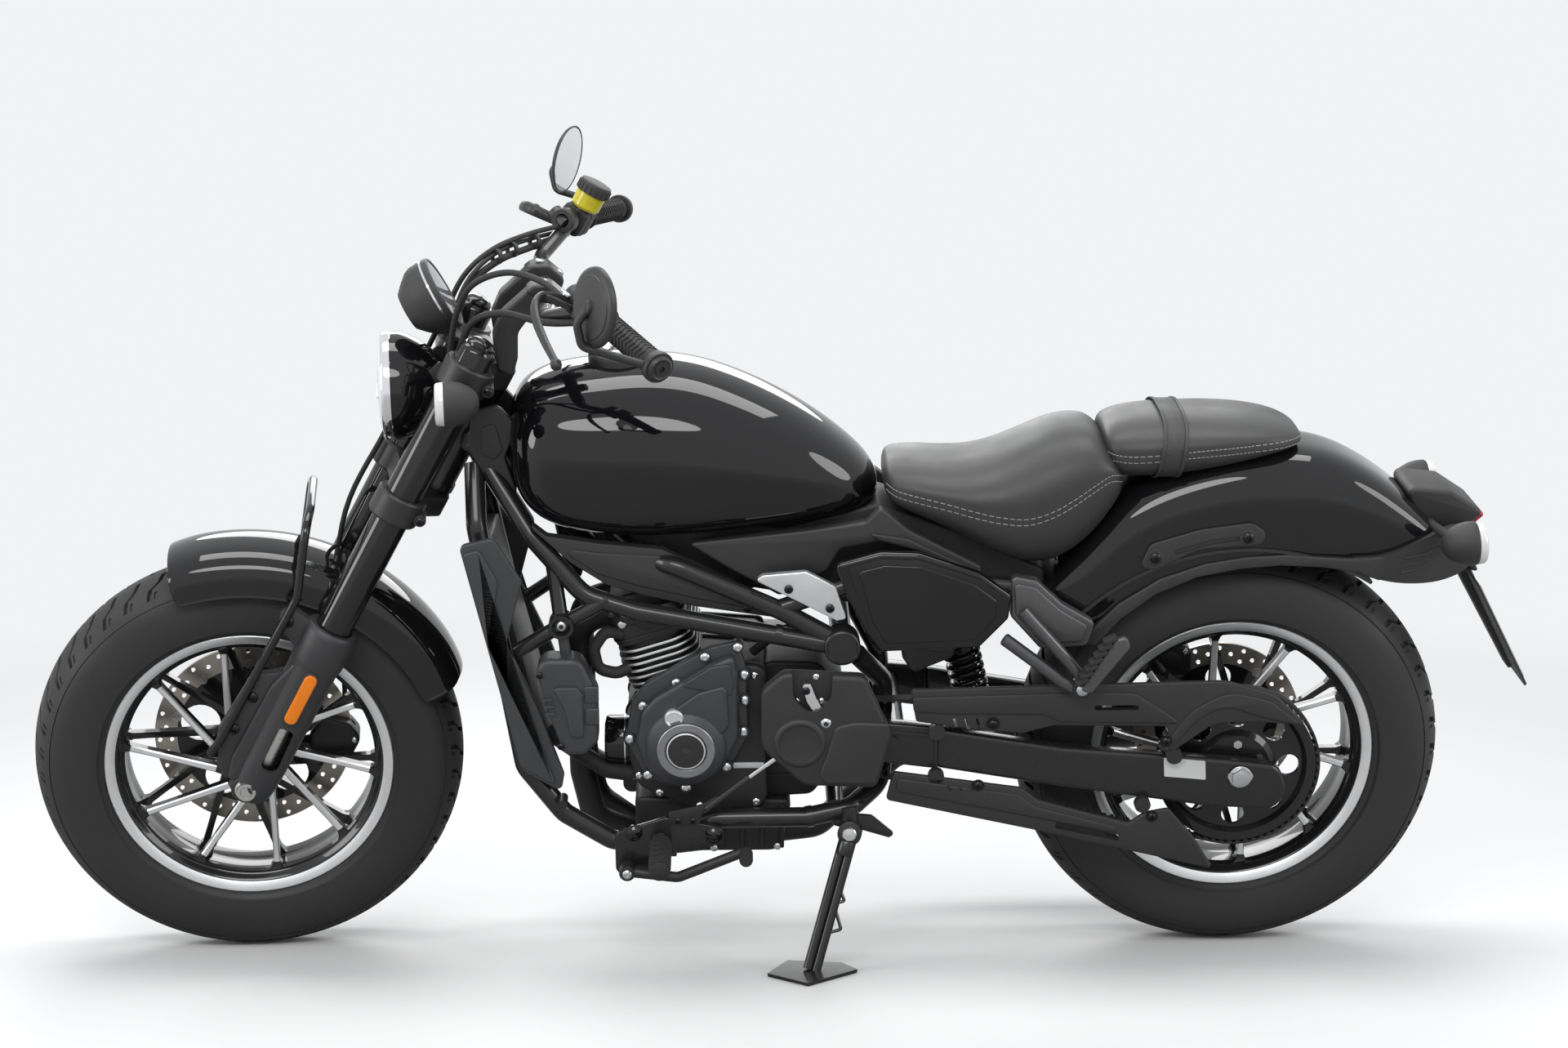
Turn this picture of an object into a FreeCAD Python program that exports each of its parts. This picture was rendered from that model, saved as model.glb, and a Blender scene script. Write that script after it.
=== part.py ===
"""Cruiser motorcycle standing on its side stand, as a parametric FreeCAD assembly.

Two working frames, both in millimetres:
  upright   X forward, Y to the rider's left, Z up, origin on the ground half way between the axles
            of the bike held upright with its steering straight
  steering  Z up along the steering axis, X forward and square to it, Y left, origin where that axis
            meets the ground
Every sub-part is drawn in one of them and then put in the parked stance, which leans to the left
until both tyres and the stand's foot are on the floor, with the steering turned a little to the left.
"""
import FreeCAD, Part
import math
import os
from FreeCAD import Placement, Rotation, Vector

doc = FreeCAD.newDocument("cruiser")

# ---------------------------------------------------------------- driving sizes
# rows: alias, value in mm or degrees, what it is
SIZES = [
    ("wheelbase", 1485.0, "axle to axle"),
    ("rake_angle", 28.5, "steering axis back from the vertical, degrees"),
    ("trail", 110.0, "ground point of the steering axis ahead of the front contact"),
    ("lean_angle", 13.0, "parked lean to the left, degrees"),
    ("parked_steer", 6.5, "parked steering angle to the left, degrees"),
    ("front_tyre_radius", 320.0, "over the crown"),
    ("front_tyre_width", 130.0, "section width"),
    ("front_crown_radius", 72.0, "of the tread in section"),
    ("rear_tyre_radius", 322.0, "over the crown"),
    ("rear_tyre_width", 150.0, "section width"),
    ("rear_crown_radius", 85.0, "of the tread in section"),
    ("rim_radius", 214.5, "over the flanges, both wheels"),
    ("seat_radius", 203.0, "tyre seat of the rims"),
    ("well_radius", 186.0, "inside of the rim barrels"),
    ("front_rim_half", 51.5, "centre to flange face"),
    ("rear_rim_half", 58.5, "centre to flange face"),
    ("flange_depth", 9.0, "of the bright cone inside each flange"),
    ("hub_radius", 33.0, "wheel hubs"),
    ("front_hub_half", 46.0, "centre to hub face"),
    ("rear_hub_half", 56.0, "centre to hub face"),
    ("spoke_count", 10.0, "spoke pairs in each wheel"),
    ("spoke_width", 9.0, "across a spoke"),
    ("spoke_depth", 14.0, "along the axle"),
    ("spoke_miss", 28.0, "axle to the line of a spoke"),
    ("spoke_left", 14.0, "centre to the inner side of the left plane of spokes"),
    ("spoke_right", -28.0, "centre to the outer side of the right plane of spokes"),
    ("axle_radius", 10.0, "front and rear axles"),
    ("axle_clearance", 0.05, "radial running clearance of hubs on axles"),
    ("disc_thickness", 5.0, "brake discs"),
    ("front_disc_radius", 150.0, "brake disc"),
    ("rear_disc_radius", 130.0, "brake disc"),
    ("disc_band", 34.0, "width of the swept ring"),
    ("front_disc_offset", 58.0, "wheel centre to disc centre, on the right"),
    ("rear_disc_offset", 78.0, "wheel centre to disc centre, on the right"),
    ("fork_half", 105.0, "centre line to fork leg"),
    ("fork_offset", 49.0, "steering axis to fork legs"),
    ("fork_tube_radius", 27.0, "upper tubes"),
    ("fork_rod_radius", 20.5, "bright inner tubes"),
    ("slider_radius", 36.0, "lower leg covers"),
    ("slider_top", 616.0, "top of the lower leg covers along the steering axis"),
    ("fork_bottom", 314.0, "lower end of the legs along the steering axis"),
    ("lower_clamp_height", 812.0, "underside of the lower clamp"),
    ("clamp_thickness", 34.0, "both fork clamps"),
    ("upper_clamp_height", 1030.0, "underside of the upper clamp"),
    ("fork_top_rise", 28.0, "upper clamp's top to the fork caps' rim"),
    ("bar_rise", 120.0, "upper clamp's top to the middle of the handlebar"),
    ("stem_radius", 18.0, "steering stem"),
    ("head_radius", 30.0, "steering head tube"),
    ("head_clearance", 0.05, "radial running clearance of the stem"),
    ("head_gap", 0.3, "between the head tube and each clamp"),
    ("bar_radius", 14.0, "handlebar in its clamps"),
    ("bar_grip_radius", 11.0, "handlebar under the grips"),
    ("grip_radius", 17.0, "rubber grips"),
    ("bar_half", 396.0, "centre line to bar end"),
    ("mirror_radius", 54.0, "round mirrors"),
    ("headlight_radius", 80.0, "over the bright ring"),
    ("gauge_radius", 55.0, "round instrument"),
    ("frame_tube_radius", 14.0, "main frame tubes"),
    ("rail_tube_radius", 15.0, "lower cradle tubes"),
    ("tank_half_width", 148.0, "widest section of the tank"),
    ("cap_radius", 38.0, "fuel filler lid"),
    ("cap_thickness", 8.0, "fuel filler lid"),
    ("cap_gap", 0.3, "lid over its ring"),
    ("cap_knuckle", 4.5, "radius of the lid's hinge knuckle"),
    ("cap_pin", 2.0, "radius of the lid's hinge pin"),
    ("cap_pin_clearance", 0.05, "radial running clearance of the knuckle on its pin"),
    ("belt_inner", 84.0, "centre line to the drive belt's inner edge"),
    ("belt_width", 20.0, "drive belt"),
    ("belt_thickness", 6.0, "drive belt"),
    ("pulley_radius", 120.0, "rear pulley"),
    ("engine_pulley_radius", 42.0, "front pulley"),
    ("belt_gap", 0.4, "belt off its rear pulley"),
    ("arm_inner", 109.0, "centre line to the inner face of the swingarm's arms"),
    ("arm_width", 26.0, "of each arm of the swingarm"),
    ("rack_thread_radius", 4.0, "threaded holes in the plates on the rear fender, M8"),
    ("rack_plate", 7.0, "thickness of those plates"),
    ("rack_boss", 15.0, "radius of the round boss about each threaded hole"),
    ("rack_gap", 0.4, "gap between a boss and the plate between two bosses"),
    ("thread_start", 5.5, "where the threads of the bosses start, degrees"),
    ("fender_half", 106.0, "rear fender's half width"),
    ("fender_arch", 345.0, "rear fender's underside about the axle"),
    ("guard_inner", 137.0, "centre line to the belt guards"),
    ("guard_thickness", 12.0, "belt guards"),
    ("panel_skin", 12.0, "side panels"),
    ("origin_forward", -60.0, "middle of the parked bike's box ahead of mid-wheelbase"),
    ("origin_left", 239.0, "middle of the parked bike's box to the left of the tyre line"),
    ("stand_leg_radius", 12.0, "side stand leg"),
    ("stand_axis_tilt", 15.0, "outer end of the stand's pivot raised, degrees"),
    ("stand_axis_toe", 6.0, "outer end of the stand's pivot set forward, degrees"),
    ("stand_ear", 14.0, "thickness of the stand's pivot ear"),
    ("stand_gap", 0.3, "ear to its boss and to the pin's head"),
    ("stand_pin_radius", 6.0, "stand pivot pin"),
    ("stand_pin_clearance", 0.05, "radial running clearance of the ear on the pin"),
    ("stand_plate", 6.0, "thickness of the stand's foot"),
    ("foot_height", 0.0, "floor under the stand's foot"),
]
sheet = doc.addObject("Spreadsheet::Sheet", "sizes")
for row_number, (alias, value, words) in enumerate(SIZES, start=1):
    sheet.set("A%d" % row_number, words)
    sheet.set("B%d" % row_number, str(value))
    sheet.setAlias("B%d" % row_number, alias)
doc.recompute()


def size(alias):
    """Value of one cell of the sheet."""
    return float(sheet.get(alias))


# ---------------------------------------------------------------- frames
X_AXIS = Vector(1, 0, 0)
Y_AXIS = Vector(0, 1, 0)
Z_AXIS = Vector(0, 0, 1)
HALF_BASE = size("wheelbase") / 2
FRONT_AXLE = Vector(HALF_BASE, 0, size("front_tyre_radius"))
REAR_AXLE = Vector(-HALF_BASE, 0, size("rear_tyre_radius"))
front = FRONT_AXLE.x
rear = REAR_AXLE.x
CROWN_STEPS = 5


def tyre_section(radius, width, crown, rim_half):
    """Half of a tyre's section from the crown to the bead, as (distance from the middle, radius)."""
    half = width / 2
    shoulder = math.asin(0.8 * half / crown)
    rows = []
    for step in range(CROWN_STEPS + 1):
        angle = shoulder * step / CROWN_STEPS
        rows.append((crown * math.sin(angle), radius - crown * (1 - math.cos(angle))))
    lip = size("rim_radius")
    bulge = (lip + rows[-1][1]) / 2
    rows += [(0.96 * half, bulge + 22), (half, bulge), (0.97 * half, bulge - 22), (rim_half + 3, lip + 2),
             (rim_half - 3, lip + 0.3), (rim_half - size("flange_depth") - 0.3, size("seat_radius"))]
    return rows


def frames(pitch, lift):
    """Placements of the upright frame, the steering frame and the two wheels in the stance."""
    lean = Placement(Vector(0, 0, lift), Rotation(Y_AXIS, pitch) * Rotation(X_AXIS, -size("lean_angle")))
    rake = Placement(Vector(HALF_BASE + size("trail"), 0, 0), Rotation(Y_AXIS, -size("rake_angle")))
    turned = lean * rake * Placement(Vector(), Rotation(Z_AXIS, size("parked_steer")))
    front = turned * Placement(rake.inverse().multVec(FRONT_AXLE), Rotation())
    rear = lean * Placement(REAR_AXLE, Rotation())
    return lean, turned, front, rear


def lowest(wheel, section):
    """Height of a leaning tyre's lowest point, from its section."""
    axle = wheel.Rotation.multVec(Y_AXIS)
    upright = math.sqrt(1 - axle.z ** 2)
    return wheel.Base.z - max(radius * upright + across * abs(axle.z) for across, radius in section)


FRONT_SECTION = tyre_section(size("front_tyre_radius"), size("front_tyre_width"),
                             size("front_crown_radius"), size("front_rim_half"))
REAR_SECTION = tyre_section(size("rear_tyre_radius"), size("rear_tyre_width"),
                            size("rear_crown_radius"), size("rear_rim_half"))
pitch_angle = 0.0
lift_height = 0.0
for step in range(4):
    front_wheel = frames(pitch_angle, lift_height)[2]
    rear_wheel = frames(pitch_angle, lift_height)[3]
    front_low = lowest(front_wheel, FRONT_SECTION)
    rear_low = lowest(rear_wheel, REAR_SECTION)
    pitch_angle += math.degrees(math.atan((front_low - rear_low) / size("wheelbase")))
    lift_height -= (front_low + rear_low) / 2
UPRIGHT, STEERING, FRONT_WHEEL, REAR_WHEEL = frames(pitch_angle, lift_height)
ROW_ORIGIN = Vector(size("origin_forward"), size("origin_left"), 0)

parts = []


def keep(feature, label, frame):
    """Name a sub-part, put it in the stance and list it for writing."""
    feature.Label = label
    feature.Placement = Placement(-ROW_ORIGIN, Rotation()) * frame * feature.Placement
    parts.append(feature)
    return feature


# ---------------------------------------------------------------- drawing helpers
def corner(before, here, after, radius):
    """Start, top, end and centre of a round corner; its tangents take at most 0.45 of the shorter run."""
    back = before - here
    ahead = after - here
    half = back.getAngle(ahead) / 2
    reach = min(radius / math.tan(half), 0.45 * min(back.Length, ahead.Length))
    radius = reach * math.tan(half)
    back.normalize()
    ahead.normalize()
    middle = here + (back + ahead).normalize() * (radius / math.sin(half))
    top = middle + (here - middle).normalize() * radius
    return here + back * reach, top, here + ahead * reach, middle


def runs(points, radii, closed):
    """Straight runs joined by tangent arcs, as Part curves."""
    count = len(points)
    ends = []
    for i, here in enumerate(points):
        inner = closed or 0 < i < count - 1
        if inner and radii[i] > 0:
            ends.append(corner(points[i - 1], here, points[(i + 1) % count], radii[i])[:3])
        else:
            ends.append((here, None, here))
    curves = []
    for i, (start, top, end) in enumerate(ends):
        if top is not None:
            curves.append(Part.Arc(start, top, end))
        last = i == count - 1
        if last and not closed:
            break
        following = ends[(i + 1) % count][0]
        if end.distanceToPoint(following) > 1e-6:
            curves.append(Part.LineSegment(end, following))
    return curves


def outline(rows):
    """Closed flat outline; rows: a, b, corner radius."""
    points = [Vector(row[0], row[1], 0) for row in rows]
    return runs(points, [row[2] if len(row) > 2 else 0 for row in rows], True)


def tube(points, radius, bend):
    """Round bar along straight runs joined by arcs of the given bend radius."""
    path = [Vector(*point) for point in points]
    pieces = []
    start = path[0]
    for i in range(1, len(path) - 1):
        first, _, last, middle = corner(path[i - 1], path[i], path[i + 1], bend)
        way = first - start
        pieces.append(Part.makeCylinder(radius, way.Length, start, way))
        spoke_in = first - middle
        spoke_out = last - middle
        axis = spoke_in.cross(spoke_out)
        section = Part.Face(Part.Wire(Part.makeCircle(radius, first, way)))
        sweep = math.degrees(spoke_in.getAngle(spoke_out))
        pieces.append(section.revolve(middle, axis, sweep))
        start = last
    way = path[-1] - start
    pieces.append(Part.makeCylinder(radius, way.Length, start, way))
    return pieces[0].fuse(pieces[1:]) if len(pieces) > 1 else pieces[0]


def rod(start, end, radius):
    """Round bar between two points."""
    start = Vector(*start)
    way = Vector(*end) - start
    return Part.makeCylinder(radius, way.Length, start, way)


def flat(rows, y_low, y_high):
    """Slab with its outline in the XZ plane; rows: x, z, corner radius."""
    edges = [curve.toShape() for curve in outline(rows)]
    face = Part.Face(Part.Wire(Part.sortEdges(edges)[0]))
    slab = face.extrude(Vector(0, 0, y_high - y_low))
    slab.rotate(Vector(), X_AXIS, 90)
    slab.translate(Vector(0, y_high, 0))
    return slab


def both(shape):
    """The shape and its mirror image on the other side."""
    return [shape, shape.mirror(Vector(), Y_AXIS)]


def fused(shapes):
    """One clean solid, or compound of solids, from shapes that touch."""
    first = shapes[0]
    joined = first.fuse(shapes[1:]) if len(shapes) > 1 else first
    return joined.removeSplitter()


def free_shape(label, frame, shape):
    """Sub-part whose form is set by Part's own functions."""
    feature = doc.addObject("Part::Feature", label)
    feature.Shape = shape
    return keep(feature, label, frame)


# ---------------------------------------------------------------- PartDesign helpers
def new_body(label, frame):
    body = doc.addObject("PartDesign::Body", label)
    return keep(body, label, frame)


def origin_plane(body, role):
    return [item for item in body.Origin.OriginFeatures if item.Role == role][0]


def sketch(body, role, loops, name, away=None):
    """Sketch on one of the body's own planes; away names the cell that moves it along +Y, +X or +Z."""
    drawing = body.newObject("Sketcher::SketchObject", name)
    drawing.AttachmentSupport = (origin_plane(body, role), [""])
    drawing.MapMode = "FlatFace"
    if away:
        sign = "-" if role == "XZ_Plane" else ""
        drawing.setExpression("AttachmentOffset.Base.z", "%ssizes.%s" % (sign, away))
    for loop in loops:
        for curve in loop:
            drawing.addGeometry(curve, False)
    return drawing


def pad(body, drawing, length, reverse=True, middle=False):
    """Pad by the length in a cell; on the XZ plane reverse=True grows it towards +Y."""
    feature = body.newObject("PartDesign::Pad", "Pad")
    feature.Profile = drawing
    feature.setExpression("Length", length)
    feature.Reversed = reverse
    feature.Midplane = middle
    drawing.Visibility = False
    return feature


def turn(body, drawing):
    """Full revolution of a sketch on the YZ plane about the Y axis of the body."""
    feature = body.newObject("PartDesign::Revolution", "Revolution")
    feature.Profile = drawing
    feature.ReferenceAxis = (drawing, ["H_Axis"])
    feature.Angle = 360.0
    return feature


def mirrored(body, feature):
    """Second copy of a feature on the right-hand side."""
    twin = body.newObject("PartDesign::Mirrored", "Mirrored")
    twin.Originals = [feature]
    twin.MirrorPlane = (origin_plane(body, "XZ_Plane"), [""])
    body.Tip = twin
    return twin


def side_plates(label, frame, rows, inner, thickness):
    """A plate on each side, drawn once on the left; rows: x, z, corner radius."""
    body = new_body(label, frame)
    drawing = sketch(body, "XZ_Plane", [outline(rows)], label + "_outline", inner)
    mirrored(body, pad(body, drawing, "sizes." + thickness))
    return body


# ---------------------------------------------------------------- wheels
def tyre(label, frame, rows):
    """Tyre ring turned from its section."""
    section = rows + [(-across, radius) for across, radius in reversed(rows[1:])]
    body = new_body(label, frame)
    turn(body, sketch(body, "YZ_Plane", [outline(section)], label + "_section"))
    return body


tyre("front_tyre", FRONT_WHEEL, FRONT_SECTION)
tyre("rear_tyre", REAR_WHEEL, REAR_SECTION)


SPOKE_ROOT = 12


def rim(label, frame, half, hub_half):
    """Cast wheel: flanged barrel, hub bored for the axle, and two crossed planes of spokes."""
    body = new_body(label, frame)
    seat = size("seat_radius")
    well = size("well_radius")
    lip = size("rim_radius")
    depth = size("flange_depth")
    rows = [(-half, lip), (3 - half, lip), (depth - half, seat), (half - depth, seat),
            (half - 3, lip), (half, lip), (half - 5, seat - 4), (half - depth - 6, well + 6),
            (half - depth - 16, well), (16 + depth - half, well), (6 + depth - half, well + 6),
            (5 - half, seat - 4)]
    turn(body, sketch(body, "YZ_Plane", [outline(rows)], label + "_barrel"))
    bore = size("axle_radius") + size("axle_clearance")
    hub_rows = [(-hub_half, bore), (hub_half, bore), (hub_half, size("hub_radius")),
                (-hub_half, size("hub_radius"))]
    hub = body.newObject("PartDesign::Revolution", "Hub")
    hub.Profile = sketch(body, "YZ_Plane", [outline(hub_rows)], label + "_hub")
    hub.ReferenceAxis = (hub.Profile[0], ["H_Axis"])
    width = size("spoke_width") / 2
    tip = well + 3
    for plane_name, miss in (("spoke_left", size("spoke_miss")), ("spoke_right", -size("spoke_miss"))):
        spoke_rows = [(miss - width, SPOKE_ROOT), (miss + width, SPOKE_ROOT), (miss + width, tip),
                      (miss - width, tip)]
        drawing = sketch(body, "XZ_Plane", [outline(spoke_rows)], label + "_" + plane_name, plane_name)
        spoke = pad(body, drawing, "sizes.spoke_depth")
        ring = body.newObject("PartDesign::PolarPattern", "Spokes")
        ring.Originals = [spoke]
        ring.Axis = (origin_axis(body), [""])
        ring.setExpression("Occurrences", "sizes.spoke_count")
        body.Tip = ring
    return body


def origin_axis(body):
    return [item for item in body.Origin.OriginFeatures if item.Role == "Y_Axis"][0]


rim("front_rim", FRONT_WHEEL, size("front_rim_half"), size("front_hub_half"))
rim("rear_rim", REAR_WHEEL, size("rear_rim_half"), size("rear_hub_half"))


def disc(label, frame, radius, offset, hub_half):
    """Brake disc on the right: swept ring, carrier and the boss that bolts it to the hub."""
    body = new_body(label, frame)
    half = size("disc_thickness") / 2
    inner = radius - size("disc_band")
    rows = [(-offset - half, radius), (-offset + half, radius), (-offset + half, size("hub_radius")),
            (-hub_half, size("hub_radius")), (-hub_half, size("axle_radius") + 8),
            (-offset - half, size("axle_radius") + 8)]
    turn(body, sketch(body, "YZ_Plane", [outline(rows)], label + "_section"))
    return body


disc("front_disc", FRONT_WHEEL, size("front_disc_radius"), size("front_disc_offset"), size("front_hub_half"))
disc("rear_disc", REAR_WHEEL, size("rear_disc_radius"), size("rear_disc_offset"), size("rear_hub_half"))

pulley = new_body("rear_pulley", REAR_WHEEL)
belt_low = size("belt_inner")
belt_high = belt_low + size("belt_width")
pulley_rows = [(size("rear_hub_half"), size("axle_radius") + 8), (belt_high, size("axle_radius") + 8),
               (belt_high, size("pulley_radius")), (belt_low, size("pulley_radius")),
               (belt_low, size("hub_radius") + 16), (size("rear_hub_half"), size("hub_radius") + 16)]
turn(pulley, sketch(pulley, "YZ_Plane", [outline(pulley_rows)], "pulley_section"))

# ---------------------------------------------------------------- axles
free_shape("rear_axle", UPRIGHT, fused([
    rod((REAR_AXLE.x, -150, REAR_AXLE.z), (REAR_AXLE.x, 150, REAR_AXLE.z), size("axle_radius")),
    rod((REAR_AXLE.x, 135, REAR_AXLE.z), (REAR_AXLE.x, 146, REAR_AXLE.z), 18),
    rod((REAR_AXLE.x, -135, REAR_AXLE.z), (REAR_AXLE.x, -146, REAR_AXLE.z), 18),
]))
axle_point = Placement(STEERING).inverse().multVec(FRONT_WHEEL.Base)
free_shape("front_axle", STEERING, rod((axle_point.x, -138, axle_point.z), (axle_point.x, 138, axle_point.z),
                                       size("axle_radius")))

# ---------------------------------------------------------------- front fork
leg_x = size("fork_offset")
leg_y = size("fork_half")
tube_low = size("slider_top") - 60
fork_top = size("upper_clamp_height") + size("clamp_thickness") + size("fork_top_rise")
fork_legs = []
for side in (1, -1):
    leg = fused([
        rod((leg_x, side * leg_y, tube_low), (leg_x, side * leg_y, fork_top), size("fork_tube_radius")),
        rod((leg_x, side * leg_y, size("fork_bottom") + 40), (leg_x, side * leg_y, tube_low + 10),
            size("fork_rod_radius")),
        rod((leg_x, side * leg_y, fork_top), (leg_x, side * leg_y, fork_top + 14), 21),
    ])
    fork_legs.append(leg)
free_shape("fork_tubes", STEERING, Part.makeCompound(fork_legs))

sliders = []
for side in (1, -1):
    cup = rod((leg_x, side * leg_y, size("fork_bottom") + 20), (leg_x, side * leg_y, size("slider_top")),
              size("slider_radius"))
    lug = rod((axle_point.x, side * (leg_y - 22), axle_point.z), (axle_point.x, side * (leg_y + 22), axle_point.z),
              25)
    flange = flat([(leg_x, 385), (112, 385, 18), (132, 410, 10), (134, 500, 10), (112, 530), (leg_x, 530)],
                  leg_y - 6, leg_y + 8)
    if side < 0:
        flange = flange.mirror(Vector(), Y_AXIS)
    hollow = rod((leg_x, side * leg_y, tube_low), (leg_x, side * leg_y, size("slider_top") + 10),
                 size("fork_tube_radius") + 0.3)
    core = rod((leg_x, side * leg_y, size("fork_bottom") + 40), (leg_x, side * leg_y, tube_low + 1),
               size("fork_rod_radius"))
    hole = rod((axle_point.x, side * (leg_y - 40), axle_point.z), (axle_point.x, side * (leg_y + 40), axle_point.z),
               size("axle_radius"))
    sliders.append(fused([cup, lug, flange]).cut([hollow, core, hole]))
free_shape("fork_covers", STEERING, Part.makeCompound(sliders))


def clamp(label, low, stem_from, stem_to):
    """Fork clamp with its two leg bores; the lower one carries the stem."""
    thick = size("clamp_thickness")
    plate = Part.makeBox(58, 2 * leg_y, thick, Vector(leg_x - 26, -leg_y, low))
    hub = Part.makeCylinder(34, thick, Vector(0, 0, low))
    neck = Part.makeBox(leg_x, 60, thick, Vector(0, -30, low))
    shapes = [plate, hub, neck]
    for side in (1, -1):
        shapes.append(Part.makeCylinder(size("fork_tube_radius") + 9, thick, Vector(leg_x, side * leg_y, low)))
    solid = fused(shapes)
    for side in (1, -1):
        solid = solid.cut(Part.makeCylinder(size("fork_tube_radius"), thick + 2,
                                            Vector(leg_x, side * leg_y, low - 1)))
    if stem_to:
        solid = solid.fuse(Part.makeCylinder(size("stem_radius"), stem_to - stem_from, Vector(0, 0, stem_from)))
        solid = solid.removeSplitter()
    return free_shape(label, STEERING, solid)


lower_top = size("lower_clamp_height") + size("clamp_thickness")
clamp("lower_clamp", size("lower_clamp_height"), lower_top - 5, size("upper_clamp_height"))
clamp("upper_clamp", size("upper_clamp_height"), 0, 0)

# ---------------------------------------------------------------- handlebar and controls
clamp_top = size("upper_clamp_height") + size("clamp_thickness")
bar_z = clamp_top + size("bar_rise")
bar_x = -12
half = size("bar_half")
center_bar = tube([(bar_x, -120, bar_z), (bar_x, 120, bar_z)], size("bar_radius"), 1)
bar_left = tube([(bar_x, 110, bar_z), (bar_x + 4, 150, bar_z + 4), (-40, 235, bar_z + 62),
                 (-122, half, bar_z + 72)],
                size("bar_grip_radius"), 40)
free_shape("handlebar", STEERING, fused([center_bar] + both(bar_left)))

riser_y = 50
risers = []
for side in (1, -1):
    post = tube([(-14, side * riser_y, clamp_top),
                 (20, side * riser_y, bar_z - 44), (bar_x, side * riser_y, bar_z)], 17, 30)
    block = rod((bar_x, side * riser_y - 19, bar_z), (bar_x, side * riser_y + 19, bar_z), 25)
    risers.append(fused([post, block]).cut(rod((bar_x, -100, bar_z), (bar_x, 100, bar_z), size("bar_radius"))))
free_shape("bar_risers", STEERING, Part.makeCompound(risers))

bar_knee = Vector(-40, 235, bar_z + 62)
grip_out = Vector(-122, half, bar_z + 72)
grip_in = bar_knee + (grip_out - bar_knee) * 0.22
bore = rod(tuple(grip_in - (grip_out - grip_in) * 0.2), tuple(grip_out + (grip_out - grip_in) * 0.2),
           size("bar_grip_radius"))
grip = rod(tuple(grip_in), tuple(grip_out), size("grip_radius"))
end_weight = rod(tuple(grip_out), tuple(grip_out + (grip_out - grip_in).normalize() * 16), 16)
free_shape("grips", STEERING, Part.makeCompound(both(fused([grip.cut(bore), end_weight]))))

switch_box = Part.makeBox(40, 46, 46, Vector(-66, 222, bar_z + 38))
switch = switch_box.cut([bar_left, grip])
lever = tube([(-20, 216, bar_z + 52), (30, 235, bar_z + 44), (20, 290, bar_z + 31),
              (-50, half - 6, bar_z + 21)], 6, 18)
reservoir = Part.makeCylinder(24, 44, Vector(-46, -232, bar_z + 84))
free_shape("bar_controls", STEERING, Part.makeCompound(both(switch) + [reservoir]))
free_shape("hand_levers", STEERING, Part.makeCompound(both(lever)))

mirror_stem = tube([(-128, half + 8, bar_z + 71), (-20, half + 8, bar_z + 52), (-2, half + 6, bar_z + 78),
                    (-8, half + 4, bar_z + 104)], 6, 12)
mirror_disc = Part.makeCylinder(size("mirror_radius"), 12, Vector(-10, half + 4, bar_z + 104),
                                Vector(-1, -0.15, 0.35))
mirror_left = fused([mirror_stem, mirror_disc]).cut([end_weight, grip, bar_left])
free_shape("mirrors", STEERING, Part.makeCompound(both(mirror_left)))

# ---------------------------------------------------------------- lamps and instrument
rake = math.radians(size("rake_angle"))
ahead = Vector(math.cos(rake), 0, -math.sin(rake))
lamp_face = Vector(129, 0, 951)
lamp = Part.makeCylinder(size("headlight_radius"), 26, lamp_face - ahead * 26, ahead)
bowl = Part.makeCone(size("headlight_radius") - 4, 34, 62, lamp_face - ahead * 25, -ahead)
lamp_ear = flat([(56, size("upper_clamp_height")), (80, size("upper_clamp_height")), (104, lamp_face.z + 11, 8),
                 (84, lamp_face.z - 5, 8)], 38, 44)
free_shape("headlight", STEERING, fused([lamp, bowl] + both(lamp_ear)))
gauge_face = Vector(115, 0, clamp_top + 54)
gauge_way = Vector(-0.55, 0, 0.83)
free_shape("instrument", STEERING, fused([
    Part.makeCylinder(size("gauge_radius"), 36, gauge_face, -gauge_way),
    Part.makeCone(size("gauge_radius") - 4, 30, 26, gauge_face - gauge_way.normalize() * 35, -gauge_way),
    flat([(44, clamp_top), (44, clamp_top + 6), (96, clamp_top + 6, 8), (120, clamp_top + 32),
          (146, clamp_top + 16),
          (112, clamp_top, 8)], -22, 22)]))
signal_left = fused([
    Part.makeCone(26, 12, 42, Vector(56, 172, clamp_top - 42) - ahead * 4, -ahead),
    Part.makeCylinder(27, 12, Vector(56, 172, clamp_top - 42) - ahead * 5, ahead),
    rod((40, 118, clamp_top - 54), (40, 172, clamp_top - 50), 9)]).cut(fork_legs[0])
free_shape("front_signals", STEERING, Part.makeCompound(both(signal_left)))

# ---------------------------------------------------------------- front fender and brace
fender_gap = 18
inner_radius = size("front_tyre_radius") + fender_gap
fender_profile = [(-72, inner_radius - 40), (-72, inner_radius - 10), (-40, inner_radius + 22),
                  (40, inner_radius + 22), (72, inner_radius - 10), (72, inner_radius - 40)]


def hoop(profile, start, end, center):
    """Sheet with the given half-section swept about a wheel's axle; angles run back from dead ahead."""
    points = [Vector(0, row[0], row[1]) for row in profile]
    face = Part.Face(Part.makePolygon(points + [points[0]]))
    face.rotate(Vector(), Y_AXIS, 90 - start)
    solid = face.revolve(Vector(), Y_AXIS, -(end - start))
    solid.translate(center)
    return solid


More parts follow.
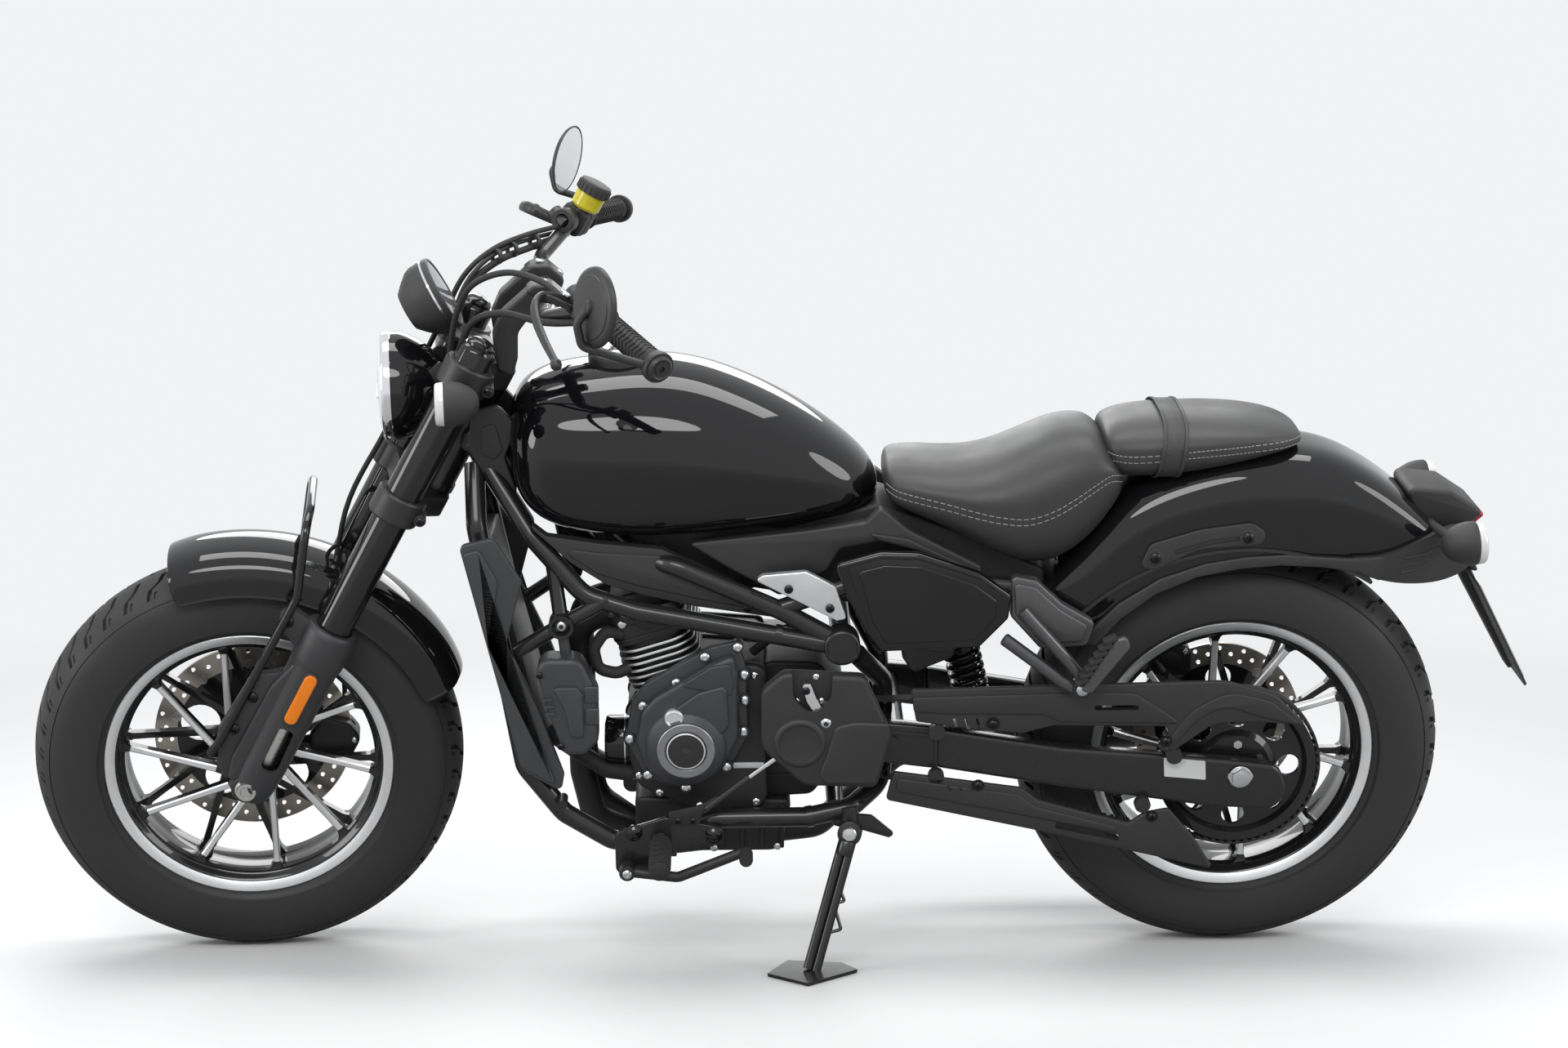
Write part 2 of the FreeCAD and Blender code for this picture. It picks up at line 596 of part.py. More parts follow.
skin = 4
shell_rows = fender_profile + [(row[0] * (72 - skin) / 72, row[1] - (skin if abs(row[0]) < 71 else 0))
                               for row in reversed(fender_profile)]
shell = hoop(shell_rows, 52, 152, Vector())
shell.Placement = Placement(axle_point, Rotation(Y_AXIS, size("rake_angle")))
stays = [Part.makeBox(38, 10, 48, Vector(leg_x - 19, side * 72 - 5, 596)) for side in (1, -1)]
free_shape("front_fender", STEERING, fused([shell] + stays).cut(sliders + fork_legs))
loop_left = [(120, 118, 359), (128, 122, 420), (118, 118, 640), (152, 100, 735), (152, 60, 752)]
hoop_points = loop_left + [(x, -y, z) for x, y, z in reversed(loop_left)]
free_shape("fender_brace", STEERING, tube(hoop_points, 7, 24))

# ---------------------------------------------------------------- frame
head_low = lower_top + size("head_gap")
head_high = size("upper_clamp_height") - size("head_gap")
head_frame = Placement(Vector(HALF_BASE + size("trail"), 0, 0), Rotation(Y_AXIS, -size("rake_angle")))
head = Part.makeCylinder(size("head_radius"), head_high - head_low, Vector(0, 0, head_low))
head = head.cut(Part.makeCylinder(size("stem_radius") + size("head_clearance"), 400, Vector(0, 0, head_low - 1)))
head.Placement = head_frame
upper_left = tube([(front - 354.5, 26, 815), (front - 442.5, 92, 690), (225, 116, 608), (150, 124, 586),
                   (-143, 130, 532)],
                  size("frame_tube_radius"), 60)
spine_left = tube([(front - 368.5, 22, 842), (front - 420.5, 26, 764), (front - 542.5, 44, 704), (150, 70, 650),
                   (96, 119, 655), (-65, 124, 583), (-143, 130, 540)],
                  size("frame_tube_radius"), 40)
mount_left = tube([(270, 100, 652), (258, 126, 568)], 11, 1)
brace_left = tube([(325, 118, 522), (258, 126, 566), (189, 122, 604)], 11, 40)
boss_left = rod((258, 112, 567), (258, 142, 567), 19)
pivot_left = rod((-150, 112, 534), (-150, 150, 534), 27)
seat_rail = tube([(-60, 122, 588), (-200, 118, 636), (rear + 347.5, 118, 618)], 13, 60)
cross = rod((-150, -120, 534), (-150, 120, 534), 16)
upper = [upper_left, spine_left, mount_left, brace_left, boss_left, pivot_left, seat_rail]
head_block = rod((front - 354.5, -40, 818), (front - 354.5, 40, 818), 16)
stem_bore = Part.makeCylinder(size("stem_radius") + size("head_clearance"), 400, Vector(0, 0, head_low - 1))
stem_bore.Placement = head_frame
frame_shape = fused([head, cross, head_block] + [s for item in upper for s in both(item)]).cut(stem_bore)
free_shape("frame_upper", UPRIGHT, frame_shape)

cradle_left = tube([(front - 358.5, 40, 785), (front - 362.5, 88, 705), (318, 118, 340), (262, 126, 268),
                    (190, 130, 224),
                    (110, 130, 222), (40, 130, 258), (-100, 130, 259), (-165, 122, 270), (-214, 62, 288),
                    (-214, 62, 452), (-172, 120, 515)],
                   size("rail_tube_radius"), 34)
bottom_cross = rod((-142, -128, 272), (-142, 128, 272), 13)
stand_pivot = Vector(-162, 157, 244)
stand_tilt = math.radians(size("stand_axis_tilt"))
stand_axis = Vector(math.sin(math.radians(size("stand_axis_toe"))), math.cos(stand_tilt), math.sin(stand_tilt))
stand_axis.normalize()
boss_out = stand_pivot - stand_axis * (size("stand_ear") / 2 + size("stand_gap"))
boss_in = boss_out - stand_axis * 16
pin_head = stand_pivot + stand_axis * (size("stand_ear") / 2 + size("stand_gap"))
stand_lug = fused([rod((-162, 130, 276), tuple(boss_in), 13), rod(tuple(boss_in), tuple(boss_out), 18),
                   rod(tuple(boss_in), tuple(pin_head), size("stand_pin_radius")),
                   rod(tuple(pin_head), tuple(pin_head + stand_axis * 7), 11)])
pivot_bolt = rod((-225, -140, 380), (-225, 140, 380), 10)
pivot_sleeve = rod((-225, -108, 380), (-225, 108, 380), 22)
cradle_shape = fused(both(cradle_left) + [bottom_cross, stand_lug, pivot_bolt, pivot_sleeve]).cut([frame_shape])
free_shape("frame_cradle", UPRIGHT, cradle_shape)

casting = flat([(rear + 347.5, 640, 8), (rear + 310.5, 632, 10), (rear + 272.5, 596, 10),
                (rear + 222.5, 566, 10), (rear + 234.5, 528, 10), (rear + 302.5, 524, 10),
                (rear + 347.5, 575, 10)], 112, 138)
casting = casting.cut(frame_shape)
free_shape("subframe_casting", UPRIGHT, Part.makeCompound(both(casting)))

# ---------------------------------------------------------------- engine
engine_shaft = Vector(-95, 0, 384)
crankcase = fused([
    flat([(150, 300, 20), (172, 380, 20), (120, 470, 20), (60, 500, 10), (-120, 486, 30), (-158, 440, 30),
          (-158, 330, 30), (-110, 268, 20), (60, 262, 20)], -112, 112),
    flat([(160, 272, 10), (160, 215, 20), (60, 182, 20), (-60, 182, 20), (-80, 262, 10)], -80, 90),
]).cut(Part.makeBox(170, 60, 400, Vector(-212, 76, 300)))
crankcase = crankcase.fuse([
    rod((engine_shaft.x, 70, engine_shaft.z), (engine_shaft.x, 108, engine_shaft.z), 16),
    rod((engine_shaft.x, 82, engine_shaft.z), (engine_shaft.x, 106, engine_shaft.z),
        size("engine_pulley_radius") - size("belt_gap")),
]).removeSplitter()
free_shape("crankcase", UPRIGHT, crankcase)


def tilted(shape):
    """Lean a shape drawn on the upright cylinder forward about the crankshaft."""
    shape.rotate(Vector(80, 0, 380), Y_AXIS, 17)
    return shape


fins = [Part.makeBox(116, 216, 4, Vector(22, -108, 470 + 11 * i)) for i in range(6)]
block = Part.makeBox(96, 196, 80, Vector(32, -98, 460))
head_block = Part.makeBox(118, 210, 48, Vector(21, -105, 540))
cam_cover = Part.makeBox(92, 190, 28, Vector(34, -95, 588))
cylinders = tilted(fused([block] + fins + [head_block, cam_cover])).cut(crankcase)
free_shape("cylinders", UPRIGHT, cylinders)


alternator_cover = flat([(169, 385, 20), (160, 445, 12), (138, 474, 12), (42, 530, 14), (1, 540, 12),
                           (-11, 495, 10), (-14, 392, 20), (14, 340, 40), (80, 302, 60), (140, 322, 40)],
                         112, 165)
sprocket_cover = flat([(-30, 473, 20), (-64, 503, 20), (-182, 496, 14), (-225, 401, 10), (-202, 318, 14),
                         (-94, 322, 40), (-30, 383, 30)], 138, 172)
clutch_cover = flat([(120, 400, 40), (60, 480, 60), (-60, 480, 60), (-140, 420, 50), (-120, 320, 40),
                       (0, 290, 60), (100, 320, 40)], -165, -112)
engine_covers = Part.makeCompound([alternator_cover, sprocket_cover, clutch_cover])
free_shape("engine_covers", UPRIGHT, engine_covers.cut(cradle_shape))

# ---------------------------------------------------------------- cooling and exhaust
core = flat([(392, 672, 6), (362, 672, 6), (284, 352, 6), (308, 345, 6)], -84, 84)
core_pins = [rod((362, side * 78, 600), (368, side * 104, 600), 8) for side in (1, -1)]
free_shape("radiator", UPRIGHT, fused([core] + core_pins).cut(cradle_shape))
shroud = flat([(402, 695, 10), (350, 707, 10), (311, 638, 20), (337, 544, 30), (293, 442, 20), (258, 337, 8),
               (263, 308, 8), (322, 344, 20)], 134, 152)
shroud_pins = [rod((374, 94, 640), (374, 136, 640), 7), rod((322, 117, 380), (322, 136, 380), 7)]
free_shape("radiator_shroud", UPRIGHT, Part.makeCompound(both(fused([shroud] + shroud_pins).cut(cradle_shape))))
canister = flat([(300, 524, 14), (230, 524, 20), (206, 470, 14), (206, 392, 12), (225, 372, 12), (258, 372, 14),
                 (282, 440, 14)], 110, 166)
canister_tab = rod((252, 126, 510), (257, 126, 562), 8)
free_shape("canister_cover", UPRIGHT, fused([canister, canister_tab]).cut(frame_shape))
header = tube([(170, 45, 560), (240, 45, 540), (238, 45, 300), (222, 40, 222), (120, 0, 158), (-120, -60, 158),
               (-250, -180, 225), (-345, -200, 240)], 19, 45)
header_twin = tube([(170, -45, 560), (240, -45, 540), (238, -45, 300), (222, -40, 222), (120, -10, 158)], 19, 45)
muffler = Part.makeCone(36, 48, 430, Vector(-330, -200, 238), Vector(-1, 0, 0.12))
free_shape("exhaust", UPRIGHT, fused([header, header_twin, muffler]).cut(cylinders))

# ---------------------------------------------------------------- tank, covers and seats
# columns: x, underside, height of the widest point, top, half width
TANK = [
    (front - 408.5, 790, 812, 838, 40),
    (front - 430.5, 735, 800, 880, 98),
    (front - 492.5, 694, 790, 920, 138),
    (front - 612.5, 682, 780, 938, 148),
    (front - 742.5, 692, 770, 912, 136),
    (front - 852.5, 700, 755, 856, 108),
    (front - 922.5, 710, 745, 796, 74),
    (front - 947.5, 724, 738, 762, 30),
]


def tank_section(x, low, wide, top, half):
    """Closed section: flat underside, two bulging sides and a round top."""
    floor = 0.62 * half
    shoulder = 0.7 * half
    shoulder_z = wide + 0.72 * (top - wide)
    lean_in = wide + 0.5 * (shoulder_z - wide)

    def v(y, z):
        return Vector(x, y, z)

    edges = [
        Part.LineSegment(v(-floor, low), v(floor, low)),
        Part.Arc(v(floor, low), v(0.93 * half, low + 0.45 * (wide - low)), v(half, wide)),
        Part.Arc(v(half, wide), v(0.93 * half, lean_in), v(shoulder, shoulder_z)),
        Part.Arc(v(shoulder, shoulder_z), v(0, top), v(-shoulder, shoulder_z)),
        Part.Arc(v(-shoulder, shoulder_z), v(-0.93 * half, lean_in), v(-half, wide)),
        Part.Arc(v(-half, wide), v(-0.93 * half, low + 0.45 * (wide - low)), v(-floor, low)),
    ]
    return Part.Wire([edge.toShape() for edge in edges])


tank = Part.makeLoft([tank_section(*row) for row in TANK], True, True)
tank = tank.cut(flat([(front - 682.5, 600), (front - 342.5, 600), (front - 342.5, 800), (front - 442.5, 792),
                       (front - 682.5, 760)], -78, 78)).cut(frame_shape)
cap_base = Vector(front - 574.5, 0, 930)
cap_top = 944
ring = Part.makeCylinder(size("cap_radius") + 12, cap_top - 900, Vector(cap_base.x, 0, 900))
knuckle = size("cap_knuckle")
lid_low = cap_top + size("cap_gap")
cap_hinge = Vector(cap_base.x + size("cap_radius") + 6, 0, lid_low + knuckle + size("cap_gap"))
hinge_pin = rod((cap_hinge.x, -13, cap_hinge.z), (cap_hinge.x, 13, cap_hinge.z), size("cap_pin"))
hinge_ears = [rod((cap_hinge.x, side * 8, cap_hinge.z), (cap_hinge.x, side * 13, cap_hinge.z), knuckle)
              for side in (1, -1)]
ear_feet = [Part.makeBox(knuckle, 5, cap_hinge.z - cap_top + 2,
                         Vector(cap_hinge.x - knuckle / 2, side * 10.5 - 2.5, cap_top - 2)) for side in (1, -1)]
free_shape("fuel_tank", UPRIGHT, fused([tank, ring, hinge_pin] + hinge_ears + ear_feet))
lid = Part.makeCylinder(size("cap_radius"), size("cap_thickness"), Vector(cap_base.x, 0, lid_low))
lid_tab = Part.makeBox(12, 14, 6, Vector(cap_hinge.x - 12, -7, lid_low + 1.5))
lid_knuckle = rod((cap_hinge.x, -7, cap_hinge.z), (cap_hinge.x, 7, cap_hinge.z), knuckle)
pin_bore = rod((cap_hinge.x, -20, cap_hinge.z), (cap_hinge.x, 20, cap_hinge.z),
               size("cap_pin") + size("cap_pin_clearance"))
free_shape("fuel_cap", UPRIGHT, fused([lid, lid_tab, lid_knuckle]).cut(pin_bore))

neck_panel = flat([(front - 358.5, 868, 8), (front - 398.5, 876, 12), (front - 424.5, 846, 8),
                   (front - 404.5, 800, 10), (front - 424.5, 735, 8), (front - 386.5, 752, 8),
                   (front - 350.5, 812, 10)], 44, 56)
tank_panel = flat([(300, 680, 6), (60, 680, 40), (-205, 695, 10), (-300, 690, 10), (-400, 635, 8), (-330, 650, 10),
                   (-150, 668, 10), (-20, 640, 10), (110, 655, 10), (200, 640, 20)], 92, 102)
panels = both(neck_panel.cut([frame_shape, cradle_shape, tank])) + both(tank_panel.cut([frame_shape, tank]))
free_shape("frame_panels", UPRIGHT, Part.makeCompound(panels))
side_cover = flat([(-140, 660, 8), (-205, 679, 20), (-262, 677, 20), (-394, 612, 10), (-390, 577, 10),
                   (-349, 533, 14), (-205, 528, 12), (-182, 560, 10)], size("guard_inner"),
                  size("guard_inner") + size("panel_skin"))
cover_studs = [rod((x, 118, z), (x, 140, z), 7) for x, z in ((-200, 634), (-370, 616))]
free_shape("side_covers", UPRIGHT, Part.makeCompound(both(fused([side_cover] + cover_studs).cut(frame_shape))))

seat_front = flat([(front - 956.5, 764, 10), (front - 974.5, 784, 16), (front - 1065.5, 783, 60),
                   (rear + 331.5, 816, 30), (rear + 272.5, 838, 20),
                   (rear + 230.5, 834, 10), (rear + 189.5, 775, 6), (rear + 176.5, 744, 6),
                   (rear + 237.5, 648, 16), (rear + 308.5, 634, 30),
                   (front - 1068.5, 673, 60), (front - 984.5, 729, 10)],
                   -112, 112).cut(panels + [frame_shape, tank])
free_shape("seat_rider", UPRIGHT, seat_front)
seat_back = flat([(rear + 202.5, 815, 6), (rear + 182.5, 837, 8), (rear + 147.5, 849, 10),
                  (rear - 21.5, 846, 20), (rear - 69.5, 830, 10), (rear - 83.5, 812, 6),
                  (rear - 62.5, 804, 4), (rear + 65.5, 768, 20), (rear + 157.5, 762, 4)], -105, 105)
free_shape("seat_passenger", UPRIGHT, seat_back)
battery_box = flat([(-240, 604, 10), (-330, 592, 10), (-316, 500, 10), (-256, 475, 10), (-240, 500, 10)],
                   -104, 104)
free_shape("battery_box", UPRIGHT, battery_box)

# ---------------------------------------------------------------- rear fender and tail
fender_rows = [(rear - 303.5, 660, 6), (rear - 267.5, 712, 80), (rear - 212.5, 752, 120),
               (rear - 157.5, 784, 120), (rear - 71.5, 806, 10),
               (rear + 65.5, 772, 30), (rear + 146.5, 768, 10), (rear + 222.5, 640, 10),
               (rear + 287.5, 596, 10), (rear + 237.5, 530, 6), (rear + 42.5, 560, 10),
               (rear - 137.5, 600, 40), (rear - 207.5, 637, 20)]
fender_block = flat(fender_rows, -size("fender_half"), size("fender_half"))
tunnel = Part.makeCylinder(size("fender_arch"), 400, Vector(REAR_AXLE.x, -200, REAR_AXLE.z), Y_AXIS)
fender_bosses = [rod((rear + 290.5, side * 100, 592), (rear + 290.5, side * 112, 592), 12) for side in (1, -1)]
fender_block = fused([fender_block.cut(tunnel)] + fender_bosses)
fender_block = fender_block.cut([seat_front, seat_back])
free_shape("rear_fender", UPRIGHT, fender_block)
rack_spots = [Vector(rear + 136.5, 0, 658), Vector(rear + 2.5, 0, 688)]
rack_out = size("fender_half") + size("rack_plate")
rack_plate = flat([(rear + 136.5, 671), (rear + 2.5, 701), (rear + 2.5, 675), (rear + 136.5, 645)],
                  size("fender_half"), rack_out)
rack_seats = [rod((spot.x, size("fender_half") - 1, spot.z), (spot.x, rack_out + 1, spot.z),
                  size("rack_boss") + size("rack_gap")) for spot in rack_spots]
rack_bosses = [rod((spot.x, size("fender_half"), spot.z), (spot.x, rack_out, spot.z), size("rack_boss"))
               .cut(rod((spot.x, size("fender_half") - 1, spot.z), (spot.x, rack_out + 1, spot.z),
                        size("rack_thread_radius"))) for spot in rack_spots]
for boss, spot in zip(rack_bosses, rack_spots):
    boss.rotate(spot, Y_AXIS, size("thread_start"))
rack_solids = [rack_plate.cut(rack_seats)] + rack_bosses
free_shape("fender_plates", UPRIGHT, Part.makeCompound([turned for solid in rack_solids for turned in both(solid)]))
tail_light = (flat([(rear - 257.5, 700, 8), (rear - 242.5, 745, 8), (rear - 307.5, 735, 6), (rear - 365.5, 700, 4),
                                        (rear - 317.5, 672, 6)], -52, 52).cut(fender_block))
signal_rear = fused([
    Part.makeCone(12, 26, 36, Vector(rear - 273.5, 150, 690), Vector(-1, 0, 0)),
    Part.makeCylinder(27, 12, Vector(rear - 309.5, 150, 690), Vector(-1, 0, 0)),
    rod((rear - 269.5, 40, 690), (rear - 277.5, 150, 690), 9)]).cut(fender_block)
free_shape("tail_lamps", UPRIGHT, Part.makeCompound(both(signal_rear.cut(tail_light)) + [tail_light]))
bracket = flat([(rear - 267.5, 672, 4), (rear - 319.5, 668, 6), (rear - 349.5, 610, 4), (rear - 437.5, 440, 2),
                (rear - 425.5, 434, 2), (rear - 335.5, 596, 4),
                (rear - 297.5, 650, 4)], -16, 16)
plate = flat([(rear - 345.5, 612), (rear - 439.5, 438), (rear - 433.5, 434), (rear - 339.5, 608)], -90, 90)
free_shape("plate_bracket", UPRIGHT, fused([bracket, plate]).cut(fender_block))

# ---------------------------------------------------------------- swingarm and drive
arm_rows = [(-196, 412, 10), (-294, 401, 30), (rear + 266.5, 370, 60), (rear + 22.5, 348, 40),
            (rear - 57.5, 338, 16), (rear - 75.5, 300, 16),
            (rear - 57.5, 264, 16), (rear + 42.5, 270, 40), (rear + 264.5, 304, 60), (-196, 348, 10)]
arm = flat(arm_rows, size("arm_inner"), size("arm_inner") + size("arm_width"))
axle_hole = rod((REAR_AXLE.x, -200, REAR_AXLE.z), (REAR_AXLE.x, 200, REAR_AXLE.z), size("axle_radius"))
pivot_hole = rod((-225, -200, 380), (-225, 200, 380), 10.05)
arm_cross = Part.makeBox(46, 2 * size("arm_inner") + 8, 54, Vector(rear + 356.5, -size("arm_inner") - 4, 330))
swing = fused(both(arm) + [arm_cross]).cut([axle_hole, pivot_hole])


def rim_point(x, z, radius, angle):
    """Point of a circle drawn flat for the belt."""
    return Vector(x + radius * math.cos(angle), z + radius * math.sin(angle), 0)


def belt_loop():
    """Closed belt of constant thickness round the two pulleys."""
    big = size("pulley_radius") + size("belt_gap")
    small = size("engine_pulley_radius")
    rings = []
    for extra in (size("belt_thickness"), 0):
        span = REAR_AXLE.x - engine_shaft.x
        rise = REAR_AXLE.z - engine_shaft.z
        length = math.hypot(span, rise)
        along = math.atan2(rise, span)
        slope = math.acos((big - small) / length)
        r_big, r_small = big + extra, small + extra
        ex, ez, ax, az = engine_shaft.x, engine_shaft.z, REAR_AXLE.x, REAR_AXLE.z
        turn_a = along + math.pi
        up = turn_a - slope
        down = turn_a + slope
        curves = [
            Part.Arc(rim_point(ax, az, r_big, down), rim_point(ax, az, r_big, along), rim_point(ax, az, r_big, up)),
            Part.LineSegment(rim_point(ax, az, r_big, up), rim_point(ex, ez, r_small, up)),
            Part.Arc(rim_point(ex, ez, r_small, up), rim_point(ex, ez, r_small, turn_a), rim_point(ex, ez, r_small, down)),
            Part.LineSegment(rim_point(ex, ez, r_small, down), rim_point(ax, az, r_big, down)),
        ]
        wire = Part.Wire([curve.toShape() for curve in curves])
        rings.append(Part.Face(wire).extrude(Vector(0, 0, size("belt_width"))))
    loop = rings[0].cut(rings[1])
    loop.rotate(Vector(), X_AXIS, 90)
    loop.translate(Vector(0, size("belt_inner") + size("belt_width"), 0))
    return loop


belt = belt_loop()
free_shape("drive_belt", UPRIGHT, belt)
free_shape("swingarm", UPRIGHT, swing)
side_guard = flat([(-250, 468, 6), (rear + 222.5, 474, 40), (rear + 29.5, 478, 60), (rear - 43.5, 456, 40),
                   (rear - 94.5, 405, 2), (rear - 22.5, 411, 10),
                   (rear + 42.5, 410, 40), (rear + 108.5, 361, 8), (rear + 130.5, 372, 8),
                   (rear + 98.5, 407, 20), (-462, 408, 8), (-415, 396, 8),
                   (-342, 403, 20), (-258, 416, 6)], size("guard_inner"),
                   size("guard_inner") + size("guard_thickness"))
low_guard = flat([(-226, 338, 6), (-417, 310, 8), (-442, 290, 8), (rear + 164.5, 249, 8),
                  (rear + 141.5, 268, 8), (rear + 104.5, 275, 8),
                  (rear + 65.5, 228, 60), (rear + 32.5, 173, 4), (rear + 101.5, 190, 60), (-456, 236, 60),
                  (-215, 291, 6)],
                 size("guard_inner"), size("guard_inner") + size("guard_thickness"))
guard_out = size("guard_inner") + size("guard_thickness") - 2
arm_out = size("arm_inner") + size("arm_width")
side_guard = fused([side_guard] + [rod((x, arm_out, z), (x, guard_out, z), 14) for x, z in ((-290, 400),
    (rear + 100.5, 358))])
low_guard = fused([low_guard] + [rod((x, arm_out, z), (x, guard_out, z), 14) for x, z in ((-290, 328),
    (rear + 144.5, 280))])
free_shape("belt_guards", UPRIGHT, Part.makeCompound([side_guard, low_guard]))
shock = fused([rod((rear + 382.5, 0, 372), (rear + 412.5, 0, 500), 30),
               rod((rear + 380.5, 0, 366), (rear + 414.5, 0, 510), 12)])
free_shape("shock_absorber", UPRIGHT, shock.cut([swing, battery_box]))

# ---------------------------------------------------------------- pegs and levers
peg_plate = fused([
    flat([(186, 248, 14), (110, 272, 10), (26, 254, 14), (24, 228, 14), (93, 216, 10), (150, 178, 14),
          (186, 176, 14)],
         146, 156),
    rod((150, 128, 224), (150, 150, 224), 10), rod((50, 128, 250), (50, 150, 250), 10)]).cut(cradle_shape)
peg = rod((118, 156, 232), (118, 262, 232), 17)
shift = fused([tube([(168, 172, 192), (93, 172, 182), (-8, 172, 224)], 8, 20), rod((-8, 166, 224),
    (-8, 215, 228), 10),
               rod((168, 156, 192), (168, 182, 192), 12)])
brake_pedal = fused([tube([(168, -172, 192), (40, -172, 186), (-20, -172, 222)], 8, 20),
                     rod((168, -156, 192), (168, -182, 192), 12),
                     rod((-20, -160, 222), (-20, -215, 226), 11)])
free_shape("foot_levers", UPRIGHT, Part.makeCompound([shift, brake_pedal]))
tubes_left = fused([tube([(rear + 331.5, 147, 590), (rear + 239.5, 166, 489)], 10, 20),
                    tube([(rear + 357.5, 147, 547), (rear + 250.5, 166, 472)], 10, 20),
                    rod((rear + 244.5, 154, 478), (rear + 244.5, 176, 478), 16)])
folded = flat([(rear + 250.5, 478, 6), (rear + 230.5, 476, 6), (rear + 176.5, 548, 8), (rear + 182.5, 566, 6),
               (rear + 202.5, 560, 8)], 176, 196)
free_shape("foot_pegs", UPRIGHT, Part.makeCompound(both(peg) + both(folded)))
free_shape("peg_brackets", UPRIGHT, Part.makeCompound(both(peg_plate) + both(tubes_left.cut(casting).cut(folded))))

# ---------------------------------------------------------------- side stand
pivot_row = UPRIGHT.multVec(stand_pivot)
axis_row = UPRIGHT.Rotation.multVec(stand_axis)
foot_center = Vector(-102, 248, 0)
leg_low = Vector(foot_center.x - 2, foot_center.y - 8, size("foot_height") + size("stand_plate"))
stand_leg = rod(tuple(leg_low), tuple(pivot_row), size("stand_leg_radius"))
foot_rows = [(-38, 255, 6), (-70, 180, 12), (-150, 196, 12), (-172, 236, 12), (-96, 312, 20)]
foot_edges = [curve.toShape() for curve in outline(foot_rows)]
foot = Part.Face(Part.Wire(Part.sortEdges(foot_edges)[0])).extrude(Vector(0, 0, size("stand_plate")))
foot.translate(Vector(0, 0, size("foot_height")))
half_ear = axis_row * (size("stand_ear") / 2)
ear = rod(tuple(pivot_row - half_ear), tuple(pivot_row + half_ear), 18)
ear_hole = rod(tuple(pivot_row - half_ear * 6), tuple(pivot_row + half_ear * 6),
               size("stand_pin_radius") + size("stand_pin_clearance"))
boss_room = rod(tuple(pivot_row - half_ear * 6), tuple(pivot_row - half_ear), 24)
head_room = rod(tuple(pivot_row + half_ear), tuple(pivot_row + half_ear * 6), 24)
free_shape("side_stand", Placement(), fused([stand_leg, foot, ear]).cut([ear_hole, boss_room, head_room]))

# ---------------------------------------------------------------- calipers
front_caliper = fused([Part.makeBox(76, 44, 80, Vector(axle_point.x - 148, -80, axle_point.z + 8)),
                       Part.makeBox(90, 12, 24, Vector(axle_point.x - 100, -82, axle_point.z + 60))])
disc_gap = Part.makeCylinder(size("front_disc_radius") + 5, size("disc_thickness") + 3,
                             Vector(axle_point.x, -size("front_disc_offset") - size("disc_thickness") / 2 - 1.5,
                                    axle_point.z), Y_AXIS)
free_shape("front_caliper", STEERING, front_caliper.cut([disc_gap] + sliders + fork_legs))
rear_caliper = Part.makeBox(80, 44, 60, Vector(rear + 42.5, -100, 400)).fuse([
    Part.makeBox(66, 15, 110, Vector(rear + 48.5, -124, 322)),
    Part.makeBox(66, 30, 30, Vector(rear + 48.5, -124, 402))])
rear_caliper = rear_caliper.removeSplitter().cut(swing)
rear_gap = Part.makeCylinder(size("rear_disc_radius") + 5, size("disc_thickness") + 3,
                             Vector(REAR_AXLE.x, -size("rear_disc_offset") - size("disc_thickness") / 2 - 1.5,
                                    REAR_AXLE.z), Y_AXIS)
free_shape("rear_caliper", UPRIGHT, rear_caliper.cut(rear_gap))

# ---------------------------------------------------------------- check and write
doc.recompute()
for feature in doc.Objects:
    if "Invalid" in feature.State or "Error" in feature.State:
        raise RuntimeError("%s did not build" % feature.Label)
box = FreeCAD.BoundBox()
for feature in parts:
    if feature.Shape.isNull() or not feature.Shape.isValid():
        raise RuntimeError("%s has no valid shape" % feature.Label)
    box.add(feature.Shape.BoundBox)
os.makedirs("parts", exist_ok=True)
for feature in parts:
    feature.Shape.exportStep(os.path.join("parts", feature.Label + ".step"))
print("box", box)
print("nodes", len(parts))
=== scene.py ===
"""Cruiser motorcycle on its side stand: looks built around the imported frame."""
import math

import bmesh
import bpy
from mathutils import Matrix, Vector


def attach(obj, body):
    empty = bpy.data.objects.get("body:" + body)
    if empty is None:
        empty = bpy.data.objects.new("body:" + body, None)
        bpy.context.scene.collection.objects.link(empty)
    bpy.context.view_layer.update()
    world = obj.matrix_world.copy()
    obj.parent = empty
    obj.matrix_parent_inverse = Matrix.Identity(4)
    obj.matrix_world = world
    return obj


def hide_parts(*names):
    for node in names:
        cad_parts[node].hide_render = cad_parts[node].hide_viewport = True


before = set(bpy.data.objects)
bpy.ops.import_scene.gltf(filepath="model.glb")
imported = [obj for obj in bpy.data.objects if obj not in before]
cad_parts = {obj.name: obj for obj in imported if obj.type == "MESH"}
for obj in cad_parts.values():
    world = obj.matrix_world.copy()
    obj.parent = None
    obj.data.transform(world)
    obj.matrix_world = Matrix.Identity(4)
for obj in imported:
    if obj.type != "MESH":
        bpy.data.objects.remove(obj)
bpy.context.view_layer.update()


# ---------------------------------------------------------------- studio
# A plain pale floor that turns up into a pale wall behind the machine, big soft lamps above
# and to both sides, and a camera at the left, a little higher than the tank.
def shown_directly(tree):
    """One where the surface is seen, or mirrored in metal or glass, and nought where it only sheds light."""
    ray = tree.nodes.new("ShaderNodeLightPath")
    ray.name = "ray"
    total = ray.outputs["Is Camera Ray"]
    for kind in ("Is Glossy Ray", "Is Transmission Ray"):
        both = tree.nodes.new("ShaderNodeMath")
        both.operation = "MAXIMUM"
        tree.links.new(total, both.inputs[0])
        tree.links.new(ray.outputs[kind], both.inputs[1])
        total = both.outputs["Value"]
    return total


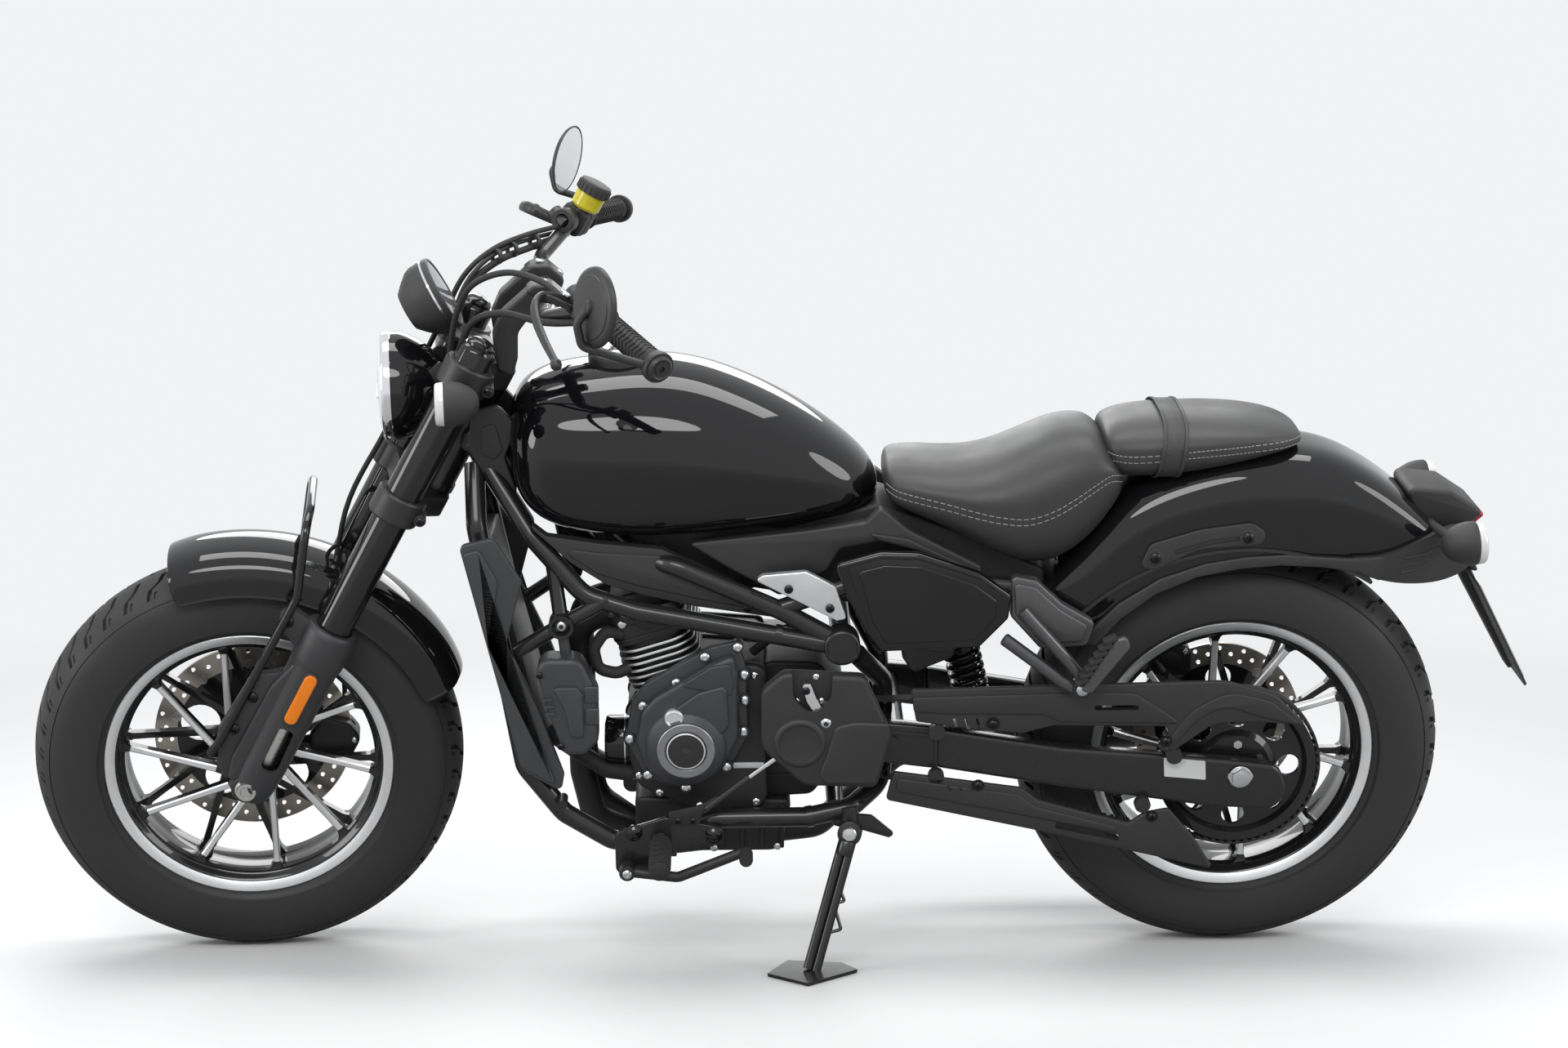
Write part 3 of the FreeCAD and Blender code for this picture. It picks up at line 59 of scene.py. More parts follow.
def nothing_selected():
    if bpy.context.active_object and bpy.context.active_object.mode != "OBJECT":
        bpy.ops.object.mode_set(mode="OBJECT")
    bpy.ops.object.select_all(action="DESELECT")


FLOOR_LONG, FLOOR_DEEP, WALL_HIGH = 30, 28, 7
PALE = (0.88, 0.89, 0.9, 1)
nothing_selected()
bpy.ops.mesh.primitive_plane_add(size=1, location=(0, 0, -0.0005))
floor = bpy.context.active_object
floor.name = "studio_floor"
floor.scale = (FLOOR_LONG, FLOOR_DEEP, 1)
bpy.ops.object.transform_apply(location=True, rotation=True, scale=True)
bpy.ops.object.mode_set(mode="EDIT")
bpy.ops.mesh.select_mode(type="EDGE")
bpy.ops.mesh.select_all(action="DESELECT")
sheet = bmesh.from_edit_mesh(floor.data)
for edge in sheet.edges:
    edge.select = all(vertex.co.y < 0.1 - FLOOR_DEEP / 2 for vertex in edge.verts)
bmesh.update_edit_mesh(floor.data)
bpy.ops.mesh.extrude_region_move(TRANSFORM_OT_translate={"value": (0, 0, WALL_HIGH)})
bpy.ops.object.mode_set(mode="OBJECT")
bend = floor.modifiers.new("cove", "BEVEL")
bend.width = 1.6
bend.segments = 10
bend.limit_method = "ANGLE"
bpy.ops.object.modifier_apply(modifier="cove")
bpy.ops.object.shade_smooth()
backdrop = bpy.data.materials.new("pale_floor")
backdrop.use_nodes = True
tree = backdrop.node_tree
base = tree.nodes["Principled BSDF"]
place = tree.nodes.new("ShaderNodeTexCoord")
cloud = tree.nodes.new("ShaderNodeTexNoise")
cloud.inputs["Scale"].default_value = 3
rough = tree.nodes.new("ShaderNodeMapRange")
rough.inputs["To Min"].default_value = 0.5
rough.inputs["To Max"].default_value = 0.68
tree.links.new(place.outputs["Object"], cloud.inputs["Vector"])
tree.links.new(cloud.outputs["Fac"], rough.inputs["Value"])
tree.links.new(rough.outputs["Result"], base.inputs["Roughness"])
glow = tree.nodes.new("ShaderNodeEmission")
glow.inputs["Color"].default_value = PALE
glow.inputs["Strength"].default_value = 1
shown = shown_directly(tree)
away = tree.nodes.new("ShaderNodeVectorMath")
away.operation = "LENGTH"
fade = tree.nodes.new("ShaderNodeMapRange")
fade.interpolation_type = "SMOOTHSTEP"
fade.inputs["From Min"].default_value = 1.6
fade.inputs["From Max"].default_value = 4.4
seen = tree.nodes.new("ShaderNodeMath")
seen.operation = "MULTIPLY"
blend = tree.nodes.new("ShaderNodeMixShader")
tree.links.new(place.outputs["Object"], away.inputs[0])
tree.links.new(away.outputs["Value"], fade.inputs["Value"])
floor_grey = tree.nodes.new("ShaderNodeMapRange")
floor_grey.inputs["To Min"].default_value = 0.34
floor_grey.inputs["To Max"].default_value = 0.82
tree.links.new(tree.nodes["ray"].outputs["Is Camera Ray"], floor_grey.inputs["Value"])
tree.links.new(floor_grey.outputs["Result"], base.inputs["Base Color"])
tree.links.new(fade.outputs["Result"], seen.inputs[0])
tree.links.new(shown, seen.inputs[1])
tree.links.new(seen.outputs["Value"], blend.inputs["Fac"])
tree.links.new(base.outputs["BSDF"], blend.inputs[1])
tree.links.new(glow.outputs["Emission"], blend.inputs[2])
tree.links.new(blend.outputs["Shader"], tree.nodes["Material Output"].inputs["Surface"])
floor.data.materials.append(backdrop)

world = bpy.data.worlds.new("studio")
bpy.context.scene.world = world
world.use_nodes = True
tree = world.node_tree
sky = tree.nodes["Background"]
sky.inputs["Color"].default_value = (0.9, 0.92, 0.95, 1)
sky.inputs["Strength"].default_value = 0.42
pale = tree.nodes.new("ShaderNodeBackground")
pale.inputs["Color"].default_value = PALE
pale.inputs["Strength"].default_value = 1
blend = tree.nodes.new("ShaderNodeMixShader")
tree.links.new(shown_directly(tree), blend.inputs["Fac"])
tree.links.new(sky.outputs["Background"], blend.inputs[1])
tree.links.new(pale.outputs["Background"], blend.inputs[2])
tree.links.new(blend.outputs["Shader"], tree.nodes["World Output"].inputs["Surface"])

# columns: name, outline, place, aimed at, width, height, watts
SOFT_LAMPS = [
    ("overhead", "RECTANGLE", (0.0, -0.1, 3.3), (0.0, 0.0, 0.5), 3.6, 1.0, 62),
    ("left_side", "ELLIPSE", (0.6, 3.6, 2.9), (0.0, 0.0, 0.5), 3.6, 1.3, 80),
    ("nose", "ELLIPSE", (3.6, 1.2, 1.6), (0.3, 0.0, 0.7), 1.2, 2.2, 40),
    ("tail", "ELLIPSE", (-3.4, 1.4, 1.7), (-0.3, 0.0, 0.7), 1.2, 2.2, 34),
    ("far_side", "ELLIPSE", (0.2, -3.4, 2.6), (0.0, 0.0, 0.6), 3.8, 1.4, 60),
]
for name, outline, spot, aim, width, height, watts in SOFT_LAMPS:
    bpy.ops.object.light_add(type="AREA", location=spot)
    lamp = bpy.context.active_object
    lamp.name = "lamp_" + name
    lamp.data.shape = outline
    lamp.data.size = width
    lamp.data.size_y = height
    lamp.data.energy = watts
    lamp.rotation_euler = (Vector(aim) - Vector(spot)).to_track_quat("-Z", "Y").to_euler()

bpy.ops.object.camera_add()
camera = bpy.context.active_object
camera.name = "left_side_view"
look = Vector((-0.017694, -0.995187, -0.096379))
level = Vector((-0.999827, 0.018165, -0.004014))
rise = level.cross(look)
camera.matrix_world = Matrix.Translation((0.064463, 3.943300, 1.050165)) @ Matrix(
    (level, rise, -look)).transposed().to_4x4()
camera.data.lens = 62.51
camera.data.sensor_width = 36.0
bpy.context.scene.camera = camera
bpy.context.scene.view_settings.view_transform = "Standard"


# ---------------------------------------------------------------- tyres
# Vulcanised rubber over a carcass: smooth sidewalls with fine moulding lines and a tread of stepped
# grooves cut across the crown. One pitch of tread is modelled and repeated round the wheel.
# Stances: the machine leans to the left on its stand, and its steering is turned a little to the left
# about an axis that is raked back. Pieces are drawn upright in millimetres and then take a stance.
MIDDLE_X, MIDDLE_Y = 0.060, -0.239
LEAN_ANGLE, NOSE_DOWN = math.radians(-13.0), math.radians(0.0723425)
RAKE, STEERED_BY = math.radians(28.5), math.radians(6.5)
LEAN = (Matrix.Translation((MIDDLE_X, MIDDLE_Y, 0.0010322)) @ Matrix.Rotation(NOSE_DOWN, 4, "Y")
        @ Matrix.Rotation(LEAN_ANGLE, 4, "X"))
STEERED = (LEAN @ Matrix.Translation((0.8525, 0, 0)) @ Matrix.Rotation(-RAKE, 4, "Y")
           @ Matrix.Rotation(STEERED_BY, 4, "Z"))
FRONT_AXLE = STEERED @ Matrix.Translation((0.0560209, 0, 0.3337089)) @ Matrix.Rotation(RAKE, 4, "Y")
REAR_AXLE = LEAN @ Matrix.Translation((-0.7425, 0, 0.322))


def finish(name, colour, rough, metal=0.0, coat=0.0, grain=0.0, grain_scale=900.0, cloud=0.12,
           cloud_scale=14.0):
    """Node material: cloudy colour and roughness, with a fine grain in the normal.

    Under clear lacquer only the lacquer shines.
    """
    material = bpy.data.materials.new(name)
    material.use_nodes = True
    tree = material.node_tree
    shader = tree.nodes["Principled BSDF"]
    shader.inputs["Metallic"].default_value = metal
    shader.inputs["Coat Weight"].default_value = coat
    shader.inputs["Coat Roughness"].default_value = 0.04
    shader.inputs["Specular IOR Level"].default_value = 0.5 * (1 - coat)
    place = tree.nodes.new("ShaderNodeTexCoord")
    cloudy = tree.nodes.new("ShaderNodeTexNoise")
    cloudy.inputs["Scale"].default_value = cloud_scale
    cloudy.inputs["Detail"].default_value = 6
    tone = tree.nodes.new("ShaderNodeMix")
    tone.data_type = "RGBA"
    tone.inputs["A"].default_value = [channel * (1 - cloud) for channel in colour] + [1]
    tone.inputs["B"].default_value = [min(1, channel * (1 + cloud) + 0.002) for channel in colour] + [1]
    spread = tree.nodes.new("ShaderNodeMapRange")
    spread.inputs["From Min"].default_value = 0.3
    spread.inputs["From Max"].default_value = 0.7
    spread.inputs["To Min"].default_value = rough * (1 - cloud)
    spread.inputs["To Max"].default_value = min(1, rough * (1 + cloud))
    tree.links.new(place.outputs["Object"], cloudy.inputs["Vector"])
    tree.links.new(cloudy.outputs["Fac"], tone.inputs["Factor"])
    tree.links.new(cloudy.outputs["Fac"], spread.inputs["Value"])
    tree.links.new(tone.outputs["Result"], shader.inputs["Base Color"])
    tree.links.new(spread.outputs["Result"], shader.inputs["Roughness"])
    if grain:
        fine = tree.nodes.new("ShaderNodeTexNoise")
        fine.inputs["Scale"].default_value = grain_scale
        fine.inputs["Detail"].default_value = 3
        relief = tree.nodes.new("ShaderNodeBump")
        relief.inputs["Strength"].default_value = grain
        relief.inputs["Distance"].default_value = 0.0006
        tree.links.new(place.outputs["Object"], fine.inputs["Vector"])
        tree.links.new(fine.outputs["Fac"], relief.inputs["Height"])
        tree.links.new(relief.outputs["Normal"], shader.inputs["Normal"])
    return material


def choose(piece):
    nothing_selected()
    piece.select_set(True)
    bpy.context.view_layer.objects.active = piece


def lathe(name, rows, steps):
    """Ring turned about the local Y axis; rows: place along it and radius, in millimetres, a closed loop."""
    nothing_selected()
    bpy.ops.mesh.primitive_circle_add(vertices=len(rows), radius=1)
    ring = bpy.context.active_object
    ring.name = name
    for point, (across, radius) in zip(ring.data.vertices, rows):
        point.co = (0, across, radius)
    bpy.ops.object.mode_set(mode="EDIT")
    bpy.ops.mesh.select_all(action="SELECT")
    bpy.ops.mesh.spin(steps=steps, angle=2 * math.pi, center=(0, 0, 0), axis=(0, 1, 0))
    bpy.ops.mesh.select_all(action="SELECT")
    bpy.ops.mesh.remove_doubles(threshold=0.002)
    bpy.ops.mesh.normals_make_consistent(inside=False)
    bpy.ops.object.mode_set(mode="OBJECT")
    return ring


def paint(piece, *materials):
    piece.data.materials.clear()
    for material in materials:
        piece.data.materials.append(material)
    return piece


def joined(name, shapes):
    """Several shapes made one piece."""
    nothing_selected()
    for shape in shapes:
        shape.select_set(True)
    bpy.context.view_layer.objects.active = shapes[0]
    if len(shapes) > 1:
        bpy.ops.object.join()
    piece = bpy.context.active_object
    piece.name = name
    return piece


def ring_of(piece, count):
    """The piece copied round the local Y axis and joined."""
    made = [piece]
    for index in range(1, count):
        twin = piece.copy()
        twin.data = piece.data.copy()
        bpy.context.collection.objects.link(twin)
        twin.matrix_world = Matrix.Rotation(math.radians(360.0 / count * index), 4, "Y") @ piece.matrix_world
        made.append(twin)
    return joined(piece.name, made)


def settle(piece, stance, body, replaced, sharp=35):
    """Puts a piece drawn in millimetres in its stance, at full size, and says what it moves with."""
    choose(piece)
    piece.matrix_world = stance @ Matrix.Scale(0.001, 4) @ piece.matrix_world
    bpy.ops.object.transform_apply(location=True, rotation=True, scale=True)
    bpy.ops.object.shade_smooth_by_angle(angle=math.radians(sharp))
    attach(piece, body)
    if replaced:
        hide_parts(*replaced)
    return piece


tyre_rubber = finish("tyre_rubber", (0.022, 0.022, 0.023), 0.66, grain=0.35, grain_scale=600, cloud=0.25,
                     cloud_scale=7)


def tyre(name, radius, width, crown, rim_half, pitches, stance, body):
    """Tyre ring with a stepped groove pressed in at each pitch of its tread."""
    half = width / 2
    shoulder = math.asin(0.8 * half / crown)
    rows = []
    for step in range(11):
        angle = shoulder * step / 10
        rows.append((crown * math.sin(angle), radius - crown * (1 - math.cos(angle))))
    edge = rows[-1]
    bulge = (214.5 + edge[1]) / 2
    rows += [(0.87 * half, edge[1] - 6), (0.93 * half, bulge + 30), (0.975 * half, bulge + 17),
             (half, bulge), (0.985 * half, bulge - 17), (0.94 * half, bulge - 32), (rim_half + 5, 222),
             (rim_half + 2, 216.3), (rim_half - 2, 214.9), (rim_half - 9.3, 203.4)]
    section = rows + [(-across, height) for across, height in reversed(rows[1:])]
    # shares of one pitch of tread at which the section is drawn
    columns = (0.0, 0.18, 0.3, 0.385, 0.41, 0.59, 0.635, 0.8)
    piece = lathe(name, section, len(columns) * pitches)
    mesh = piece.data
    pitch = 360.0 / pitches
    for point in mesh.vertices:
        far = math.hypot(point.co.x, point.co.z)
        step = round(math.degrees(math.atan2(point.co.x, point.co.z)) % 360 / pitch * len(columns))
        turn = math.radians(pitch * (step // len(columns) + columns[step % len(columns)]))
        point.co = (far * math.sin(turn), point.co.y, far * math.cos(turn))
    for side_low, side_high, low, high, depth in ((3, 0.76 * half, 0.42, 0.58, 6),
                                                  (0.6 * half, 0.74 * half, 0.19, 0.29, 2.5)):
        bpy.ops.object.mode_set(mode="EDIT")
        bpy.ops.mesh.select_mode(type="FACE")
        bpy.ops.mesh.select_all(action="DESELECT")
        form = bmesh.from_edit_mesh(mesh)
        for face in form.faces:
            middle = face.calc_center_median()
            share = math.degrees(math.atan2(middle.x, middle.z)) % 360 / pitch % 1
            face.select = (low < share < high and side_low < abs(middle.y) < side_high
                           and math.hypot(middle.x, middle.z) > radius - 40)
        bmesh.update_edit_mesh(mesh)
        bpy.ops.mesh.extrude_region_move()
        form = bmesh.from_edit_mesh(mesh)
        for point in form.verts:
            if point.select:
                far = math.hypot(point.co.x, point.co.z)
                point.co.x *= (far - depth) / far
                point.co.z *= (far - depth) / far
        bmesh.update_edit_mesh(mesh)
        bpy.ops.object.mode_set(mode="OBJECT")
    for point in mesh.vertices:
        across = abs(point.co.y) / half
        far = math.hypot(point.co.x, point.co.z)
        step_back = 10.5 * min(across, 0.34) / 0.34
        step_back += 17.0 * max(0, min(across - 0.4, 0.08)) / 0.08
        step_back += 9.0 * max(0, min(across - 0.5, 0.3)) / 0.3
        if point.co.y < 0:
            step_back += 0.5 * pitch * radius * math.pi / 180
        fade = max(0, min(1, (far - (radius - 50)) / 12))
        turn = math.atan2(point.co.x, point.co.z) + step_back / radius * fade
        point.co = (far * math.sin(turn), point.co.y, far * math.cos(turn))
    bands = []
    for across, height in ((0.86 * half, edge[1] - 4), (0.975 * half, bulge - 12), (0.9 * half, 228)):
        for side in (1, -1):
            bands.append(lathe(name + "_band", [
                (side * (across - 1.5), height + 1.2), (side * (across + 0.9), height),
                (side * (across - 1.5), height - 1.2)
            ], 96))
    piece = paint(joined(name, [piece] + bands), tyre_rubber)
    return settle(piece, stance, body, (name,), 40)


tyre("front_tyre", 320, 130, 72, 51.5, 48, FRONT_AXLE, "front_wheel").name = "front_tyre_tread"
tyre("rear_tyre", 322, 150, 85, 58.5, 44, REAR_AXLE, "rear_wheel").name = "rear_tyre_tread"

# ---------------------------------------------------------------- wheels
# Cast aluminium painted gloss black: a flanged barrel with a bright machined cone inside each flange,
# twenty straight spokes in two crossed planes and a bored hub. The left plane's edges are machined bright.
moulded_rubber = finish("moulded_rubber", (0.014, 0.014, 0.014), 0.7, grain=0.4, grain_scale=700)
machined = finish("machined_aluminium", (0.88, 0.89, 0.9), 0.34, metal=0.85, grain=0.12, grain_scale=2200)
wheel_black = finish("gloss_black_wheel_paint", (0.012, 0.012, 0.013), 0.28, coat=0.7, grain=0.08,
                     grain_scale=900)


def skin(name, rings, capped=True, closed=True):
    """Surface through rings of points in millimetres, drawn on a grid; its ends are filled when capped."""
    across = len(rings[0]) + (1 if closed else 0)
    nothing_selected()
    bpy.ops.mesh.primitive_grid_add(x_subdivisions=across - 1, y_subdivisions=len(rings) - 1, size=2)
    piece = bpy.context.active_object
    piece.name = name
    for index, point in enumerate(piece.data.vertices):
        ring = rings[index // across]
        point.co = ring[(index % across) % len(ring)]
    bpy.ops.object.mode_set(mode="EDIT")
    bpy.ops.mesh.select_all(action="SELECT")
    bpy.ops.mesh.remove_doubles(threshold=0.001)
    if capped:
        bpy.ops.mesh.fill_holes(sides=0)
    bpy.ops.mesh.select_all(action="SELECT")
    bpy.ops.mesh.normals_make_consistent(inside=False)
    bpy.ops.object.mode_set(mode="OBJECT")
    return piece


def recolour(piece, slot_number, wanted):
    """Gives a material slot to the faces for which wanted(middle, normal) holds."""
    for face in piece.data.polygons:
        if wanted(face.center, face.normal):
            face.material_index = slot_number
    return piece


def wheel(name, half, hub_half, spoke_out, valve_turn, stance, body):
    lip, seat, well = 214.5, 203.0, 186.0
    rows = [(half - 3, lip), (half - 0.8, lip - 0.4), (half, lip - 1.6), (half - 1.2, seat + 3),
            (half - 5, seat - 4), (half - 8, seat - 8), (half - 13, well + 6), (half - 15, well + 3.5),
            (half - 21, well + 3), (half - 24, well), (8, well), (0, well + 1.5)]
    rows += [(-across, height) for across, height in reversed(rows[:-1])]
    rows += [(9 - half, seat), (half - 9, seat)]
    barrel = paint(lathe(name, rows, 120), wheel_black, machined)
    recolour(barrel, 1, lambda middle, normal: math.hypot(middle.x, middle.z) > seat - 4
             and half - 5 < abs(middle.y) < half - 0.4 and normal.y * middle.y > 0)
    hub_rows = [(hub_half, 10.2), (hub_half, 30), (hub_half - 3, 33), (26, 34), (18, 27), (-18, 27),
                (-26, 34), (3 - hub_half, 33), (-hub_half, 30), (-hub_half, 10.2)]
    hub = paint(lathe(name + "_hub", hub_rows, 48), wheel_black)
    spokes = []
    for side, edge_finish in ((1, machined), (-1, wheel_black)):
        rings = []
        for height, wide, deep, out in (
            (20, 8, 9, 24), (46, 5.6, 8, 23), (150, 4.8, 7, spoke_out), (176, 5.2, 7.5, spoke_out),
            (183, 8, 9, spoke_out), (188, 13, 11, spoke_out)
        ):
            near, far = side * (out + deep), side * (out - deep)
            rings.append([Vector((side * 28 + a, b, height)) for a, b in (
                (-wide, far), (wide, far), (wide, near - side * 2), (wide - 2, near), (2 - wide, near),
                (-wide, near - side * 2))])
        spoke = paint(skin(name + "_spoke", rings), wheel_black, edge_finish)
        recolour(spoke, 1, lambda middle, normal: 44 < middle.z < 178 and abs(normal.y) > 0.5
                 and normal.y * side > 0)
        if side < 0:
            spoke.matrix_world = Matrix.Rotation(math.radians(18), 4, "Y")
        spokes.append(ring_of(spoke, 10))
    stem = paint(lathe(name + "_valve", [(0, 5), (5, 5), (7, 3), (22, 2.6), (22, 4), (34, 4), (36, 2.5),
                                         (36, 0.1), (0, 0.1)], 16), moulded_rubber)
    stem.matrix_world = (Matrix.Rotation(math.radians(valve_turn), 4, "Y")
                         @ Matrix.Translation((0, 4, well + 2))
                         @ Matrix.Rotation(math.radians(-90), 4, "X")
                         @ Matrix.Rotation(math.radians(12), 4, "X"))
    piece = joined(name + "_cast", [barrel, hub] + spokes + [stem])
    return settle(piece, stance, body, (name,), 32)


wheel("front_rim", 51.5, 46, 22, 156, FRONT_AXLE, "front_wheel")
wheel("rear_rim", 58.5, 56, 28, 40, REAR_AXLE, "rear_wheel")


# ---------------------------------------------------------------- brake discs
# Ground stainless rings with two rows of drilled holes, riveted to black carriers on the right
# of each hub.
bright_steel = finish("ground_steel", (0.6, 0.59, 0.57), 0.28, metal=1.0, grain=0.15, grain_scale=1800)
disc_steel = finish("ground_disc_steel", (0.42, 0.39, 0.35), 0.3, metal=1.0, grain=0.2, grain_scale=1600)


def drill(piece, makers):
    """Cuts the shapes out of the piece."""
    tool = joined("tool", makers)
    choose(piece)
    cut = piece.modifiers.new("cut", "BOOLEAN")
    cut.operation = "DIFFERENCE"
    cut.object = tool
    cut.solver = "EXACT"
    bpy.ops.object.modifier_apply(modifier="cut")
    nothing_selected()
    tool.select_set(True)
    bpy.ops.object.delete()
    return piece


def cylinder(name, start, end, radius, steps=24, end_radius=None):
    """Round bar, or cone, between two points in millimetres."""
    start, end = Vector(start), Vector(end)
    nothing_selected()
    bpy.ops.mesh.primitive_cone_add(vertices=steps, radius1=radius, depth=(end - start).length,
                                    radius2=radius if end_radius is None else end_radius)
    piece = bpy.context.active_object
    piece.name = name
    piece.matrix_world = (Matrix.Translation((start + end) / 2)
                          @ (end - start).to_track_quat("Z", "Y").to_matrix().to_4x4())
    return piece


def brake_disc(name, radius, offset, hub_half, stance, body):
    inner = radius - 34
    ring = lathe(name, [(-offset - 2.5, radius - 0.4), (-offset + 2.5, radius - 0.4), (-offset + 2.5, inner),
                        (-offset - 2.5, inner)], 120)
    holes = []
    for reach, shift in ((radius - 8, 0), (radius - 17, 9), (radius - 26, 0)):
        hole = cylinder("hole", (0, -offset - 8, reach), (0, 8 - offset, reach), 3.6, 10)
        holes.append(ring_of(hole, 20))
        holes[-1].matrix_world = Matrix.Rotation(math.radians(shift), 4, "Y") @ holes[-1].matrix_world
    paint(drill(ring, holes), disc_steel)
    carrier_rows = [(-offset - 2, inner + 4), (-offset + 2, inner + 4), (-offset + 2, 52), (-hub_half, 34),
                    (-hub_half, 12), (-offset - 2, 12)]
    carrier = lathe(name + "_carrier", carrier_rows, 60)
    middle = (inner + 4 + 46) / 2
    windows = ring_of(cylinder("window", (0, -offset - 12, middle), (0, 12 - offset, middle),
                               (inner - 52) / 2 - 2, 20), 5)
    paint(drill(carrier, [windows]), wheel_black)
    rivets = ring_of(cylinder("rivet", (0, -offset - 5, inner + 4), (0, 4 - offset, inner + 4), 7, 16), 10)
    paint(rivets, bright_steel)
    bolts = ring_of(paint(cylinder("bolt", (0, -offset - 7, 40), (0, -offset, 40), 6.5, 6), bright_steel), 5)
    piece = joined(name + "_drilled", [ring, carrier, rivets, bolts])
    return settle(piece, stance, body, (name,), 30)


brake_disc("front_disc", 150, 58, 46, FRONT_AXLE, "front_wheel")
brake_disc("rear_disc", 130, 78, 56, REAR_AXLE, "rear_wheel")


# ---------------------------------------------------------------- rear pulley
# Belt wheel of black alloy with a raised band for the belt and a ring of round windows, held to the
# left of the hub by five steel bolts.
BELT_LOW, BELT_HIGH = 84.0, 104.0
pulley = lathe("pulley", [
    (BELT_HIGH, 119.6), (BELT_LOW, 119.6), (BELT_LOW, 106), (BELT_LOW + 6, 100), (BELT_LOW + 6, 56),
    (62, 48), (56, 40), (56, 12), (BELT_HIGH - 2, 12), (BELT_HIGH - 2, 50), (BELT_HIGH - 8, 58),
    (BELT_HIGH - 8, 100), (BELT_HIGH, 106)
], 96)
windows = ring_of(cylinder("window", (0, 70, 79), (0, 112, 79), 17, 28), 8)
paint(drill(pulley, [windows]), wheel_black)
pulley_bolts = ring_of(paint(cylinder("bolt", (0, BELT_HIGH - 3, 38), (0, BELT_HIGH + 4, 38), 7, 6),
                             bright_steel), 5)
settle(joined("pulley_windowed", [pulley, pulley_bolts]), REAR_AXLE, "rear_wheel", ("rear_pulley",))

# ---------------------------------------------------------------- front fork
# Upper tubes and lower covers of painted alloy. Each cover has a collar with a screwed ear, a flange
# plate in front, an orange reflector on its outer face and a window on the bright inner rod.
ALONG = Matrix.Rotation(math.radians(90), 4, "X")
LEG_X, LEG_Y = 49.0, 105.0
FRONT_HUB = Matrix.Translation((56.02, 0, 333.71))
satin_coat = finish("satin_black_powder_coat", (0.018, 0.018, 0.019), 0.42, grain=0.25, grain_scale=1500)
fork_gloss = finish("fork_tube_enamel", (0.008, 0.008, 0.009), 0.14, coat=1.0, cloud=0.05)
charcoal = finish("matte_charcoal_coat", (0.03, 0.03, 0.032), 0.46, grain=0.3, grain_scale=1400)
dark_screw = finish("blackened_screw_steel", (0.03, 0.03, 0.032), 0.3, metal=0.9)
reflector_orange = finish("orange_reflector", (0.9, 0.22, 0.0), 0.22, coat=0.8, grain=1.0, grain_scale=420)


def facing(way):
    """Turns the local Y axis towards a direction."""
    return Vector(way).to_track_quat("Y", "Z").to_matrix().to_4x4()


def standing(x, y):
    """Stands what is drawn along Y upright at a place."""
    return Matrix.Translation((x, y, 0)) @ ALONG


def rounded(rows):
    """Outline with each corner (x, z, radius) turned into an arc."""
    points = []
    count = len(rows)
    for index, row in enumerate(rows):
        here = Vector(row[:2])
        radius = row[2] if len(row) > 2 else 0
        if not radius:
            points.append(here)
            continue
        before = Vector(rows[index - 1][:2]) - here
        after = Vector(rows[(index + 1) % count][:2]) - here
        angle = before.angle(after)
        reach = min(radius / math.tan(angle / 2), 0.48 * before.length, 0.48 * after.length)
        radius = reach * math.tan(angle / 2)
        start = here + before.normalized() * reach
        end = here + after.normalized() * reach
        middle = (here
                  + (before.normalized() + after.normalized()).normalized() * (radius / math.sin(angle / 2)))
        sweep = math.pi - angle
        steps = max(2, min(12, round(math.degrees(sweep) / 9)))
        turn = (start - middle).angle_signed(end - middle)
        for step in range(steps + 1):
            spin = -turn * step / steps
            spoke = start - middle
            points.append(middle + Vector((spoke.x * math.cos(spin) - spoke.y * math.sin(spin),
                                           spoke.x * math.sin(spin) + spoke.y * math.cos(spin))))
    return points


def plate(name, rows, low, high, edge=1.5, segments=2):
    """Slab with a rounded outline in the XZ plane between two places across, its edges eased."""
    outline = rounded(rows)
    low, high = sorted((low, high))
    nothing_selected()
    bpy.ops.mesh.primitive_circle_add(vertices=len(outline), radius=1, fill_type="NGON")
    piece = bpy.context.active_object
    piece.name = name
    for point, spot in zip(piece.data.vertices, outline):
        point.co = (spot.x, low, spot.y)
    bpy.ops.object.mode_set(mode="EDIT")
    bpy.ops.mesh.select_all(action="SELECT")
    bpy.ops.mesh.extrude_region_move(TRANSFORM_OT_translate={"value": (0, high - low, 0)})
    bpy.ops.mesh.select_all(action="SELECT")
    bpy.ops.mesh.normals_make_consistent(inside=False)
    bpy.ops.object.mode_set(mode="OBJECT")
    if edge:
        ease(piece, edge, segments)
    return piece


def ease(piece, width, segments=2):
    """Rounds the sharp edges."""
    choose(piece)
    bevel = piece.modifiers.new("ease", "BEVEL")
    bevel.width = width
    bevel.segments = segments
    bevel.limit_method = "ANGLE"
    bevel.angle_limit = math.radians(30)
    bpy.ops.object.modifier_apply(modifier="ease")
    return piece


def screw(spot, way, radius, finish_used, socket=True):
    """Round-headed screw with a hexagon socket, standing on a face."""
    rows = [(0, radius), (radius * 0.35, radius), (radius * 0.6, radius * 0.72),
            (radius * 0.66, radius * 0.45)]
    rows += [(radius * 0.25, radius * 0.42), (radius * 0.25, 0.05)] if socket else [(radius * 0.7, 0.05)]
    rows.append((0, 0.05))
    head = paint(lathe("screw", rows, 18), finish_used)
    head.matrix_world = (Matrix.Translation(spot) @ facing(way))
    return head


def mirrored(piece):
    """The piece with its mirror image on the other side."""
    choose(piece)
    bpy.ops.object.transform_apply(location=True, rotation=True, scale=True)
    twin = piece.modifiers.new("twin", "MIRROR")
    twin.use_axis = (False, True, False)
    twin.use_mirror_merge = False
    bpy.ops.object.modifier_apply(modifier="twin")
    return piece


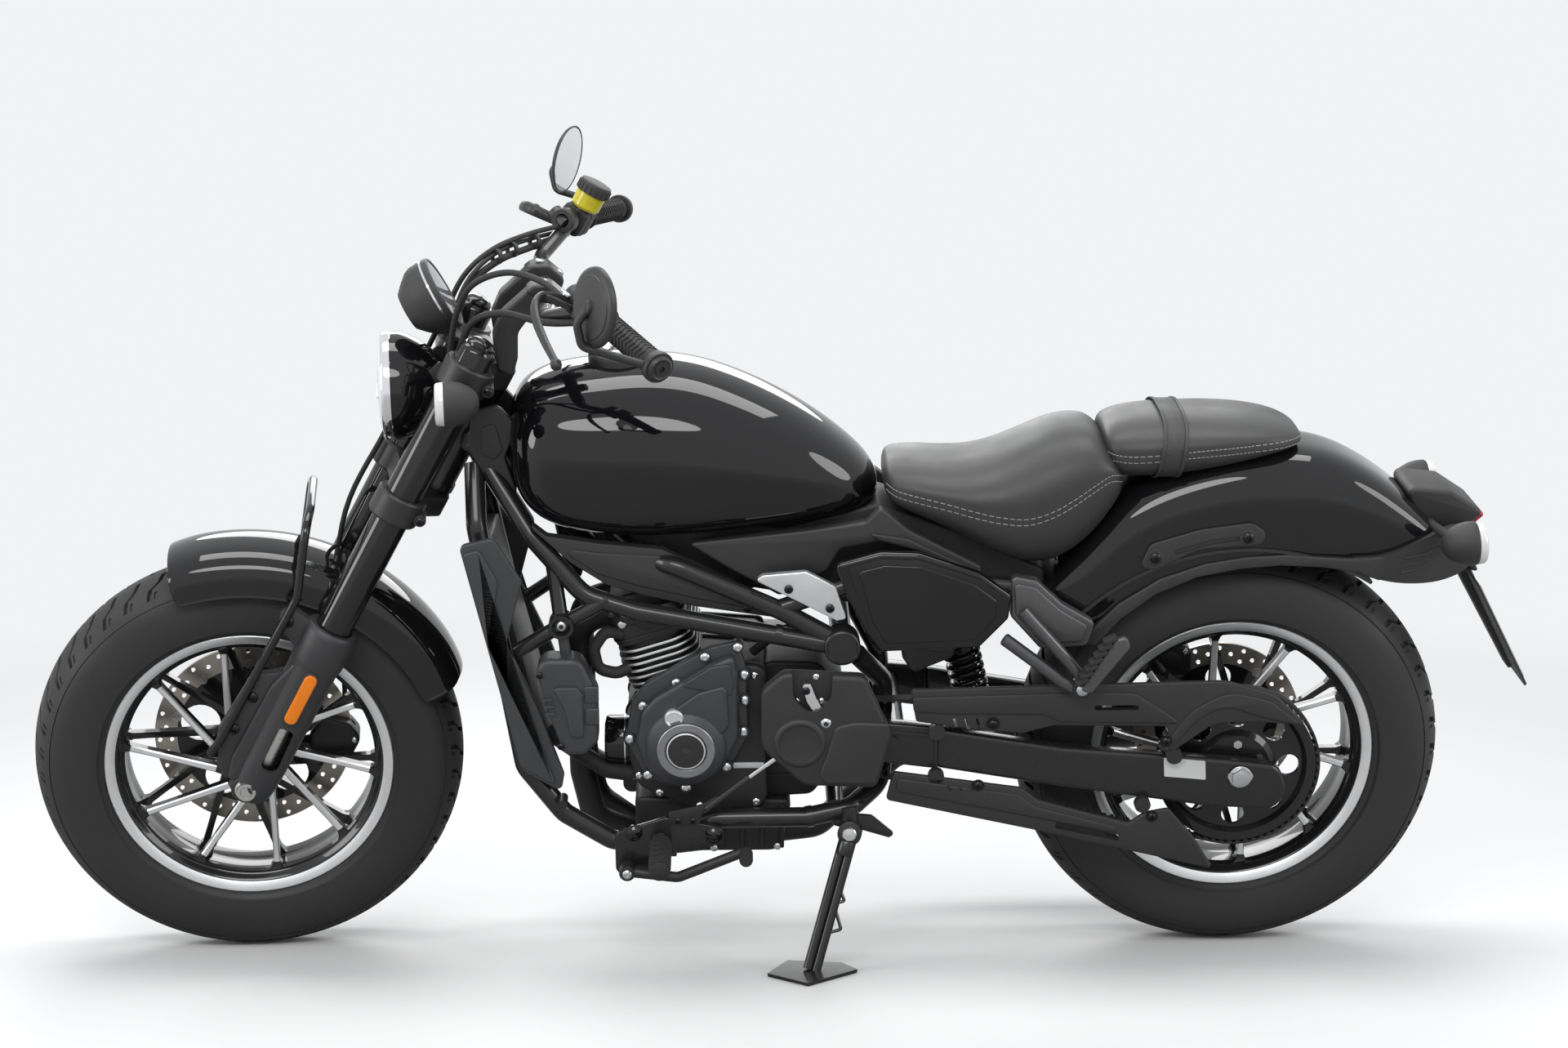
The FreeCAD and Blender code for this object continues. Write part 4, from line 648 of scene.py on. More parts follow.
tube = paint(lathe("fork_tube", [
    (556, 20.4), (556, 27), (1088, 27), (1092, 25), (1095, 22), (1095, 20), (1099, 20), (1103, 17),
    (1106, 11), (1107, 0.1), (700, 0.1), (700, 20)
], 48), fork_gloss)
tube.matrix_world = standing(LEG_X, LEG_Y)
rod = paint(lathe("fork_rod", [(360, 20.3), (640, 20.3), (640, 0.1), (360, 0.1)], 40), bright_steel)
rod.matrix_world = tube.matrix_world.copy()
settle(mirrored(joined("fork_upper_tubes", [tube, rod])), STEERED, "steering", ("fork_tubes",))

cover = lathe("fork_cover", [
    (318, 21), (317, 27), (322, 31), (340, 34), (372, 36), (548, 36.5), (556, 38.5), (561, 39.5), (606, 40),
    (613, 38.5), (616, 35.5), (616, 28.5), (610, 27.4), (560, 27.4), (540, 29), (330, 28), (322, 21)
], 56)
cover.matrix_world = standing(LEG_X, LEG_Y)
window = plate("window", [(40, 378, 9), (66, 378, 9), (70, 452, 9), (44, 452, 9)], LEG_Y + 16, LEG_Y + 60, 0)
window.matrix_world = Matrix.Translation((-11, 0, 0))
paint(drill(cover, [window]), charcoal)
flange = paint(plate("flange", [(58, 346), (92, 332, 12), (114, 352, 16), (132, 398, 14), (124, 500, 8),
                                (98, 517, 8), (70, 540)], LEG_Y - 8, LEG_Y + 14, 3), charcoal)
step_edge = paint(plate("flange_step", [(56, 340), (88, 336, 8), (98, 372, 20), (95, 500, 10), (80, 548, 10),
                                        (56, 560)], LEG_Y - 4, LEG_Y + 23, 6, 3), charcoal)
ear = paint(plate("ear", [
    (56, 616), (88, 615, 14), (118, 622, 13), (131, 600, 14), (112, 582, 12), (86, 566, 14), (56, 560)
], LEG_Y - 9, LEG_Y + 12, 2.5), charcoal)
lug = paint(lathe("axle_lug", [(LEG_Y - 24, 10.2), (LEG_Y - 24, 20), (LEG_Y - 20, 23), (LEG_Y + 21, 23),
                               (LEG_Y + 24, 21), (LEG_Y + 24, 10.2)], 40), charcoal)
lug.matrix_world = FRONT_HUB.copy()
base_pad = paint(plate("reflector_base", [(37, 462, 11), (61, 462, 11), (61, 552, 11), (37, 552, 11)],
                       LEG_Y + 30, LEG_Y + 39.5, 1.5), charcoal)
glow = paint(plate("reflector", [(39.5, 465, 9), (58.5, 465, 9), (58.5, 549, 9), (39.5, 549, 9)], LEG_Y + 36,
                   LEG_Y + 43, 2.5, 3), reflector_orange)
heads = [screw((112, LEG_Y + 14, 412), (0, 1, 0), 7.5, dark_screw),
         screw((109, LEG_Y + 14, 470), (0, 1, 0), 7.5, dark_screw),
         screw((114, LEG_Y + 12, 601), (0, 1, 0), 8.5, dark_screw)]
settle(mirrored(joined("fork_lower_covers", [cover, flange, step_edge, ear, lug, base_pad, glow] + heads)),
       STEERED, "steering", ("fork_covers",))
nut = lathe("axle_nut", [(128, 17), (131, 17), (132, 15), (139, 14), (139, 9), (136, 8), (136, 0.1),
                         (128, 0.1)], 32)
nut_left = paint(ease(cylinder("nut", (0, 129, 0), (0, 137, 0), 15, 6), 0.8), bright_steel)
pin = paint(lathe("axle_pin", [(-136, 9.9), (136, 9.9), (138, 8), (138, 0.1), (-138, 0.1), (-138, 8)], 32),
            bright_steel)
spacers = mirrored(paint(lathe("spacer", [(47, 10.4), (47, 17), (80, 17), (80, 10.4)], 32), bright_steel))
paint(nut, bright_steel)
axle = joined("front_axle_bolt", [nut, nut_left, pin, spacers])
axle.matrix_world = FRONT_HUB.copy()
settle(axle, STEERED, "steering", ("front_axle",))

# ---------------------------------------------------------------- fork clamps
# Cast alloy bridges in satin black with split bosses round the fork legs, closed by socket screws; a
# dark nut in the middle of each sits on the steering stem.
for node_name, low in (("lower_clamp", 812.0), ("upper_clamp", 1030.0)):
    high = low + 34
    web = plate("bridge", [(-26, -30, 16), (-26, 30, 16), (20, 84, 20), (22, 122, 10), (62, 134, 24),
                           (86, 105, 20), (64, 78, 20), (58, 40, 20), (58, -40, 20), (64, -78, 20),
                           (86, -105, 20), (62, -134, 24), (22, -122, 10), (20, -84, 20)], low, high, 3, 3)
    web.matrix_world = ALONG.copy()
    stacked = []
    for side in (1, -1):
        collar = lathe("collar", [(low - 3, 27.3), (low - 3, 35), (low, 37), (high, 37), (high + 3, 35),
                                  (high + 3, 27.3)], 48)
        collar.matrix_world = standing(LEG_X, side * LEG_Y)
        stacked.append(paint(collar, satin_coat))
        stacked.append(paint(ease(cylinder("pinch", (14, side * 132, low + 17), (14, side * 92, low + 17),
                                           9), 1),
                             satin_coat))
        stacked.append(screw((14, side * 132, low + 17), (0, side, 0), 6, dark_screw))
    stem_nut = lathe("stem_nut", [(low - 4, 19), (high + 4, 19), (high + 8, 16), (high + 8, 0.1),
                                  (low - 4, 0.1)], 32)
    stem_nut.matrix_world = ALONG.copy()
    paint(stem_nut, dark_screw)
    clamp = joined(node_name + "_cast", [paint(web, satin_coat), stem_nut] + stacked)
    settle(clamp, STEERED, "steering", (node_name,), 32)

# ---------------------------------------------------------------- front fender and its brace
# Pressed steel blade in gloss black with a rolled lip, held by a black tube hoop from the fork legs.
fender_enamel = finish("fender_enamel", (0.007, 0.007, 0.008), 0.12, coat=1.0, cloud=0.06)
FENDER_SECTION = [(-77, 288), (-76.5, 300), (-74, 318), (-68, 332), (-56, 342), (-38, 348.5), (-18, 351.5),
                  (0, 352.5)]


def fender_rings(section, start, end, steps, tip):
    """Rings of points about the axle; angles run from the steering axis line towards the front."""
    whole = section + [(-across, height) for across, height in reversed(section[:-1])]
    rings = []
    for step in range(steps + 1):
        angle = math.radians(start + (end - start) * step / steps)
        near = min(step, steps - step)
        tuck = tip * (1, 0.45, 0.12)[near] if near < 3 else 0
        rings.append([Vector((56 + (height - tuck * (352 - height) * -0.012) * math.sin(angle),
                              across * (1 - 0.006 * tuck), 333.7 + (height - tuck) * math.cos(angle)))
                      for across, height in whole])
    return rings


def walled(piece, depth):
    """The sheet with a thickness, grown inward."""
    wall = piece.modifiers.new("wall", "SOLIDIFY")
    wall.thickness = depth
    wall.offset = -1
    choose(piece)
    bpy.ops.object.modifier_apply(modifier="wall")
    return piece


def smoothed(piece):
    """The piece with its facets halved and relaxed once."""
    smooth = piece.modifiers.new("smooth", "SUBSURF")
    smooth.levels = smooth.render_levels = 1
    choose(piece)
    bpy.ops.object.modifier_apply(modifier="smooth")
    return piece


blade = skin("front_fender_blade", fender_rings(FENDER_SECTION, -39.5, 44.5, 30, 5), False, False)
choose(blade)
bpy.ops.object.mode_set(mode="EDIT")
bpy.ops.mesh.select_mode(type="EDGE")
bpy.ops.mesh.select_all(action="DESELECT")
bpy.ops.mesh.select_non_manifold()
bpy.ops.mesh.extrude_region_move()
bpy.ops.transform.resize(value=(0.996, 1.028, 0.996), center_override=(56, 0, 333.7))
bpy.ops.object.mode_set(mode="OBJECT")
paint(smoothed(walled(blade, 3.2)), fender_enamel)
tabs = []
for side in (1, -1):
    tabs.append(paint(plate("tab", [(24, 596, 8), (66, 596, 8), (80, 652, 14), (30, 652, 14)], side * 79 - 3,
                            side * 79 + 3),
                      fender_enamel))
    for x, z in ((40, 628), (66, 634)):
        tabs.append(screw((x, side * 82, z), (0, side, 0), 7, dark_screw))
settle(joined("front_fender_painted", [blade] + tabs), STEERED, "steering", ("front_fender",),
       50)


def bar(name, points, radius, bend, sides=20):
    """Round bar along straight runs joined by arcs, in millimetres."""
    path = []
    count = len(points)
    for index, point in enumerate(points):
        here = Vector(point)
        if index in (0, count - 1) or not bend:
            path.append(here)
            continue
        before, after = Vector(points[index - 1]) - here, Vector(points[index + 1]) - here
        angle = before.angle(after)
        reach = min(bend / math.tan(angle / 2), 0.49 * before.length, 0.49 * after.length)
        start, end = here + before.normalized() * reach, here + after.normalized() * reach
        steps = max(2, min(10, round(math.degrees(math.pi - angle) / 9)))
        for step in range(steps + 1):
            share = step / steps
            path.append(start.lerp(here, share).lerp(here.lerp(end, share), share))
    nothing_selected()
    bpy.ops.curve.primitive_nurbs_path_add()
    wire = bpy.context.active_object
    wire.name = name
    wire.data.splines.clear()
    run = wire.data.splines.new("POLY")
    run.points.add(len(path) - 1)
    for knot, spot in zip(run.points, path):
        knot.co = (*spot, 1)
    wire.data.dimensions = "3D"
    wire.data.bevel_depth = radius
    wire.data.bevel_resolution = max(1, sides // 4 - 1)
    wire.data.use_fill_caps = True
    choose(wire)
    bpy.ops.object.convert(target="MESH")
    piece = bpy.context.active_object
    bpy.ops.object.mode_set(mode="EDIT")
    bpy.ops.mesh.select_all(action="SELECT")
    bpy.ops.mesh.remove_doubles(threshold=0.001)
    bpy.ops.mesh.normals_make_consistent(inside=False)
    bpy.ops.object.mode_set(mode="OBJECT")
    return piece


half_hoop = [(128, 122, 362), (124, 128, 385), (118, 118, 640), (150, 100, 737), (152, 60, 752)]
brace = bar("fender_hoop", [(112, 108, 362)] + half_hoop + [(x, -y, z) for x, y, z in reversed(half_hoop)]
            + [(112, -108, 362)], 6.5, 34)
settle(paint(brace, fork_gloss), STEERED, "steering", ("fender_brace",), 60)


# ---------------------------------------------------------------- fuel tank and its lid
# Pressed steel teardrop in deep gloss black, flat beneath where it straddles the frame, with a round
# filler ring and a hinged, keyed lid in front.
chrome = finish("bright_chrome", (0.8, 0.8, 0.82), 0.07, metal=1.0, cloud=0.03)
tank_paint = finish("tank_black_lacquer", (0.004, 0.004, 0.005), 0.07, coat=1.0, cloud=0.04)

# columns: x, underside, height of the widest point, top, half width
TANK = [
    (334, 808, 822, 838, 22), (331, 778, 816, 862, 52), (322, 748, 808, 887, 86), (303, 720, 800, 907, 113),
    (268, 698, 793, 922, 133), (210, 686, 787, 932, 144), (135, 682, 781, 938, 148),
    (60, 685, 776, 930, 145), (-15, 692, 770, 904, 135), (-85, 699, 762, 868, 117),
    (-140, 706, 755, 830, 95), (-178, 714, 749, 797, 71), (-197, 722, 745, 773, 45),
    (-205, 733, 742, 754, 18),
]


def eased(table, steps):
    """Rows put between the rows of a table, along a smooth curve through each column."""
    made = []
    last = len(table) - 1
    for index in range(last):
        four = [table[max(0, index - 1)], table[index], table[index + 1], table[min(last, index + 2)]]
        for step in range(steps):
            t = step / steps
            made.append([0.5 * (2 * b + (c - a) * t + (2 * a - 5 * b + 4 * c - d) * t * t
                                + (3 * b - a - 3 * c + d) * t ** 3) for a, b, c, d in zip(*four)])
    made.append(list(table[last]))
    return made


def swell(turn, power):
    """One side of a rounded square of the given power."""
    return math.copysign(abs(turn) ** (2.0 / power), turn)


def body_rings(table, below, above, points=40):
    """Closed sections: rounded-square halves below and above the widest height of each row."""
    rings = []
    for x, low, wide, top, half in table:
        ring = []
        for step in range(points):
            angle = 2 * math.pi * (step + 0.5) / points
            power = above if math.sin(angle) > 0 else below
            reach = top - wide if math.sin(angle) > 0 else wide - low
            ring.append(Vector((x, half * swell(math.cos(angle), power),
                                wide + reach * swell(math.sin(angle), power))))
        rings.append(ring)
    return rings


tank = smoothed(paint(skin("fuel_tank_shell", body_rings(eased(TANK, 3), 3.0, 2.25)), tank_paint))
ring = paint(lathe("filler_ring", [
    (900, 48), (938, 49), (942, 47), (944, 43), (944, 39.5), (940, 39), (940, 0.1), (900, 0.1)
], 64), satin_coat)
ring.matrix_world = standing(168, 0)
hinge = [paint(ease(cylinder("hinge_ear", (212, side * 8, 949.1), (212, side * 13, 949.1), 4.5), 0.6),
               satin_coat)
         for side in (1, -1)]
feet = [paint(plate("hinge_foot", [(209, 940), (215, 940), (215, 950), (209, 950)], side * 8.4, side * 12.6,
                    0.5),
              satin_coat) for side in (1, -1)]
settle(joined("fuel_tank_painted", [tank, ring] + hinge + feet), LEAN, "chassis", ("fuel_tank",),
       50)
lid = lathe("filler_lid", [(944.4, 37.6), (950, 37.6), (952, 35.5), (952.3, 30), (951.4, 29), (951.4, 15),
                           (952.6, 14), (954, 12.5), (954, 0.1), (944.4, 0.1)], 64)
lid.matrix_world = standing(168, 0)
key_flap = plate("key_flap", [(164, -6, 3), (172, -6, 3), (172, 6, 3), (164, 6, 3)], 953.5, 955.2, 0.5)
key_flap.matrix_world = ALONG.copy()
tab = plate("lid_tab", [(200, 945.8), (212, 946), (212, 951.8), (200, 951.4)], -6.8, 6.8, 0.8)
pivot = cylinder("lid_knuckle", (212, -7, 949.1), (212, 7, 949.1), 4.4)
settle(paint(joined("fuel_cap_plated", [lid, key_flap, tab, pivot]), chrome), LEAN, "fuel_cap",
       ("fuel_cap",))

# ---------------------------------------------------------------- side panels
# Moulded plastic skins screwed to the frame: grained ones under the tank and beside the steering head,
# painted pentagons over the electrics, and a bare alloy plate between them. A moulded air box fills
# the room inside them, under the tank and the seat.
grained_plastic = finish("grained_black_plastic", (0.022, 0.022, 0.023), 0.56, grain=0.7, grain_scale=1000)
panel_plastic = finish("panel_plastic", (0.024, 0.024, 0.025), 0.5, grain=0.5, grain_scale=1300)
satin_alloy = finish("satin_alloy_plate", (0.74, 0.75, 0.76), 0.38, metal=0.8, grain=0.25, grain_scale=1500)
cover_gloss = finish("side_cover_lacquer", (0.005, 0.005, 0.006), 0.1, coat=1.0, cloud=0.05)
def sided(name, side):
    return name + ("_left" if side > 0 else "_right")


for side in (1, -1):
    panels = []
    for rows, low, high, edge in (
        ([(300, 716, 6), (277, 697, 8), (200, 685, 40), (112, 676, 10), (20, 630, 20), (-52, 586, 6),
          (-50, 570, 6), (65, 588, 30), (140, 606, 30), (192, 622, 20), (243, 656, 20), (296, 706, 6)], 92,
         112, 3),
        ([(262, 680, 6), (200, 672, 10), (116, 667, 8), (20, 618, 8), (-36, 586, 4), (-34, 580, 4),
          (60, 600, 20), (150, 622, 20), (205, 640, 10)], 100, 115, 2.5),
        ([(75, 684, 4), (-100, 702, 30), (-184, 714, 10), (-206, 736, 6), (-246, 702, 10), (-352, 646, 4),
          (-354, 622, 4), (-262, 668, 40), (-205, 684, 20), (-148, 674, 10), (-128, 640, 12), (-60, 602, 10),
          (20, 648, 10)], 88, 110, 4),
        ([(-184, 700, 6), (-246, 690, 10), (-350, 638, 4), (-352, 626, 4), (-262, 672, 30), (-205, 688, 10)],
         100, 116, 3),
        ([(384, 868, 8), (346, 878, 12), (318, 846, 8), (338, 800, 10), (318, 735, 8), (356, 752, 8),
          (392, 812, 10)],
         44, 58, 3),
        ([(372, 846, 6), (350, 852, 6), (340, 812, 6), (352, 796, 6), (372, 806, 6)], 50, 60.5, 2)):
        panels.append(paint(plate("panel", rows, side * low, side * high, edge, 3), panel_plastic))
    panels.append(screw((-13, side * 112, 585), (0, side, 0), 6, dark_screw))
    settle(joined(sided("frame_panel", side), panels), LEAN, "chassis",
           ("frame_panels",) if side > 0 else (), 38)
    outer = plate("side_cover", [
        (-138, 662, 8), (-205, 680, 20), (-260, 678, 20), (-347, 648, 30), (-395, 613, 10), (-391, 577, 10),
        (-349, 532, 14), (-205, 527, 12), (-184, 556, 10), (-159, 606, 20)
    ], side * 128, side * 147, 6, 4)
    inset = plate("side_cover_field", [
        (-172, 652, 6), (-210, 662, 14), (-262, 660, 16), (-340, 632, 20), (-374, 606, 8), (-372, 582, 8),
        (-342, 546, 12), (-214, 541, 10), (-194, 574, 14)
    ], side * 140, side * 150.5, 2.2, 3)
    rib = plate("side_cover_edge", [
        (-156, 657, 6), (-206, 671, 16), (-260, 669, 18), (-345, 640, 24), (-385, 610, 8), (-382, 580, 8),
        (-346, 539, 12), (-208, 534, 10), (-190, 562, 10)
    ], side * 140, side * 148.6, 1.2, 2)
    settle(paint(joined(sided("side_cover", side), [outer, inset, rib]), cover_gloss), LEAN,
           "chassis", ("side_covers",) if side > 0 else (), 38)
    badge = paint(plate("alloy_plate", [
        (-24, 637, 6), (-34, 645, 8), (-97, 650, 12), (-140, 627, 8), (-156, 577, 4), (-142, 574, 5)
    ], side * 128, side * 141, 2, 3), satin_alloy)
    heads = [screw((x, side * 141, z), (0, side, 0), 6.5, dark_screw) for x, z in ((-72, 624), (-132, 594))]
    settle(joined(sided("alloy_plate", side), [badge] + heads), LEAN, "chassis", ())

air_box = plate("air_box", [
    (226, 704, 10), (60, 700, 20), (-70, 690, 20), (-205, 726, 16), (-318, 684, 16), (-452, 622, 10),
    (-452, 572, 12), (-330, 606, 20), (-196, 566, 14), (40, 606, 20), (196, 648, 14)
], -58, 58, 6, 4)
seams = [plate("air_box_seam", [(x - 4, 640, 0), (x + 4, 640, 0), (x + 4, 676, 0), (x - 4, 676, 0)], -60, 60,
               1.5) for x in (120, 0, -250)]
settle(paint(joined("air_box_moulded", [air_box] + seams), grained_plastic), LEAN, "chassis", (),
       40)

# ---------------------------------------------------------------- seats
# Foam pads under black vinyl: a smooth top and a leather-grained skirt joined by a twin-stitched seam.
# The passenger's pad carries a strap over its front. Both sit on the fender and the frame rails.
vinyl = finish("smooth_black_vinyl", (0.03, 0.03, 0.031), 0.5, grain=0.35, grain_scale=520, cloud=0.15)
skirt_vinyl = finish("grained_black_vinyl", (0.027, 0.027, 0.028), 0.6, grain=1.0, grain_scale=330,
                     cloud=0.2)
thread = finish("grey_thread", (0.3, 0.3, 0.3), 0.75, grain=0.6, grain_scale=2400)


SEAM_FOLD, STITCH_PITCH = 1.6, 7.5


def pad(name, table):
    """Stuffed pad from rows of x, underside, seam height, top and half width, with its seam and stitches."""
    rows = eased(table, 4)
    points = 44
    rings = body_rings(rows, 2.7, 2.6, points)
    seam_steps = (0, points // 2 - 1)
    for ring in rings:
        for index in seam_steps:
            ring[index].y -= math.copysign(SEAM_FOLD, ring[index].y)
    cushion = smoothed(paint(skin(name, rings), vinyl, skirt_vinyl))
    line = [Vector((x, half, wide)) for x, low, wide, top, half in rows]
    for face in cushion.data.polygons:
        nearest = min(line, key=lambda spot: abs(spot.x - face.center.x))
        if face.center.z < nearest.z:
            face.material_index = 1
    stitches = []
    for side in (1, -1):
        for lift, inset in ((4.5, 0.6), (-4.5, 0.6)):
            path = [Vector((spot.x, side * (spot.y - inset - 0.02 * abs(lift) ** 2), spot.z + lift))
                    for spot in line[2:-2]]
            for start, end in zip(path, path[1:]):
                count = max(1, round((end - start).length / STITCH_PITCH))
                for step in range(count):
                    first = start.lerp(end, (step + 0.14) / count)
                    second = start.lerp(end, (step + 0.82) / count)
                    stitches.append(cylinder("stitch", first, second, 0.75, 5))
    sewn = paint(joined(name + "_thread", stitches), thread)
    return joined(name, [cushion, sewn])


SEAT_FRONT = [
    (-214, 744, 756, 768, 58), (-219, 734, 756, 780, 82), (-232, 722, 752, 785, 98),
    (-262, 708, 746, 786, 109), (-300, 690, 738, 784, 116), (-340, 668, 728, 786, 122),
    (-380, 648, 720, 797, 126), (-420, 634, 718, 815, 127), (-458, 634, 730, 832, 125),
    (-490, 650, 748, 838, 120), (-516, 672, 764, 834, 113), (-538, 700, 775, 815, 104),
    (-554, 728, 772, 792, 92), (-560, 744, 766, 778, 70),
]
SEAT_BACK = [
    (-533, 792, 806, 822, 56), (-536, 780, 804, 832, 74), (-546, 768, 802, 840, 88),
    (-570, 764, 802, 847, 99), (-610, 766, 806, 851, 106), (-660, 772, 812, 852, 108),
    (-710, 782, 816, 851, 106), (-755, 793, 819, 847, 99), (-790, 802, 820, 840, 86),
    (-812, 807, 820, 832, 66), (-823, 811, 818, 825, 44),
]
rider_pad = pad("rider_seat_vinyl", SEAT_FRONT)
settle(rider_pad, LEAN, "chassis", ("seat_rider",), 60)
rear_pad = pad("passenger_seat_vinyl", SEAT_BACK)
settle(rear_pad, LEAN, "chassis", ("seat_passenger",), 60)
for name, grow, low_x, high_x, lift in (
    ("seat_strap", 3.2, -604, -634, 0), ("strap_edge", 4.6, -601, -606, 0),
    ("strap_edge", 4.6, -632, -637, 0)
):
    hoops = []
    for x in (low_x, high_x):
        low, wide, top, half = 766, 806, 852, 106
        shape = body_rings([[x, low, wide, top, half]], 2.7, 2.6, 44)[0]
        hoops.append([Vector((spot.x - 0.18 * (spot.z - 766), spot.y + math.copysign(grow, spot.y),
                              wide + (spot.z - wide) * (1 + grow / 50))) for spot in shape])
    band = ease(walled(skin(name, hoops, False), 2.4), 0.8)
    settle(paint(band, skirt_vinyl), LEAN, "chassis", (), 40)

# ---------------------------------------------------------------- rear fender
# Deep pressed steel fender in gloss black, with a matte moulding round the wheel arch and, on each side,
# a slotted plate held by two bolts. It hangs from the castings behind the frame.
AXLE_X, AXLE_Z = -742.5, 322.0


def arch_point(angle, reach, across_at):
    """Point about the rear axle; angles run from straight up towards the rear."""
    return Vector((AXLE_X - reach * math.sin(math.radians(angle)), across_at,
                   AXLE_Z + reach * math.cos(math.radians(angle))))


# columns: x, crown height, lower edge, half width at the crown's shoulder
FENDER = [
    (-452, 600, 590, 96), (-470, 628, 580, 100), (-500, 668, 560, 103), (-530, 706, 560, 105),
    (-560, 738, 584, 106), (-600, 766, 612, 107), (-650, 787, 632, 107), (-710, 803, 645, 107),
    (-770, 808, 652, 106), (-830, 806, 652, 104), (-880, 794, 650, 102), (-925, 772, 646, 99),
    (-965, 745, 643, 96), (-1000, 716, 642, 92), (-1024, 690, 642, 88),
    (-1040, 668, 644, 84),
]
FALL = 0.62
rings = []
for x, crown, low, half in eased(FENDER, 3):
    drop = max(4.0, crown - low)
    ring = []
    for step in range(25):
        angle = math.pi * step / 24
        ring.append(Vector((x, half * swell(math.cos(angle), 3.4),
                            crown - drop * FALL * (1 - abs(math.sin(angle)) ** 0.75))))
    lip = low + 0.19 * drop
    rings.append([Vector((x, half + 1, low)), Vector((x, half + 0.5, lip))] + ring
                 + [Vector((x, -half - 0.5, lip)), Vector((x, -half - 1, low))])
shell = smoothed(walled(skin("rear_fender_shell", rings, False, False), 4))
settle(paint(shell, fender_enamel), LEAN, "chassis", ("rear_fender",), 60)
for side in (1, -1):
    outer = [(-455, 590), (-505, 534), (-556, 586), (-614, 624), (-680, 647), (-740, 657), (-800, 660),
             (-850, 656), (-888, 653), (-924, 655), (-944, 656)]
    inner = [(-944, 616), (-900, 632), (-850, 640), (-790, 643), (-730, 638), (-670, 626), (-610, 600),
             (-560, 562), (-524, 520), (-500, 524), (-462, 566)]
    trim = plate("arch_trim", [(x, z, 8 if index in (1, 10, 11) else 0)
                               for index, (x, z) in enumerate(outer + inner)],
                 side * 98, side * 111, 3, 3)
    lip = skin("arch_lip", [[arch_point(angle, 343, side * 109), arch_point(angle, 348, side * 109.5),
                             arch_point(angle, 348, side * 60), arch_point(angle, 343, side * 60)]
                            for angle in range(-52, 36, 4)])
    flare_rings = []
    for x, out, top, low in eased([
        (-896, 110, 655, 634), (-930, 109.6, 656, 622), (-965, 107, 665, 614), (-1005, 100, 682, 611),
        (-1040, 90, 693, 614), (-1070, 78, 690, 624), (-1088, 68, 674, 641)
    ], 3):
        flare_rings.append([Vector((x, side * out, top)), Vector((x, side * (out + 1.5), (top + low) / 2)),
                            Vector((x, side * (out - 1), low)), Vector((x, side * (out - 14), low + 2)),
                            Vector((x, side * (out - 16), top - 1))])
    flare = skin("arch_flare", flare_rings)
    ribs = [bar("arch_rib", [
        (-972 + 3 * row, side * 106.6, 652 - 11 * row), (-1000 + 3 * row, side * 102.2, 656 - 11 * row),
        (-1034 + 3 * row, side * 93.6, 668 - 11 * row)
    ], 2.2, 30, 12) for row in range(3)]
    settle(paint(joined("fender_arch_trim", [trim, lip, flare] + ribs), panel_plastic), LEAN, "chassis", (),
           40)
    body = plate("luggage_plate", [(-582, 640, 14), (-598, 678, 16), (-670, 700, 60), (-745, 710, 16),
                                   (-768, 694, 16), (-760, 676, 14), (-670, 670, 60), (-610, 640, 16)],
                 side * 106, side * 112.4, 2, 3)
    hollow = plate("slot", [
        (-634, 662, 5), (-634, 670, 5), (-690, 686, 20), (-728, 690, 5), (-728, 683, 5), (-690, 678, 20)
    ], side * 109.4, side * 118, 0)
    drill(body, [hollow])
    bosses = [paint(ease(cylinder("boss", (x, side * 106, z), (x, side * 113, z), 13, 36), 1.2),
                    panel_plastic)
              for x, z in ((-606, 658), (-740, 688))]
    bolts = [screw((x, side * 113, z), (0, side, 0), 8, dark_screw) for x, z in ((-606, 658), (-740, 688))]
    settle(joined(sided("luggage_plate", side), [paint(body, panel_plastic)] + bosses + bolts), LEAN,
           "chassis", ("fender_plates",) if side > 0 else (), 40)

# ---------------------------------------------------------------- tail lamps and plate bracket
# A red lens in a black housing behind the fender, cone-shaped turn signals on stalks with clear lenses,
# and a bracket with a blank number plate and its small lamp.
red_lens = finish("red_lamp_lens", (0.42, 0.006, 0.008), 0.16, coat=0.8, grain=0.8, grain_scale=260)
clear_lens = finish("clear_ribbed_lens", (0.72, 0.72, 0.7), 0.12, coat=1.0, grain=1.0, grain_scale=240,
                    cloud=0.2)
blank_sheet = finish("blank_plate", (0.62, 0.63, 0.62), 0.35, coat=0.3)
housing = paint(plate("tail_housing", [(-996, 702, 10), (-980, 744, 10), (-1048, 737, 8), (-1098, 704, 6),
                                       (-1062, 668, 8)],
                      -53, 53, 7, 4), grained_plastic)
lens = paint(plate("tail_lens", [(-1046, 728, 5), (-1104, 699, 5), (-1068, 666, 6), (-1040, 690, 5)], -46,
                   46, 7, 4), red_lens)
settle(joined("tail_lamp", [housing, lens]), LEAN, "chassis", ("tail_lamps",), 40)


def signal(base, way, stalk_from):
    """Cone-shaped turn signal: body, bright-lens face and stalk."""
    cone = paint(lathe("signal_cone", [(0, 30.6), (-3, 32.2), (-14, 31.8), (-26, 29), (-37, 23.5), (-45, 16),
                                       (-49, 8), (-50, 0.1), (-4, 0.1), (-2, 28)], 48), grained_plastic)
    face = paint(lathe("signal_lens", [(-4, 30.4), (1, 30.8), (9, 30), (11.4, 28), (12.4, 22), (12.8, 0.1),
                                       (-4, 0.1)], 48),
                 clear_lens)
    for shape in (cone, face):
        shape.matrix_world = Matrix.Translation(base) @ facing(way)
    back = Vector(base) - Vector(way).normalized() * 24
    stalk = paint(bar("signal_stalk", [stalk_from, back], 7.5, 0, 16), grained_plastic)
    return [cone, face, stalk]


